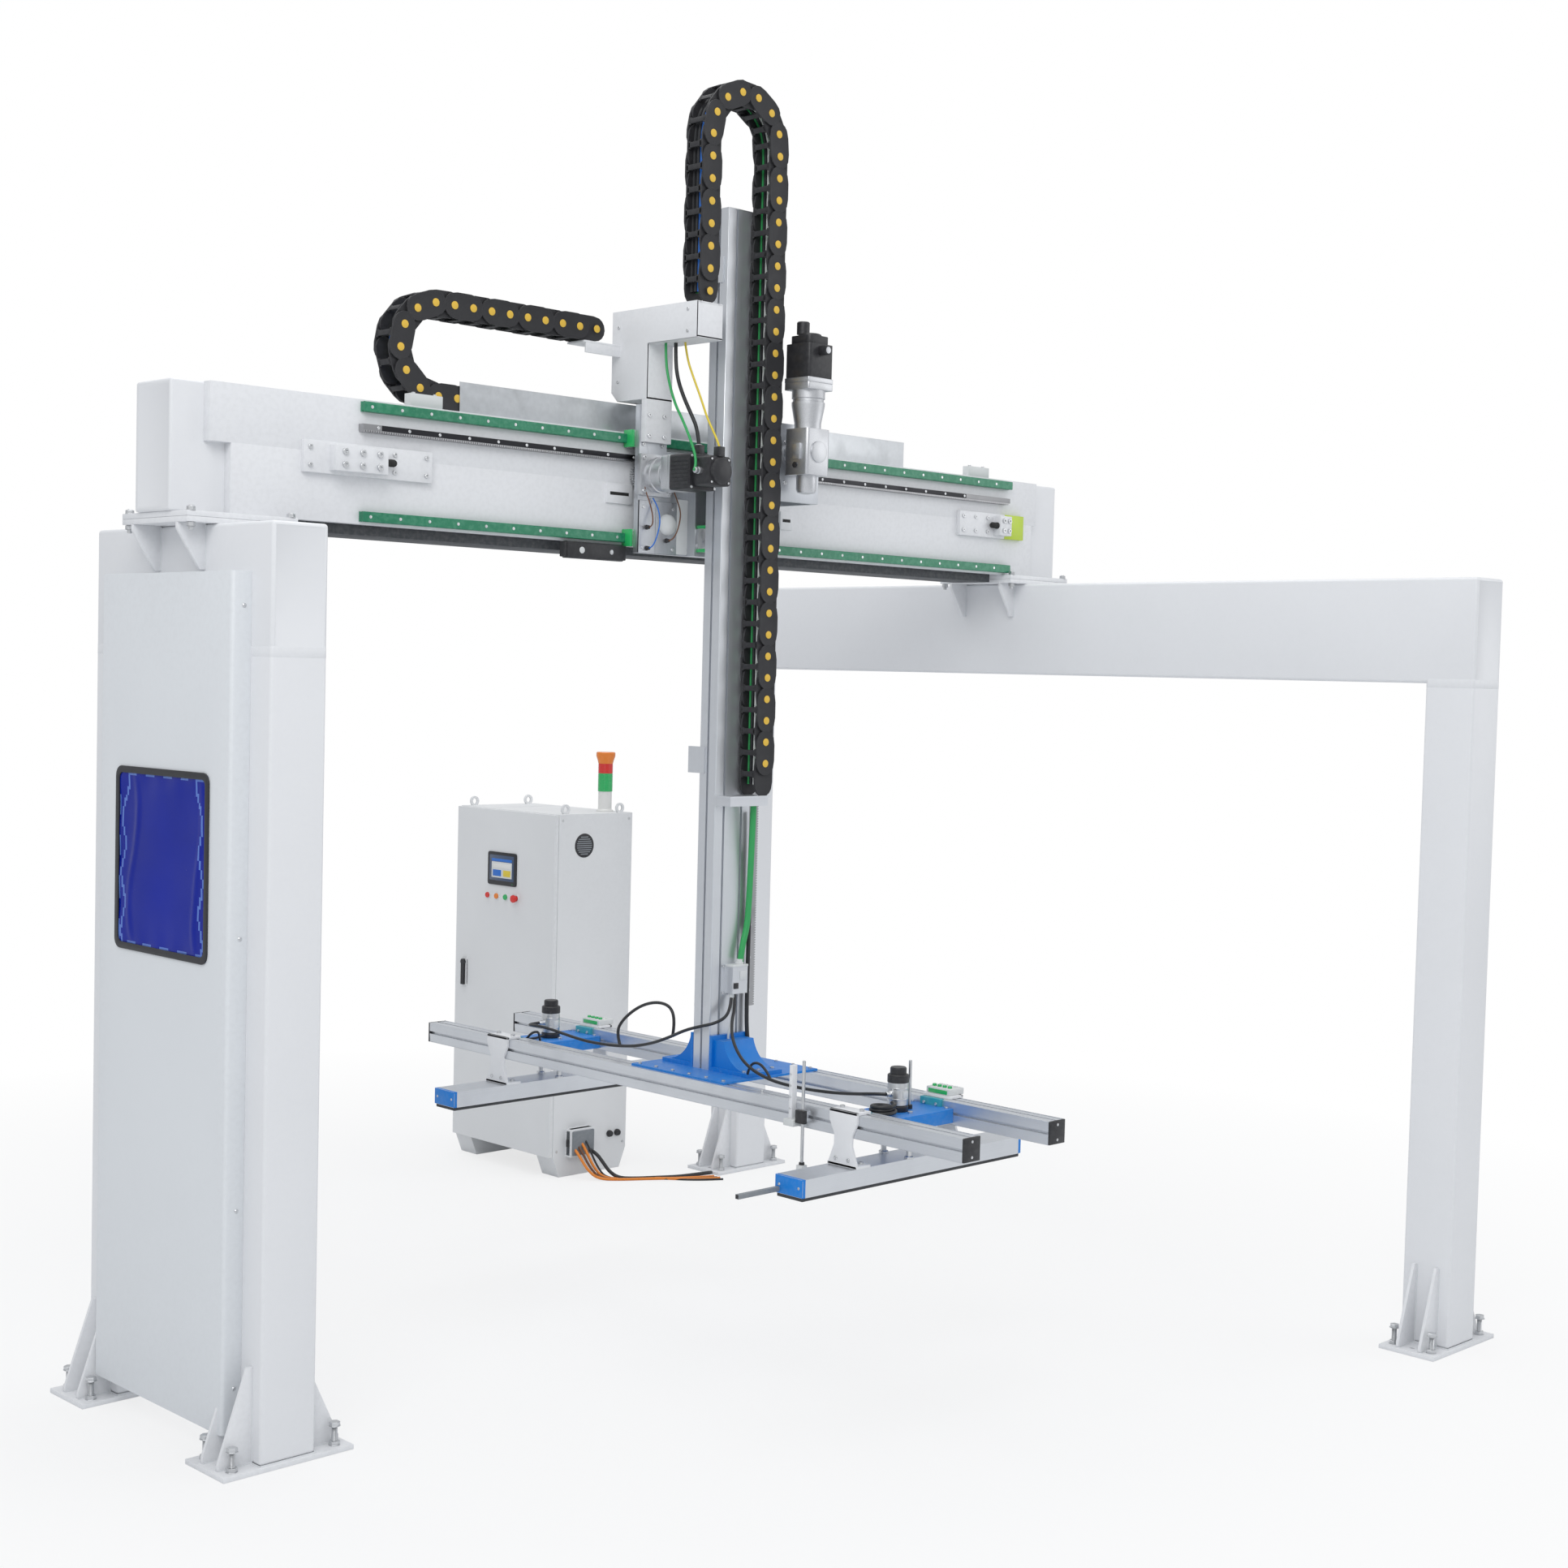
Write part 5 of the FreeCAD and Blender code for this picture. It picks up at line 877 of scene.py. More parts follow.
@dataclass(frozen=True)
class Studio:
    """The camera of the photograph, a pale floor and soft lamps."""

    spot: Place = (-3631.0, -5878.9, 2502.5)
    yaw: float = 45.165
    pitch: float = -2.679
    roll: float = 1.439
    lens: float = 50.68
    sensor: float = 36.0
    shift_up: float = -0.0025
    floor_side: float = 60.0
    pale: Colour = (0.8, 0.81, 0.82)
    fade_start: float = 2.5
    fade_run: float = 3.5
    near_share: float = 0.72
    aim_high: float = 1.8
    key_power: float = 380.0
    fill_power: float = 120.0
    top_power: float = 260.0
    world_light: float = 0.62

    def camera(self) -> None:
        """Make the camera at the photograph's place, turn and lens."""
        yaw = math.radians(self.yaw)
        pitch = math.radians(self.pitch)
        roll = math.radians(self.roll)
        ahead = Vector((math.cos(yaw) * math.cos(pitch), math.sin(yaw) * math.cos(pitch), math.sin(pitch)))
        right = Vector((math.sin(yaw), -math.cos(yaw), 0.0))
        up = right.cross(ahead)
        leaning = right * math.cos(roll) + up * math.sin(roll)
        upright = up * math.cos(roll) - right * math.sin(roll)
        data = bpy.data.cameras.new("PhotoCamera")
        data.lens = self.lens
        data.sensor_width = self.sensor
        data.shift_y = self.shift_up
        data.clip_start = 0.1
        data.clip_end = 200.0
        camera = bpy.data.objects.new("PhotoCamera", data)
        bpy.context.scene.collection.objects.link(camera)
        turn = Matrix((leaning, upright, -ahead)).transposed().to_4x4()
        camera.matrix_world = Matrix.Translation(metres(*self.spot)) @ turn
        bpy.context.scene.camera = camera

    def lamp(self, name: str, spot: Vector, aim: Vector, side: float, power: float) -> None:
        """Add a square soft lamp that faces a point.

        Args:
            name: The lamp's name.
            spot: Where it stands.
            aim: The point it faces.
            side: Its side in metres.
            power: Its power in watts.
        """
        data = bpy.data.lights.new(name, "AREA")
        data.shape = "SQUARE"
        data.size = side
        data.energy = power
        lamp = bpy.data.objects.new(name, data)
        lamp.location = spot
        lamp.rotation_mode = "QUATERNION"
        lamp.rotation_quaternion = (aim - spot).to_track_quat("-Z", "Y")
        bpy.context.scene.collection.objects.link(lamp)

    def floor(self) -> None:
        """Lay a wide pale floor under the machine."""
        clear()
        bpy.ops.mesh.primitive_plane_add(size=self.floor_side, location=(0, 0, -0.0005))
        ground = bpy.context.object
        ground.name = "Floor"
        ground.data.materials.append(self.floor_material())

    def floor_material(self) -> bpy.types.Material:
        """Pale floor that keeps its shadows near the machine and fades to white further out."""
        made = bpy.data.materials.new("FloorPale")
        made.use_nodes = True
        tree = made.node_tree
        board = Board(tree)
        shader = tree.nodes["Principled BSDF"]
        shader.inputs["Base Color"].default_value = (*self.pale, 1.0)
        shader.inputs["Roughness"].default_value = 0.75
        shine = board.add("Emission")
        shine.inputs["Color"].default_value = (1.0, 1.0, 1.0, 1.0)
        away = board.add("VectorMath", operation="LENGTH")
        board.link(board.add("TexCoord").outputs["Object"], away.inputs[0])
        far = board.ramp(away.outputs["Value"], self.fade_start, 1 / self.fade_run)
        share = board.math("ADD", board.math("MULTIPLY", far, 1.0 - self.near_share), self.near_share, True)
        seen = board.add("LightPath").outputs["Is Camera Ray"]
        mix = board.add("MixShader")
        board.link(board.math("MULTIPLY", share, seen), mix.inputs[0])
        board.link(shader.outputs[0], mix.inputs[1])
        board.link(shine.outputs[0], mix.inputs[2])
        board.link(mix.outputs[0], tree.nodes["Material Output"].inputs[0])
        return made

    def world(self) -> None:
        """A pale world that lights softly and shows white behind the machine."""
        world = bpy.data.worlds.new("StudioWorld")
        bpy.context.scene.world = world
        world.use_nodes = True
        tree = world.node_tree
        tree.nodes.clear()
        board = Board(tree)
        path = board.add("LightPath")
        seen = board.math("MAXIMUM", path.outputs["Is Camera Ray"], path.outputs["Is Transmission Ray"])
        light = board.add("Background")
        light.inputs["Color"].default_value = (0.95, 0.97, 1.0, 1.0)
        light.inputs["Strength"].default_value = self.world_light
        show = board.add("Background")
        show.inputs["Color"].default_value = (1.0, 1.0, 1.0, 1.0)
        show.inputs["Strength"].default_value = 1.0
        mix = board.add("MixShader")
        board.link(seen, mix.inputs[0])
        board.link(light.outputs[0], mix.inputs[1])
        board.link(show.outputs[0], mix.inputs[2])
        board.link(mix.outputs[0], board.add("OutputWorld").inputs[0])

    def build(self) -> None:
        """Make the camera, floor, world and lamps."""
        self.camera()
        self.floor()
        self.world()
        middle = Vector((0.0, 0.0, self.aim_high))
        self.lamp("KeyLamp", Vector((-7.0, -6.0, 8.5)), middle, 6.0, self.key_power)
        self.lamp("FillLamp", Vector((7.5, -6.5, 5.0)), middle, 6.0, self.fill_power)
        self.lamp("TopLamp", Vector((0.5, 1.0, 9.5)), middle, 7.0, self.top_power)
        bpy.context.scene.view_settings.view_transform = "Standard"


# Cords


@dataclass(frozen=True)
class Cord:
    """A free cable or hose on one smooth curve."""

    name: str
    body: str
    radius: float
    finish: Finish
    route: tuple[Place, ...]
    far_end: str = "object"
    stiffness: str = "medium"
    lay: str = "hanging"
    length: float = 0.0
    node: str = ""

    def curve(self) -> Item:
        """The route's curve object, before it has thickness.

        Returns:
            The curve object.
        """
        data = bpy.data.curves.new(self.name, "CURVE")
        data.dimensions = "3D"
        data.resolution_u = 12
        spline = data.splines.new("NURBS")
        spline.points.add(len(self.route) - 1)
        for point, spot in zip(spline.points, self.route):
            point.co = (*metres(*spot), 1.0)
        spline.use_endpoint_u = True
        spline.order_u = 3
        item = bpy.data.objects.new(self.name, data)
        bpy.context.collection.objects.link(item)
        return item

    def measured(self, item: Item) -> float:
        """The length of the curve's own line in metres.

        Args:
            item: The curve object.

        Returns:
            The length in metres.
        """
        bpy.context.view_layer.update()
        line = bpy.data.meshes.new_from_object(item.evaluated_get(bpy.context.evaluated_depsgraph_get()))
        spots = [vertex.co.copy() for vertex in line.vertices]
        bpy.data.meshes.remove(line)
        return sum((b - a).length for a, b in zip(spots, spots[1:]))

    def build(self) -> Item:
        """Returns:
            The finished cord.
        """
        item = self.curve()
        length = self.length * MM if self.length else self.measured(item)
        item.data.bevel_depth = self.radius * MM
        item.data.bevel_resolution = 4
        item.data.use_fill_caps = True
        item.data.materials.append(self.finish.material())
        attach(item, self.body)
        if self.node:
            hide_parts(self.node)
        LOG.info("%s: cord of %.0f mm on %s", self.name, length / MM, self.body)
        return item


CORDS = (
    Cord(
        "FloorCable", "frame", 9.0,
        Coated("CableRubber", (0.03, 0.03, 0.032), Sheen.MATT, grain_scale=300.0, grain=0.2),
        (
            (3395, 2498.6, 128), (3396, 2447, 120), (3402, 2402, 82), (3415, 2362, 36), (3440, 2318, 9.5),
            (3500, 2262, 9.5), (3590, 2215, 9.5), (3690, 2160, 9.5), (3800, 2140, 9.5), (3883, 2125, 9.5),
        ),
        far_end="bare", stiffness="stiff", lay="loose", length=720.0, node="floor_cable",
    ),
    Cord(
        "MotorCable", "carriage", 7.0, HOSE,
        (
            (1790, 190, 3709.7), (1789, 188, 3640), (1784, 168, 3575), (1779, 130, 3510),
            (1782, 90, 3445), (1792, 64, 3390), (1795, 58, 3332.9),
        ),
        length=408.0, node="motor_cable",
    ),
    Cord(
        "ArmCable", "arm", 12.0, WIRE_GREEN,
        (
            (2120, 64, 2018.1), (2122, 68, 1940), (2131, 82, 1800), (2133, 89, 1660), (2124, 87, 1560),
            (2100, 87, 1485), (2090, 86, 1415.8),
        ),
        length=608.0, node="arm_cable",
    ),
    Cord(
        "GripperHose", "arm", 6.0, HOSE,
        (
            (2052, 87, 1309.4), (2042, 80, 1262), (2002, 64, 1226), (1950, 72, 1208), (1920, 118, 1194),
            (1914, 190, 1172), (1924, 290, 1130), (1940, 410, 1088), (1950, 540, 1058), (1956, 680, 1044),
            (1952, 820, 1042), (1944, 950, 1056), (1936, 1050, 1068), (1936, 1125, 1066),
            (1950, 1172, 1061), (1986, 1189, 1060), (2015.7, 1190, 1060),
        ),
        length=1360.0, node="gripper_hose",
    ),
)


# Shapes described by their sizes


@dataclass(frozen=True)
class Box:
    """A block with rounded edges."""

    low: Place
    high: Place
    finish: Finish
    edge: float = 1.2

    def make(self) -> Item:
        """Model the block."""
        return dress(block(self.low, self.high, self.edge), self.finish)


@dataclass(frozen=True)
class Turn:
    """A turned piece."""

    base: Place
    axis: Axis
    profile: tuple[Flat, ...]
    finish: Finish
    sides: int = 36

    def make(self) -> Item:
        """Model the turned piece."""
        return dress(turned(self.base, self.axis, self.profile, self.sides), self.finish)


@dataclass(frozen=True)
class Cut:
    """A plate cut to an outline."""

    outline: tuple[Flat, ...]
    axis: Axis
    level: float
    thick: float
    finish: Finish
    edge: float = 1.0

    def make(self) -> Item:
        """Model the plate."""
        return dress(cut_sheet(self.outline, self.axis, self.level, self.thick, self.edge), self.finish)


@dataclass(frozen=True)
class Screw:
    """A socket-head screw whose head stands along the axis, or against it where high is negative."""

    base: Place
    axis: Axis
    radius: float
    high: float
    finish: Finish = ZINC

    def make(self) -> Item:
        """Model the head with its socket."""
        radius, high = self.radius, self.high
        rim = math.copysign(0.8, high)
        profile = [(radius, 0), (radius, high - rim), (radius - 0.8, high), (radius * 0.52, high)]
        profile.append((radius * 0.5, high * 0.45))
        return dress(turned(self.base, self.axis, profile, 18), self.finish)


Shape = Box | Turn | Cut | Screw


@dataclass
class Details(Assembly):
    """A piece made from a list of shapes."""

    name: str
    shapes: tuple[Shape, ...]
    slot: str = ""

    def build(self) -> None:
        """Model every shape and join them."""
        self.piece(self.name, [shape.make() for shape in self.shapes], self.slot)


def bolts_row(
    base: Place,
    axis: Axis,
    radius: float,
    high: float,
    count: int,
    step: Place,
    rows: int = 1,
    apart: Place = (0, 0, 0),
) -> tuple[Shape, ...]:
    """Screws repeated at a step, in rows that lie apart."""
    return tuple(
        Screw(tuple(a + b * index + c * line for a, b, c in zip(base, step, apart)), axis, radius, high)
        for line in range(rows)
        for index in range(count)
    )


# Energy chains


@dataclass
class Chain(Assembly):
    """Links of an energy chain between two pins of a run, a half turn and a run back.

    The links lie in a plane: u runs along the first run and w over to the second one.
    """

    node: str
    start: Place
    ahead: Place
    over: Place
    run: float
    radius: float
    first: int
    last: int
    pitch: float = 80.0
    high: float = 92.0
    wide: float = 100.0
    plate: float = 8.0
    eye: float = 44.2
    shoulder: float = 11.0
    bar: float = 20.0
    pin_radius: float = 14.0

    def spot(self, length: float) -> Flat:
        """The place (u, w) at one length along the chain.

        Args:
            length: The distance along the chain from its first pin.

        Returns:
            The place.
        """
        half_turn = math.pi * self.radius
        if length <= self.run:
            return (length, 0.0)
        if length <= self.run + half_turn:
            angle = (length - self.run) / self.radius
            return (self.run + self.radius * math.sin(angle), self.radius - self.radius * math.cos(angle))
        return (2 * self.run + half_turn - length, 2 * self.radius)

    def pins(self) -> list[Flat]:
        """The pin places, one pitch apart in a straight line, up to the last one.

        Returns:
            The pin places.
        """
        places = [(0.0, 0.0)]
        length = 0.0
        for _ in range(self.last):
            low = length + self.pitch * 0.9
            high = length + self.pitch * 1.2
            while high - low > 1e-6:
                centre = (low + high) / 2
                if math.dist(self.spot(centre), places[-1]) < self.pitch:
                    low = centre
                else:
                    high = centre
            length = low
            places.append(self.spot(length))
        return places

    def link(self, narrow: bool) -> Item:
        """One link along local X from its first pin, in local XY, with its width along Z.

        Args:
            narrow: If the plates lie inside their neighbours.

        Returns:
            The link.
        """
        half = self.high / 2
        level = self.plate if narrow else 0.0
        inner = level + self.plate
        turns = [math.radians(247.5 - 22.5 * step) for step in range(7)]
        rounds = [(self.eye * math.cos(turn), self.eye * math.sin(turn)) for turn in turns]
        ends = [(self.shoulder, -half), *rounds, (self.shoulder, half)]
        outline = ends + [(self.pitch - across, up) for across, up in reversed(ends)]
        items = []
        for low, away in ((level, -1.0), (self.wide - inner, 1.0)):
            side = local(cut_sheet(outline, Axis.Z, low, self.plate))
            press(side, lambda normal: normal.z * away > 0.9, 4.0, 1.2)
            items.append(dress(soften(side, 1.0, 1, 40), PLASTIC))
        middle = (self.pitch - self.bar) / 2
        for low, clip_low in ((-half, -half), (half - 6.0, half - 7.5)):
            bar = block((0, 0, 0), (self.bar, 6.0, self.wide - 2 * inner), 1.6, 2)
            items.append(dress(local(bar, middle, low, inner), PLASTIC))
            for across in (inner, self.wide - inner - 9.0):
                clip = block((0, 0, 0), (self.bar + 8.0, 7.5, 9.0), 1.4, 1)
                items.append(dress(local(clip, middle - 4.0, clip_low, across), PLASTIC))
        return fuse("link", items)

    def pin(self) -> Item:
        """One round pin head with its ring, on both sides of the chain.

        Returns:
            The pin.
        """
        profile = [(self.pin_radius, 0), (self.pin_radius, 1.6), (self.pin_radius - 2.4, 2.4)]
        heads = []
        for level, turn in ((0.0, math.pi), (self.wide, 0.0)):
            head = local(turned((0, 0, 0), Axis.Z, profile, 20), z=-1.2)
            head.data.transform(Matrix.Rotation(turn, 4, "X"))
            head.data.transform(Matrix.Translation((0, 0, level * MM)))
            heads.append(dress(head, PIN))
        return fuse("pin", heads)

    def frame_matrix(self) -> Matrix:
        """The matrix from the chain's own plane to the model's frame.

        Returns:
            The matrix.
        """
        ahead = Vector(self.ahead)
        over = Vector(self.over)
        across = ahead.cross(over)
        turn = Matrix((ahead, over, across)).transposed().to_4x4()
        return Matrix.Translation(metres(*self.start)) @ turn

    def build(self) -> None:
        """Copy the two kinds of link along the path and join them."""
        masters = {True: self.link(True), False: self.link(False)}
        pin = self.pin()
        pins = self.pins()
        base = self.frame_matrix()
        made = []
        for index in range(self.first, self.last):
            start, end = pins[index], pins[index + 1]
            angle = math.atan2(end[1] - start[1], end[0] - start[0])
            place = Matrix.Translation((start[0] * MM, start[1] * MM, 0))
            move = base @ place @ Matrix.Rotation(angle, 4, "Z")
            made.append(copy_of(masters[index % 2 == 0], move))
            made.append(copy_of(pin, move))
        made.extend(self.inner_cables(pins, base))
        for master in (masters[True], masters[False], pin):
            bpy.data.objects.remove(master)
        self.piece(self.node, made, "chain_plastic")

    def inner_cables(self, pins: list[Flat], base: Matrix) -> list[Item]:
        """Cables that lie between the chain's plates, as tubes through the pin places.

        Args:
            pins: The pin places along the whole chain.
            base: The matrix from the chain's plane to the model's frame.

        Returns:
            The cables. Each has a place across the chain, an offset from the pins, a radius and a finish.
        """
        kinds = (
            (20.0, -16.0, 8.0, HOSE),
            (20.0, 8.0, 5.5, WIRE_GREEN),
            (40.0, -14.0, 9.0, HOSE),
            (36.0, 12.0, 6.0, HOSE),
            (52.0, -10.0, 8.0, WIRE_BLUE),
            (52.0, 12.0, 5.0, TUBE_WHITE),
            (66.0, 11.0, 5.5, WIRE_GREEN),
            (80.0, 10.0, 6.0, WIRE_BROWN),
        )
        made = []
        for across, offset, radius, finish in kinds:
            data = bpy.data.curves.new("inner", "CURVE")
            data.dimensions = "3D"
            data.resolution_u = 3
            data.bevel_depth = radius * MM
            data.bevel_resolution = 2
            spline = data.splines.new("NURBS")
            places = pins[self.first : self.last + 1]
            spline.points.add(len(places) - 1)
            for index, (point, place) in enumerate(zip(spline.points, places)):
                near = places[min(index + 1, len(places) - 1)]
                back = places[max(index - 1, 0)]
                way = Vector((near[0] - back[0], near[1] - back[1], 0)).normalized()
                side = Vector((-way.y, way.x, 0)) * offset
                spot = Vector((place[0], place[1], self.wide - across)) + side
                point.co = (*(base @ (spot * MM)), 1.0)
            spline.use_endpoint_u = True
            spline.order_u = 3
            item = bpy.data.objects.new("inner", data)
            bpy.context.collection.objects.link(item)
            only(item)
            bpy.ops.object.convert(target="MESH")
            made.append(dress(bpy.context.object, finish))
        return made


X_RADIUS, Z_RADIUS = 160.0, 168.0
X_PIN_LOW = 3440.5
X_RUN_PITCHES = 8.78
X_RUN = X_RUN_PITCHES * Chain.pitch
X_START = (913.0 + X_RUN, 530.0, X_PIN_LOW + 2 * X_RADIUS)
Z_START = (1790.0, 11.6, 3880.0)
Z_RUN = 4447.0 - 3880.0


def x_chain(part: str, body: str, first: int, last: int) -> Chain:
    """A group of the beam chain's links."""
    return Chain(body, "x_chain_" + part, X_START, (-1, 0, 0), (0, 0, -1), X_RUN, X_RADIUS, first, last)


def z_chain(part: str, body: str, first: int, last: int) -> Chain:
    """A group of the column chain's links."""
    return Chain(body, "z_chain_" + part, Z_START, (0, 0, 1), (1, 0, 0), Z_RUN, Z_RADIUS, first, last)


CHAINS = (
    x_chain("carriage_run", "carriage", 0, 3),
    x_chain("middle_run", "x_middle", 3, 6),
    x_chain("loop", "x_loop", 6, 21),
    x_chain("fixed_run", "frame", 21, 31),
    z_chain("carriage_run", "carriage", 0, 2),
    z_chain("middle_run", "z_middle", 2, 5),
    z_chain("loop", "z_loop", 5, 22),
    z_chain("arm_run", "arm", 22, 43),
)


# Portals, feet and bolts


LEGS: dict[str, Flat] = {
    "left_near": (0.0, 0.0),
    "left_far": (0.0, 900.0),
    "right_near": (4020.0, -1830.0),
    "right_far": (4020.0, 2090.0),
}


@dataclass
class Portals(Assembly):
    """Four legs and two crossbeams of square tube, with their feet and bolts."""

    side: float = 200.0
    low: float = 16.0
    joint: float = 2540.0
    top: float = 2940.0
    corner: float = 12.0
    foot_reach: float = 135.0
    foot_long: float = 470.0
    foot_lip: float = 15.0
    rib_thick: float = 12.0
    rib_run: float = 118.0
    rib_high: float = 304.0
    rib_low: float = 224.0
    seat_starts: Flat = (-100.0, 3920.0)
    seat_long: float = 400.0
    hole_inset: float = 50.0
    bolt_inset: float = 22.0

    def bead_bars(self, x: float, y: float, z: float, run: float, size: float) -> Item:
        """Four scalloped bars of weld round a square.

        Args:
            x: The square's lowest X.
            y: Its lowest Y.
            z: The weld's height.
            run: The square's side.
            size: The weld's radius.

        Returns:
            The bars, joined.
        """
        bars = []
        sides = ((Axis.X, (x, y)), (Axis.X, (x, y + run)), (Axis.Y, (x, y)), (Axis.Y, (x + run, y)))
        for axis, spot in sides:
            bars.append(dress(turned((*spot, z), axis, self.scallops(run, size), 8), WELD))
        return fuse("bead", bars)

    def scallops(self, run: float, size: float) -> list[Flat]:
        """Radius and distance of a weld's ripples.

        Args:
            run: The weld's length.
            size: Its radius.

        Returns:
            The ripples.
        """
        count = max(4, int(run / 7.0))
        ripples = []
        for index in range(count * 2 + 1):
            swell = 0.86 if index % 2 else 1.0
            ripples.append((size * swell, run * index / (count * 2)))
        return ripples

    def crossbeam(self, name: str, x: float, y: float, span: float) -> None:
        """One crossbeam: a tall tube with welded end plates and rounded long edges.

        Args:
            name: The node's name.
            x: Its lowest X.
            y: Its lowest Y.
            span: Its length.
        """
        tube = block((x, y, self.joint), (x + self.side, y + span, self.top), self.corner, 4)
        press(tube, lambda normal: abs(normal.y) > 0.99, 3.0, 2.0)
        items = [dress(tube, WHITE), self.seam_ring(x, y), self.seam_ring(x, y + span - self.side)]
        self.piece(name, items, "white_paint", 40)

    def seam_ring(self, x: float, y: float) -> Item:
        """The ground weld seam where a leg meets the crossbeam: a barely proud band.

        Args:
            x: The leg's lowest X.
            y: Its lowest Y.

        Returns:
            The band.
        """
        outline = rounded((x - 0.3, y - 0.3), (x + self.side + 0.3, y + self.side + 0.3), self.corner, 4)
        band = cut_sheet(outline, Axis.Z, self.joint - 16.0, 32.0, 0.2)
        return dress(band, WHITE)

    def foot(self, x: float, y: float) -> list[Item]:
        """One foot: a base plate with drilled holes and four welded ribs.

        Args:
            x: The leg's lowest X.
            y: Its lowest Y.

        Returns:
            The plate, its ribs and their welds.
        """
        low = (x - self.foot_reach, y - self.foot_lip, 0.0)
        high = (low[0] + self.foot_long, y + self.side + self.foot_lip, self.low)
        plate = block(low, high, 1.6, 2)
        holes = []
        lip = self.foot_lip
        for across in (self.hole_inset, self.foot_long - self.hole_inset):
            for along in (lip + self.bolt_inset, self.side / 2 + lip, self.side + lip - self.bolt_inset):
                spot = (low[0] + across, low[1] + along, -5.0)
                holes.append(turned(spot, Axis.Z, [(9.0, 0), (9.0, 30)], 20))
        carve(plate, fuse("holes", holes))
        items = [dress(plate, WHITE)]
        toe = 20.0
        run, top = self.rib_run, self.rib_high
        outer = [(0, 0), (run, 0), (run, top), (run - toe, top), (0, toe)]
        inner = [(0, 0), (run, 0), (run, toe), (toe, self.rib_low), (0, self.rib_low)]
        for along in (48.0, self.side - 48.0 - self.rib_thick):
            for start, outline in ((x - self.rib_run, outer), (x + self.side, inner)):
                places = [(start + across, self.low + up) for across, up in outline]
                rib = cut_sheet(places, Axis.Y, y + along, self.rib_thick, 1.4)
                items.append(dress(rib, WHITE))
                for face in (y + along, y + along + self.rib_thick):
                    foot_weld = turned((start, face, self.low), Axis.X, self.scallops(self.rib_run, 3.6), 8)
                    items.append(dress(foot_weld, WELD))
                    wall = x if start < x else x + self.side
                    tall = self.rib_high if start < x else self.rib_low
                    wall_weld = turned((wall, face, self.low), Axis.Z, self.scallops(tall - 4.0, 3.6), 8)
                    items.append(dress(wall_weld, WELD))
        return items

    def stud(self) -> Item:
        """A levelling bolt at the origin: nut, threaded shank and hexagon head.

        Returns:
            The bolt.
        """
        thread = []
        pitch = 2.5
        level = 12.0
        while level < 64.0:
            thread.extend([(10.0, level), (8.8, level + pitch / 2)])
            level += pitch
        shank = turned((0, 0, 0), Axis.Z, [(10.0, 0.0)] + thread + [(9.0, 66.0)], 18)
        nut = hexagon((0, 0, 0), Axis.Z, 31.0, 14.0)
        head = hexagon((0, 0, 62.0), Axis.Z, 31.0, 14.0)
        return dress(fuse("stud", [shank, nut, head]), ZINC)

    def bolts(self) -> None:
        """The levelling bolts on the feet and the clamping bolts on the beam seats."""
        master = self.stud()
        made = []
        for x, y in LEGS.values():
            start = x - self.foot_reach
            for across in (start + self.hole_inset, start + self.foot_long - self.hole_inset):
                for along in (self.bolt_inset, self.side - self.bolt_inset):
                    made.append(shifted(master, across, y + along, self.low))
        bpy.data.objects.remove(master)
        for seat_x in self.seat_starts:
            for across in (20.0, 380.0):
                for along in (347.0, 733.0):
                    spot = (seat_x + across, along)
                    for level in (2976.0, 2926.0):
                        made.append(dress(hexagon((*spot, level), Axis.Z, 24.0, 13.0), ZINC))
                    shank = [(6.5, 0), (8.0, 2.0), (8.0, 76.0), (6.5, 78.0)]
                    made.append(dress(turned((*spot, 2914.0), Axis.Z, shank, 18), ZINC))
        self.piece("frame_bolts", made, "zinc_bolt")

    def seats(self) -> None:
        """The stacked seat plates under the beam, with their ribs."""
        items = []
        for seat_x in self.seat_starts:
            for level in (2940.0, 2958.0):
                plate = block((seat_x, 335.0, level), (seat_x + self.seat_long, 745.0, level + 17.6), 1.4, 2)
                items.append(dress(plate, WHITE))
            for along in (393.0, 673.0):
                outline = [(80, 2795), (100, 2795), (100, 2940), (0, 2940), (0, 2920)]
                places = [(seat_x + across, up) for across, up in outline]
                items.append(dress(cut_sheet(places, Axis.Y, along, 14.0, 1.4), WHITE))
                for face in (along, along + 14.0):
                    weld = turned((seat_x + 100.0, face, 2797.0), Axis.Z, self.scallops(140.0, 3.2), 8)
                    items.append(dress(weld, WELD))
        self.piece("beam_seats", items, "white_paint")

    def build(self) -> None:
        """Make the portals, their feet, the seats and all bolts."""
        feet = []
        for name, (x, y) in LEGS.items():
            tube = block((x, y, self.low), (x + self.side, y + self.side, self.joint), self.corner, 4)
            weld = self.bead_bars(x - 1.0, y - 1.0, self.low, self.side + 2.0, 4.0)
            self.piece(name + "_leg", [dress(tube, WHITE), weld], "white_paint", 40)
            feet.extend(self.foot(x, y))
        self.piece("portal_feet", feet, "white_paint")
        self.crossbeam("left_crossbeam", 0.0, 0.0, 1100.0)
        self.crossbeam("right_crossbeam", 4020.0, -1830.0, 4120.0)
        self.seats()
        self.bolts()


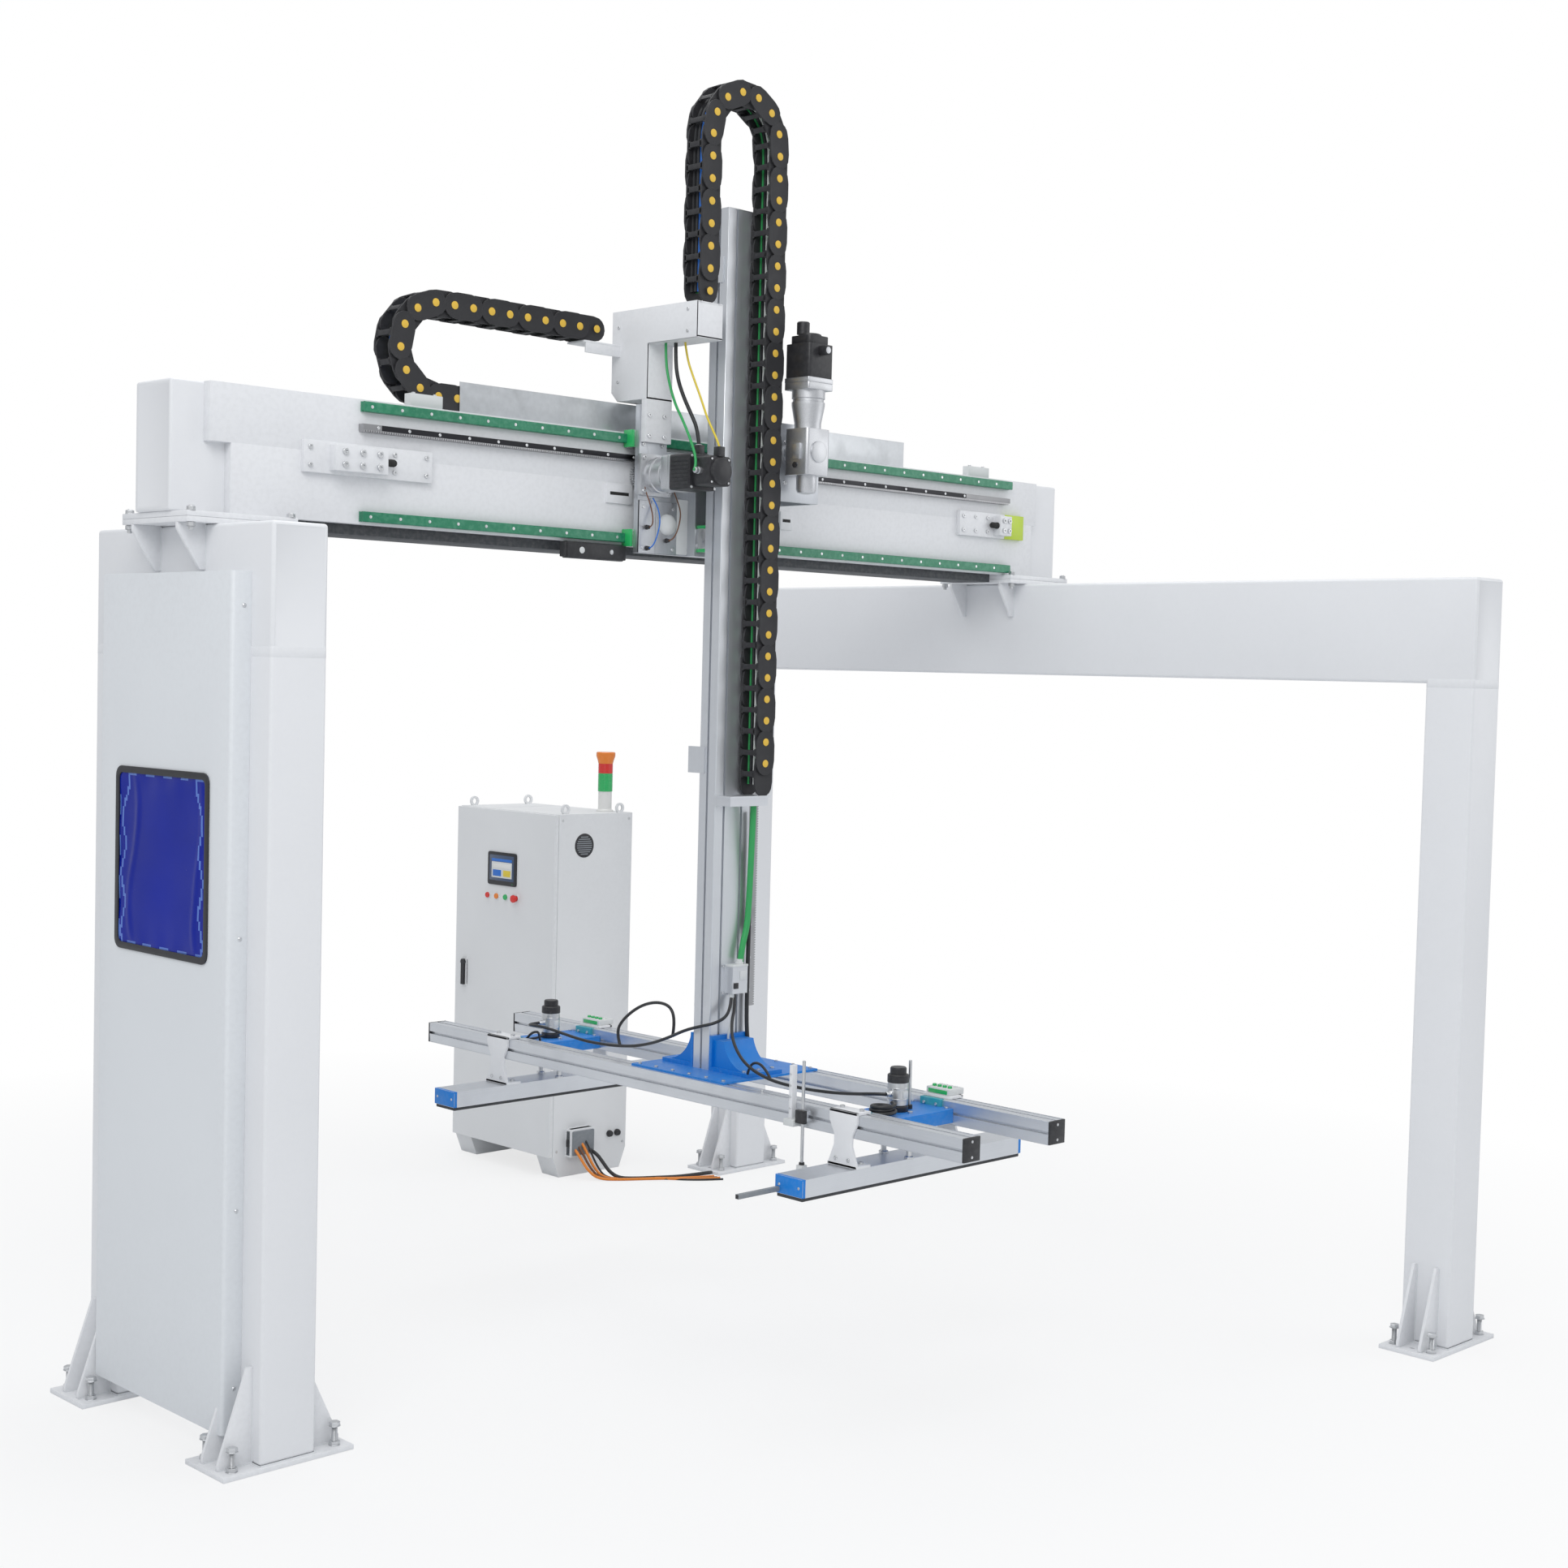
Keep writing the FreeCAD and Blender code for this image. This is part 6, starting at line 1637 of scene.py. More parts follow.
@dataclass
class SideCover(Assembly):
    """The folded cover on the left portal, with its film-covered window."""

    near: float = 115.0
    far: float = 935.0
    low: float = 97.0
    high: float = 2785.0
    deep: float = 68.0
    window: tuple[float, float, float, float] = (240.0, 810.0, 1565.0, 2150.0)

    def build(self) -> None:
        """Make the cover sheet, its screws and the window."""
        shell = cut_sheet(self.sheet_outline(), Axis.Z, self.low, self.high - self.low, 0.8)
        y0, y1, z0, z1 = self.window
        opening = cut_sheet(rounded((y0, z0), (y1, z1), 26.0), Axis.X, -self.deep - 10.0, 40.0)
        carve(shell, opening)
        items = [dress(shell, COVER)]
        for level in (2680.0, 1650.0, 800.0, 240.0):
            for along, way in ((self.near, -1), (self.far, 1)):
                profile = [(7.0, 0.0), (7.0, 1.5 * way), (4.6, 3.6 * way)]
                items.append(dress(turned((-26.0, along, level), Axis.Y, profile, 18), ZINC))
        self.piece("side_cover", items, "white_paint")
        self.window_piece()

    def sheet_outline(self) -> list[Flat]:
        """The plan of the folded sheet: front with rounded folds, open towards the leg.

        Returns:
            The outline's corners.
        """
        fold, steps = 14.0, 5
        outer = [(0.0, self.near)]
        for start, along in ((270, self.near + fold), (180, self.far - fold)):
            for step in range(steps + 1):
                angle = math.radians(start - 90 * step / steps)
                outer.append((-self.deep + fold + fold * math.cos(angle), along + fold * math.sin(angle)))
        return outer + [(0.0, self.far)]

    def window_piece(self) -> None:
        """The gasket, the pane and the loose film over it."""
        y0, y1, z0, z1 = self.window
        ring = cut_sheet(rounded((y0 - 8, z0 - 8), (y1 + 8, z1 + 8), 34.0), Axis.X, -self.deep - 6.0, 6.0)
        inner = rounded((y0 + 14, z0 + 14), (y1 - 14, z1 - 14), 20.0)
        carve(ring, cut_sheet(inner, Axis.X, -self.deep - 9.0, 12.0))
        soften(ring, 1.8, 3)
        pane = self.film(y0 + 2, y1 - 2, z0 + 2, z1 - 2)
        items = [dress(ring, GASKET), self.pale_folds(dress(pane, PANE))]
        self.piece("window_panel", items, "window_pane", 60)

    def film(self, y0: float, y1: float, z0: float, z1: float) -> Item:
        """A slightly puckered film: a subdivided sheet with gentle folds towards its edges.

        Args:
            y0: The film's lowest Y.
            y1: Its highest Y.
            z0: Its lowest Z.
            z1: Its highest Z.

        Returns:
            The film.
        """
        clear()
        centre = metres(-self.deep - 1.0, (y0 + y1) / 2, (z0 + z1) / 2)
        bpy.ops.mesh.primitive_plane_add(size=1.0, location=centre, rotation=(0, math.radians(-90), 0))
        item = bpy.context.object
        item.scale = ((z1 - z0) * MM, (y1 - y0) * MM, 1.0)
        edit(apply_place(item))
        bpy.ops.mesh.subdivide(number_cuts=60)
        bpy.ops.object.mode_set(mode="OBJECT")
        for vertex in item.data.vertices:
            across = (vertex.co.y - centre.y) / ((y1 - y0) * MM)
            up = (vertex.co.z - centre.z) / ((z1 - z0) * MM)
            rim = max(abs(across), abs(up)) * 2
            wave = math.sin(across * 9.0 + up * 4.0) * 0.9 + math.sin(up * 17.0 - across * 5.0) * 0.5
            crease = max(0.0, 1.0 - abs(across - 0.32 + 0.05 * math.sin(up * 6.0)) * 26.0)
            crease += max(0.0, 1.0 - abs(across + 0.4 + 0.04 * math.sin(up * 5.0)) * 30.0)
            curl = math.sin(up * 23.0 + across * 9.0) * 1.6 + math.sin(across * 31.0) * 1.1
            push = (wave * 1.4 + crease * 4.0) * (1.0 - rim**6) + curl * rim**5 - 1.2
            vertex.co.x -= push * MM
        only(item)
        wall = item.modifiers.new("wall", "SOLIDIFY")
        wall.thickness = 1.0 * MM
        wall.offset = 0.0
        bpy.ops.object.modifier_apply(modifier="wall")
        return item

    def pale_folds(self, pane: Item) -> Item:
        """Paint a highlight on the film's arched folds and give its loose, ragged edges the paler film
        colour.

        Args:
            pane: The film.

        Returns:
            The same film.
        """
        y0, y1, z0, z1 = self.window
        centre = metres(0.0, (y0 + y1) / 2, (z0 + z1) / 2)
        pane.data.materials.append(FILM_EDGE_AND_HIGHLIGHT.material())
        for face in pane.data.polygons:
            across = (face.center.y - centre.y) / ((y1 - y0) * MM)
            up = (face.center.z - centre.z) / ((z1 - z0) * MM)
            highlight_arch = abs(across) - 0.43 + 0.34 * max(0.0, up - 0.1) ** 2 + 0.02 * math.sin(up * 19.0)
            ragged = max(abs(across), abs(up)) > 0.472 + 0.012 * math.sin(up * 27.0 + across * 33.0)
            # Faces along the arch get a painted highlight; faces on the ragged rim get the loose film's paler
            # edge.
            if abs(highlight_arch) < 0.009 or ragged:
                face.material_index = 1
        return pane


# Beam


def rail_outline(front: float, back: float, middle: float) -> tuple[Flat, ...]:
    """A linear rail's section (y, z), with its head at the front and a narrower waist.

    Args:
        front: The head's face.
        back: The rail's back.
        middle: The rail's middle line.

    Returns:
        The outline's corners.
    """
    half, waist = 17.0, 12.0
    deep = back - front
    levels = ((0.0, half - 2.0), (2.0, half), (deep * 0.32, half), (deep * 0.42, waist), (deep * 0.62, waist))
    levels += ((deep * 0.72, half), (deep, half))
    upper = [(front + depth, middle + side) for depth, side in levels]
    return tuple(upper + [(depth, 2 * middle - side) for depth, side in reversed(upper)])


RACK_MODULE = 3.0
TOOTH_PITCH = RACK_MODULE * math.pi


@dataclass
class Beam(Assembly):
    """The beam with its face plate, a dark block of painted shade under it, its rails and its rack."""

    rail_start: float = 565.0
    rail_end: float = 3945.0
    rack_start: float = 558.0
    rack_end: float = 3928.0

    def rails(self) -> None:
        """Two film-covered rails with their row of plugs."""
        items = []
        for middle in (3366.0, 3001.0):
            outline = rail_outline(360.0, 385.0, middle)
            rail = cut_sheet(outline, Axis.X, self.rail_start, self.rail_end - self.rail_start, 0.0)
            items.append(dress(rail, FILM))
            spot = (self.rail_start + 30.0, 360.4, middle)
            plug = Turn(spot, Axis.Y, ((5.6, 0), (5.6, -0.6), (4.4, -0.8)), ZINC, 16)
            items.append(row(plug.make(), 28, x=120.0))
        self.piece("x_rails", items, "film_rail")

    def rack(self) -> None:
        """The rack: two ground bars with teeth on their lower side and a row of screws."""
        bar = Box((self.rack_start, 357, 3288), (self.rack_end, 385, 3308), RACK_STEEL, 0.8).make()
        top = Box((632, 356.2, 3289), (3631, 358, 3307), RACK_BLACK, 0.3).make()
        root, tip, half = 3288.5, 3281.2, TOOTH_PITCH / 2
        outline = ((0.5, root), (half - 2.3, tip), (half + 2.3, tip), (TOOTH_PITCH - 0.5, root))
        outline = tuple((self.rack_start + across, up) for across, up in outline)
        tooth = Cut(outline, Axis.Y, 357.5, 27.0, RACK_STEEL, 0.0).make()
        teeth = row(tooth, int((self.rack_end - self.rack_start) / TOOTH_PITCH), x=TOOTH_PITCH)
        screws = row(Screw((618, 356.4, 3298), Axis.Y, 5.5, -2.6).make(), 25, x=125.0)
        self.piece("x_rack", [bar, top, teeth, screws], "rack_steel")

    def body_piece(self) -> None:
        """The painted tube, the face plate in two steps and a dark block under the tube: painted shade for
        the beam's underside.
        """
        tube = block((-111, 425, 2976), (4330, 645, 3391), 9.0, 4)
        press(tube, lambda normal: abs(normal.x) > 0.99, 8.0, 3.0)
        items = [dress(tube, BEAM_WHITE)]
        items.append(Box((81, 385, 2976), (4113, 426, 3203.5), BEAM_WHITE, 1.6).make())
        items.append(Box((4, 385, 3202.5), (4143, 426, 3391), BEAM_WHITE, 1.6).make())
        # Painted shade: a dark block under the tube stands for the shade on the beam's underside.
        items.append(Box((330, 431, 2942), (3890, 639, 2977), UNDERSIDE_SHADE, 1.5).make())
        self.piece("main_beam", items, "beam_paint", 40)

    def build(self) -> None:
        """Model the beam's pieces."""
        self.body_piece()
        self.rails()
        self.rack()


def rubber_buffer(x: float, way: int) -> Turn:
    """A stepped rubber buffer on an end stop.

    Args:
        x: Where it starts.
        way: 1 or -1, the way it points along X.

    Returns:
        The buffer.
    """
    steps = ((14, 0), (14, 10), (11, 16), (13, 22), (13, 36), (9, 43))
    profile = tuple((radius, way * reach) for radius, reach in steps)
    return Turn((x, 345, 3184.5), Axis.X, profile, RUBBER, 28)


STOPS = Details(
    "frame", "end_stops",
    (
        Box((338, 365, 3132), (845, 385.5, 3237), BEAM_WHITE, 1.2),
        Box((434, 325, 3142), (639, 366, 3227), BEAM_WHITE, 2.0),
        rubber_buffer(638, 1),
        Box((3605, 365, 3132), (3904, 385.5, 3237), BEAM_WHITE, 1.2),
        Box((3905, 364.5, 3132), (4033, 385.5, 3237), LIME, 1.2),
        Box((3830, 325, 3142), (3905, 366, 3227), BEAM_WHITE, 2.0),
        rubber_buffer(3831, -1),
        Box((1633, 376.8, 3126), (1757, 385.2, 3198), BEAM_WHITE, 1.0),
        Box((1650, 376.2, 3156), (1740, 377.4, 3168), RUBBER, 0.4),
        Box((2533, 376.8, 3085), (2599, 385.2, 3157), BEAM_WHITE, 1.0),
        Box((2545, 376.2, 3115), (2588, 377.4, 3127), RUBBER, 0.4),
        *bolts_row((468, 325.2, 3163), Axis.Y, 11.0, -9.0, 3, (68, 0, 0), 2, (0, 0, 43)),
        *bolts_row((360, 365.2, 3155), Axis.Y, 8.0, -7.0, 2, (0, 0, 60)),
        *bolts_row((690, 365.2, 3155), Axis.Y, 8.0, -7.0, 2, (130, 0, 0), 2, (0, 0, 60)),
        *bolts_row((3850, 325.2, 3163), Axis.Y, 10.0, -9.0, 2, (36, 0, 0), 2, (0, 0, 43)),
        *bolts_row((3625, 365.2, 3155), Axis.Y, 8.0, -7.0, 3, (80, 0, 0), 2, (0, 0, 60)),
    ),
    "stop_steel",
)
TRAY = Details(
    "frame", "cable_tray",
    (
        Box((1000, 426, 3391), (3300, 559, 3394), GALVANISED, 0.5),
        Box((1000, 426, 3392), (3300, 429, 3500), GALVANISED, 0.6),
        Box((1000, 556, 3392), (3300, 559, 3451), GALVANISED, 0.6),
        Box((767, 388, 3391), (901, 425, 3434), SHELL, 2.0),
        Box((3681, 388, 3391), (3815, 425, 3434), SHELL, 2.0),
        Box((3304, 470, 3391), (3681, 520, 3402), RUBBER, 2.5),
        Box((901, 470, 3391), (998, 520, 3400), RUBBER, 2.5),
        *bolts_row((790, 406, 3434), Axis.Z, 7.0, 6.0, 2, (88, 0, 0), 2, (2914, 0, 0)),
        *bolts_row((1060, 440, 3394), Axis.Z, 6.0, 3.0, 8, (310, 0, 0)),
    ),
)


# Carriage


def square_ring(x: float, z: float, half: float, corner: float) -> tuple[Flat, ...]:
    """A square with rounded corners round a centre, as an outline."""
    return tuple(rounded((x - half, z - half), (x + half, z + half), corner, 4))


def corner_screws(
    x: float, z: float, reach: float, y: float, radius: float, high: float
) -> tuple[Shape, ...]:
    """Four screws in the corners of a square flange that faces -Y."""
    corners = [(x + a, y, z + b) for a in (-reach, reach) for b in (-reach, reach)]
    return tuple(Screw(corner, Axis.Y, radius, -high) for corner in corners)


def guide_block(low: Place, high: Place, up: bool) -> tuple[Shape, ...]:
    """A rail's guide block: a steel body between green end plates.

    Args:
        low: The lowest corner.
        high: The opposite corner.
        up: If the rail runs upright.

    Returns:
        The body and its end plates.
    """
    x0, y0, z0 = low
    x1, y1, z1 = high
    if up:
        body = Box((x0, y0, z0 + 12), (x1, y1, z1 - 12), STEEL, 2.0)
        ends = ((x0 + 1, x1 - 1, z0, z0 + 12.5), (x0 + 1, x1 - 1, z1 - 12.5, z1))
    else:
        body = Box((x0 + 12, y0, z0), (x1 - 12, y1, z1), STEEL, 2.0)
        ends = ((x0, x0 + 12.5, z0 + 1, z1 - 1), (x1 - 12.5, x1, z0 + 1, z1 - 1))
    return (body, *(Box((a, y0 + 1, c), (b, y1 - 1, d), GREEN, 2.0) for a, b, c, d in ends))


PROBE = ((9, 0), (9, -12), (7, -13), (7, -22), (4, -24))
PLATES = Details(
    "carriage", "carriage_plates",
    (
        Box((1725, 298, 2945), (1805, 306.5, 3140), GREY, 1.0),
        Box((1806, 298, 2945), (1911, 306.5, 3140), GREY, 1.0),
        Box((1911, 299, 2950), (1967, 306.5, 3154), SHELL, 1.0),
        *bolts_row((1745, 298.2, 2965), Axis.Y, 6.0, -4.0, 2, (0, 0, 150), 2, (147, 0, 0)),
        *bolts_row((2200, 306.4, 2975), Axis.Y, 8.5, -7.0, 3, (72, 0, 0)),
        *bolts_row((2170, 306.4, 3040), Axis.Y, 8.5, -7.0, 2, (0, 0, 90), 2, (180, 0, 0)),
        *bolts_row((1745, 306.4, 3345), Axis.Y, 7.0, -6.0, 2, (92, 0, 0)),
        *(Turn((x, 306, z), Axis.Y, PROBE, BLACK, 20) for x, z in ((1762, 3041), (1764, 2964), (1860, 2997))),
        Turn((1863, 306, 3056), Axis.Y, ((40, 0), (40, -10), (36, -20), (25, -29), (10, -33)), SHELL, 32),
        Box((1967.5, 257.5, 2946), (2146.5, 305, 2990), PLATE, 2.0),
    ),
)
GUIDES = Details(
    "carriage", "guide_blocks",
    tuple(
        shape
        for x in (1712, 2298)
        for z in (3333, 2968)
        for shape in guide_block((x, 330, z), (x + 100, 381, z + 66), False)
    )
    + tuple(
        shape
        for x in (1974, 2074)
        for z in (2960, 3210)
        for shape in guide_block((x, 206, z), (x + 66, 258, z + 100), True)
    ),
)
BRACKET_FACE = ((15, 3710), (280, 3710), (280, 3508), (444, 3508), (478, 3542), (478, 3840), (15, 3840))
BRACKET = Details(
    "carriage", "carriage_bracket",
    (
        Cut(BRACKET_FACE, Axis.X, 1730, 8, WHITE, 1.2),
        Box((1731, 15, 3832), (1858, 478, 3840), WHITE, 1.2),
        Box((1731, 15, 3711), (1858, 23, 3839), WHITE, 1.2),
        Box((1731, 15, 3710), (1858, 288, 3718), WHITE, 1.2),
        Box((1731, 280, 3352), (1858, 306, 3717), WHITE, 1.6),
        Box((1731, 470, 3540), (1858, 478, 3839), WHITE, 1.2),
        Box((1731, 280, 3508), (1858, 446, 3516), WHITE, 1.2),
        Box((1557, 430, 3706.5), (1731, 530, 3714.5), WHITE, 1.2),
        Box((1565, 430, 3670.5), (1731, 438, 3707), WHITE, 1.2),
        *bolts_row((1747, 280.2, 3375), Axis.Y, 8.0, -7.0, 2, (73, 0, 0), 2, (0, 0, 75)),
        *bolts_row((1585, 445, 3714.5), Axis.Z, 6.0, 5.0, 2, (0, 70, 0)),
        *bolts_row((1730.2, 60, 3735), Axis.X, 6.0, -4.0, 2, (0, 0, 78)),
        *bolts_row((1730.2, 440, 3580), Axis.X, 6.0, -4.0, 2, (0, 0, 200)),
    ),
)
X_DRIVE_X, X_DRIVE_Z = 1795.0, 3233.0
X_GEAR = Details(
    "carriage", "x_gearbox",
    (
        Cut(square_ring(X_DRIVE_X, X_DRIVE_Z, 77, 8), Axis.Y, 286, 20, CAST, 1.6),
        Turn(
            (X_DRIVE_X, 190, X_DRIVE_Z),
            Axis.Y,
            (
                (62, 0), (62, 12), (66, 14), (66, 26), (62, 28),
                (62, 62), (66, 64), (66, 80), (62, 82), (62, 96.5),
            ),
            CAST, 56,
        ),
        Cut(square_ring(X_DRIVE_X, X_DRIVE_Z, 65, 10), Axis.Y, 156, 34, CAST, 1.6),
        *corner_screws(X_DRIVE_X, X_DRIVE_Z, 62, 286.2, 8.0, 8.0),
        *corner_screws(X_DRIVE_X, X_DRIVE_Z, 52, 156.2, 6.5, 5.0),
    ),
    "gear_silver",
)


def ribbed_motor(x: float, z: float, low: float, high: float) -> tuple[Shape, ...]:
    """The long fins on the four sides of a motor whose axis is Y.

    Args:
        x: The motor's axis in X.
        z: The motor's axis in Z.
        low: The fins' near end.
        high: The fins' far end.

    Returns:
        The fins.
    """
    fins = []
    for index in range(-3, 4):
        across = index * 14.0
        fins.append(Box((x + across - 4, low, z + 63.5), (x + across + 4, high, z + 66.0), BLACK, 0.8))
        fins.append(Box((x - 66.0, low, z + across - 4), (x - 63.5, high, z + across + 4), BLACK, 0.8))
    return tuple(fins)


X_MOTOR = Details(
    "carriage", "x_motor",
    (
        Cut(square_ring(X_DRIVE_X, X_DRIVE_Z, 64, 9), Axis.Y, 33, 110, BLACK, 1.4),
        Cut(square_ring(X_DRIVE_X, X_DRIVE_Z, 65, 6), Axis.Y, 142, 14, CAST, 1.2),
        Cut(square_ring(X_DRIVE_X, X_DRIVE_Z, 53, 14), Axis.Y, -58, 92, BLACK, 2.5),
        Turn((X_DRIVE_X, -57, X_DRIVE_Z), Axis.Y, ((49, 0), (47, -12), (38, -18), (10, -19)), BLACK, 44),
        Box((X_DRIVE_X - 15, 43, 3296), (X_DRIVE_X + 15, 73, 3332), BLACK, 2.5),
        Turn((X_DRIVE_X, 58, 3320), Axis.Z, ((12.5, 0), (12.5, 12.5), (11, 14)), CAST, 28),
        Box((X_DRIVE_X - 15, -66, 3284), (X_DRIVE_X + 15, -36, 3320), BLACK, 2.5),
        Turn(
            (X_DRIVE_X - 53, -10, X_DRIVE_Z), Axis.X,
            ((13, 0), (13, -12), (11, -13), (11, -26), (8, -28)), CAST, 28,
        ),
        *ribbed_motor(X_DRIVE_X, X_DRIVE_Z, 38, 138),
        *corner_screws(X_DRIVE_X, X_DRIVE_Z, 56, 33.2, 5.0, 4.0),
        *corner_screws(X_DRIVE_X, X_DRIVE_Z, 41, -57.8, 4.0, 3.0),
    ),
    "black_metal",
)
Z_DRIVE_X, Z_DRIVE_Y = 2250.0, -42.0


def upright(half: float, low: float, high: float, corner: float, finish: Finish) -> Cut:
    """A square body with rounded corners round the Z drive's axis.

    Args:
        half: Half the body's width.
        low: Its lower end.
        high: Its upper end.
        corner: The corners' radius.
        finish: Its finish.

    Returns:
        The body.
    """
    low_corner = (Z_DRIVE_X - half, Z_DRIVE_Y - half)
    high_corner = (Z_DRIVE_X + half, Z_DRIVE_Y + half)
    return Cut(tuple(rounded(low_corner, high_corner, corner, 4)), Axis.Z, low, high - low, finish, 1.4)


Z_GEAR = Details(
    "carriage", "z_gearbox",
    (
        upright(60, 3253, 3425, 12, CAST),
        Turn((Z_DRIVE_X, 17, 3339), Axis.Y, ((50, 0), (50, 15), (46, 23)), CAST, 48),
        Turn((Z_DRIVE_X, Z_DRIVE_Y, 3254), Axis.Z, ((38, 0), (38, -52), (33, -64), (12, -69)), CAST, 40),
        Turn(
            (Z_DRIVE_X, Z_DRIVE_Y, 3424),
            Axis.Z,
            ((50, 0), (50, 23), (62, 88), (62, 100), (58, 102), (58, 112), (62, 114), (62, 145)),
            CAST, 48,
        ),
        upright(65, 3568, 3594, 8, CAST),
        Box((2181, -70, 3310), (2191, -20, 3370), CAST, 3.0),
        Turn((2190, Z_DRIVE_Y, 3290), Axis.X, ((11, 0), (11, -5), (7, -6)), BLACK, 24),
        Turn((Z_DRIVE_X, -102, 3339), Axis.Y, ((40, 0), (40, -5), (34, -7)), CAST, 40),
        Box((2187, 40, 3160), (2399, 60, 3450), PLATE, 2.0),
        Box((2385, 60, 3160), (2399, 112, 3450), PLATE, 1.5),
        Box((2385, 254, 3160), (2399, 330, 3450), PLATE, 1.5),
        Box((2385, 110, 3160), (2399, 256, 3212), PLATE, 1.5),
        Box((2385, 110, 3338), (2399, 256, 3450), PLATE, 1.5),
        *corner_screws(2293, 3305, 76, 40.2, 8.0, 6.0),
    ),
    "gear_silver",
)
Z_MOTOR = Details(
    "carriage", "z_motor",
    (
        upright(65, 3594, 3612, 6, CAST),
        upright(63.5, 3612, 3737, 12, BLACK),
        upright(53, 3736, 3768, 18, BLACK),
        Turn((Z_DRIVE_X, Z_DRIVE_Y, 3767), Axis.Z, ((44, 0), (43, 8), (36, 11.5), (10, 12)), BLACK, 44),
        Turn(
            (Z_DRIVE_X - 18, Z_DRIVE_Y + 18, 3776), Axis.Z,
            ((24, 0), (24, 42), (21, 46), (8, 47)), BLACK, 36,
        ),
        Box((2235, -141, 3696), (2265, -105, 3728), BLACK, 2.5),
        Turn((2250, -139, 3711), Axis.Y, ((12.5, 0), (12.5, -2), (10, -2.8)), CAST, 28),
    ),
    "black_metal",
)
LUBE = Details(
    "carriage", "lubricator",
    (
        Cut(tuple(rounded((350, 2912), (383, 2974), 9, 5)), Axis.X, 1432, 268, BLACK, 1.5),
        Box((1420, 352, 2916), (1434, 381, 2970), PLASTIC, 3.0),
        Box((1698, 352, 2916), (1712, 381, 2970), PLASTIC, 3.0),
        Turn((1500, 350.5, 2943), Axis.Y, ((12, 0), (12, -2), (10, -3)), SHELL, 28),
        Turn((1640, 350.5, 2943), Axis.Y, ((9, 0), (9, -2), (7, -3)), ZINC, 24),
    ),
)


@dataclass
class Pinion(Assembly):
    """A spur gear with its hub and screws, made from one tooth turned round its axis."""

    node: str
    x: float
    z: float
    low: float
    high: float
    spindle: float
    tip: float = 54.0
    root: float = 47.0
    teeth: int = 34

    def outline(self) -> list[Flat]:
        """The toothed outline in (x, z).

        Returns:
            The outline's corners.
        """
        corners = []
        step = 2 * math.pi / self.teeth
        for tooth in range(self.teeth):
            start = tooth * step
            for share, tall in ((0.0, False), (0.2, False), (0.36, True), (0.6, True), (0.78, False)):
                radius = self.tip if tall else self.root
                angle = start + share * step
                corners.append((self.x + radius * math.cos(angle), self.z + radius * math.sin(angle)))
        return corners

    def build(self) -> None:
        """Model the gear, its shaft and end screw."""
        wheel = cut_sheet(self.outline(), Axis.Y, self.low, self.high - self.low, 0.0)
        reach = self.low - self.spindle + 2
        shaft = turned((self.x, self.spindle, self.z), Axis.Y, [(16, 0), (16, reach)], 32)
        hub = turned((self.x, self.high, self.z), Axis.Y, [(26, 0), (26, 1.5), (10, 1.6)], 32)
        screw = Screw((self.x, self.high + 1.4, self.z), Axis.Y, 9.0, 2.4).make()
        items = [dress(wheel, STEEL), dress(shaft, STEEL), dress(hub, RACK_STEEL), screw]
        self.piece(self.node, items, "", 25)


PINIONS = (
    Pinion("x_wheel", "x_pinion", X_DRIVE_X, X_DRIVE_Z, 358.0, 376.0, 306.0),
    Pinion("z_wheel", "z_pinion", Z_DRIVE_X, 3339.0, 121.0, 139.0, 40.0),
)


# Column and gripper


FOOT_BOLTS = Details(
    "arm", "foot_bolts",
    (
        *bolts_row((1985, -60, 1039.5), Axis.Z, 8.0, 7.0, 3, (72, 0, 0)),
        *bolts_row((1992, 98.2, 1128), Axis.Y, 8.0, -6.0, 2, (130, 0, 0)),
        *bolts_row((1852, -90, 1025.8), Axis.Z, 7.0, 6.0, 6, (0, 92, 0), 2, (450, 0, 0)),
        *bolts_row((1992, 225, 1026), Axis.Z, 8.0, 7.0, 2, (130, 0, 0)),
    ),
)


def tag(x: float, y: float) -> tuple[Shape, ...]:
    """A white valve block with green push-in fittings on a gripper rail.

    Args:
        x: The block's middle in X.
        y: The block's middle in Y.

    Returns:
        The block and its fittings.
    """
    shapes: list[Shape] = [Box((x - 40, y - 55, 1027.8), (x + 40, y + 55, 1052), SHELL, 4.0)]
    for along in (-36, -12, 12, 36):
        shapes.append(Turn((x - 16, y + along, 1051), Axis.Z, ((8, 0), (8, 7), (6, 9)), GREEN, 20))
        shapes.append(Turn((x + 18, y + along, 1051), Axis.Z, ((6, 0), (6, 4), (5, 5)), SHELL, 20))
    shapes.append(Box((x - 41.5, y - 44, 1032), (x - 39, y + 44, 1046), GREEN, 0.6))
    return tuple(shapes)


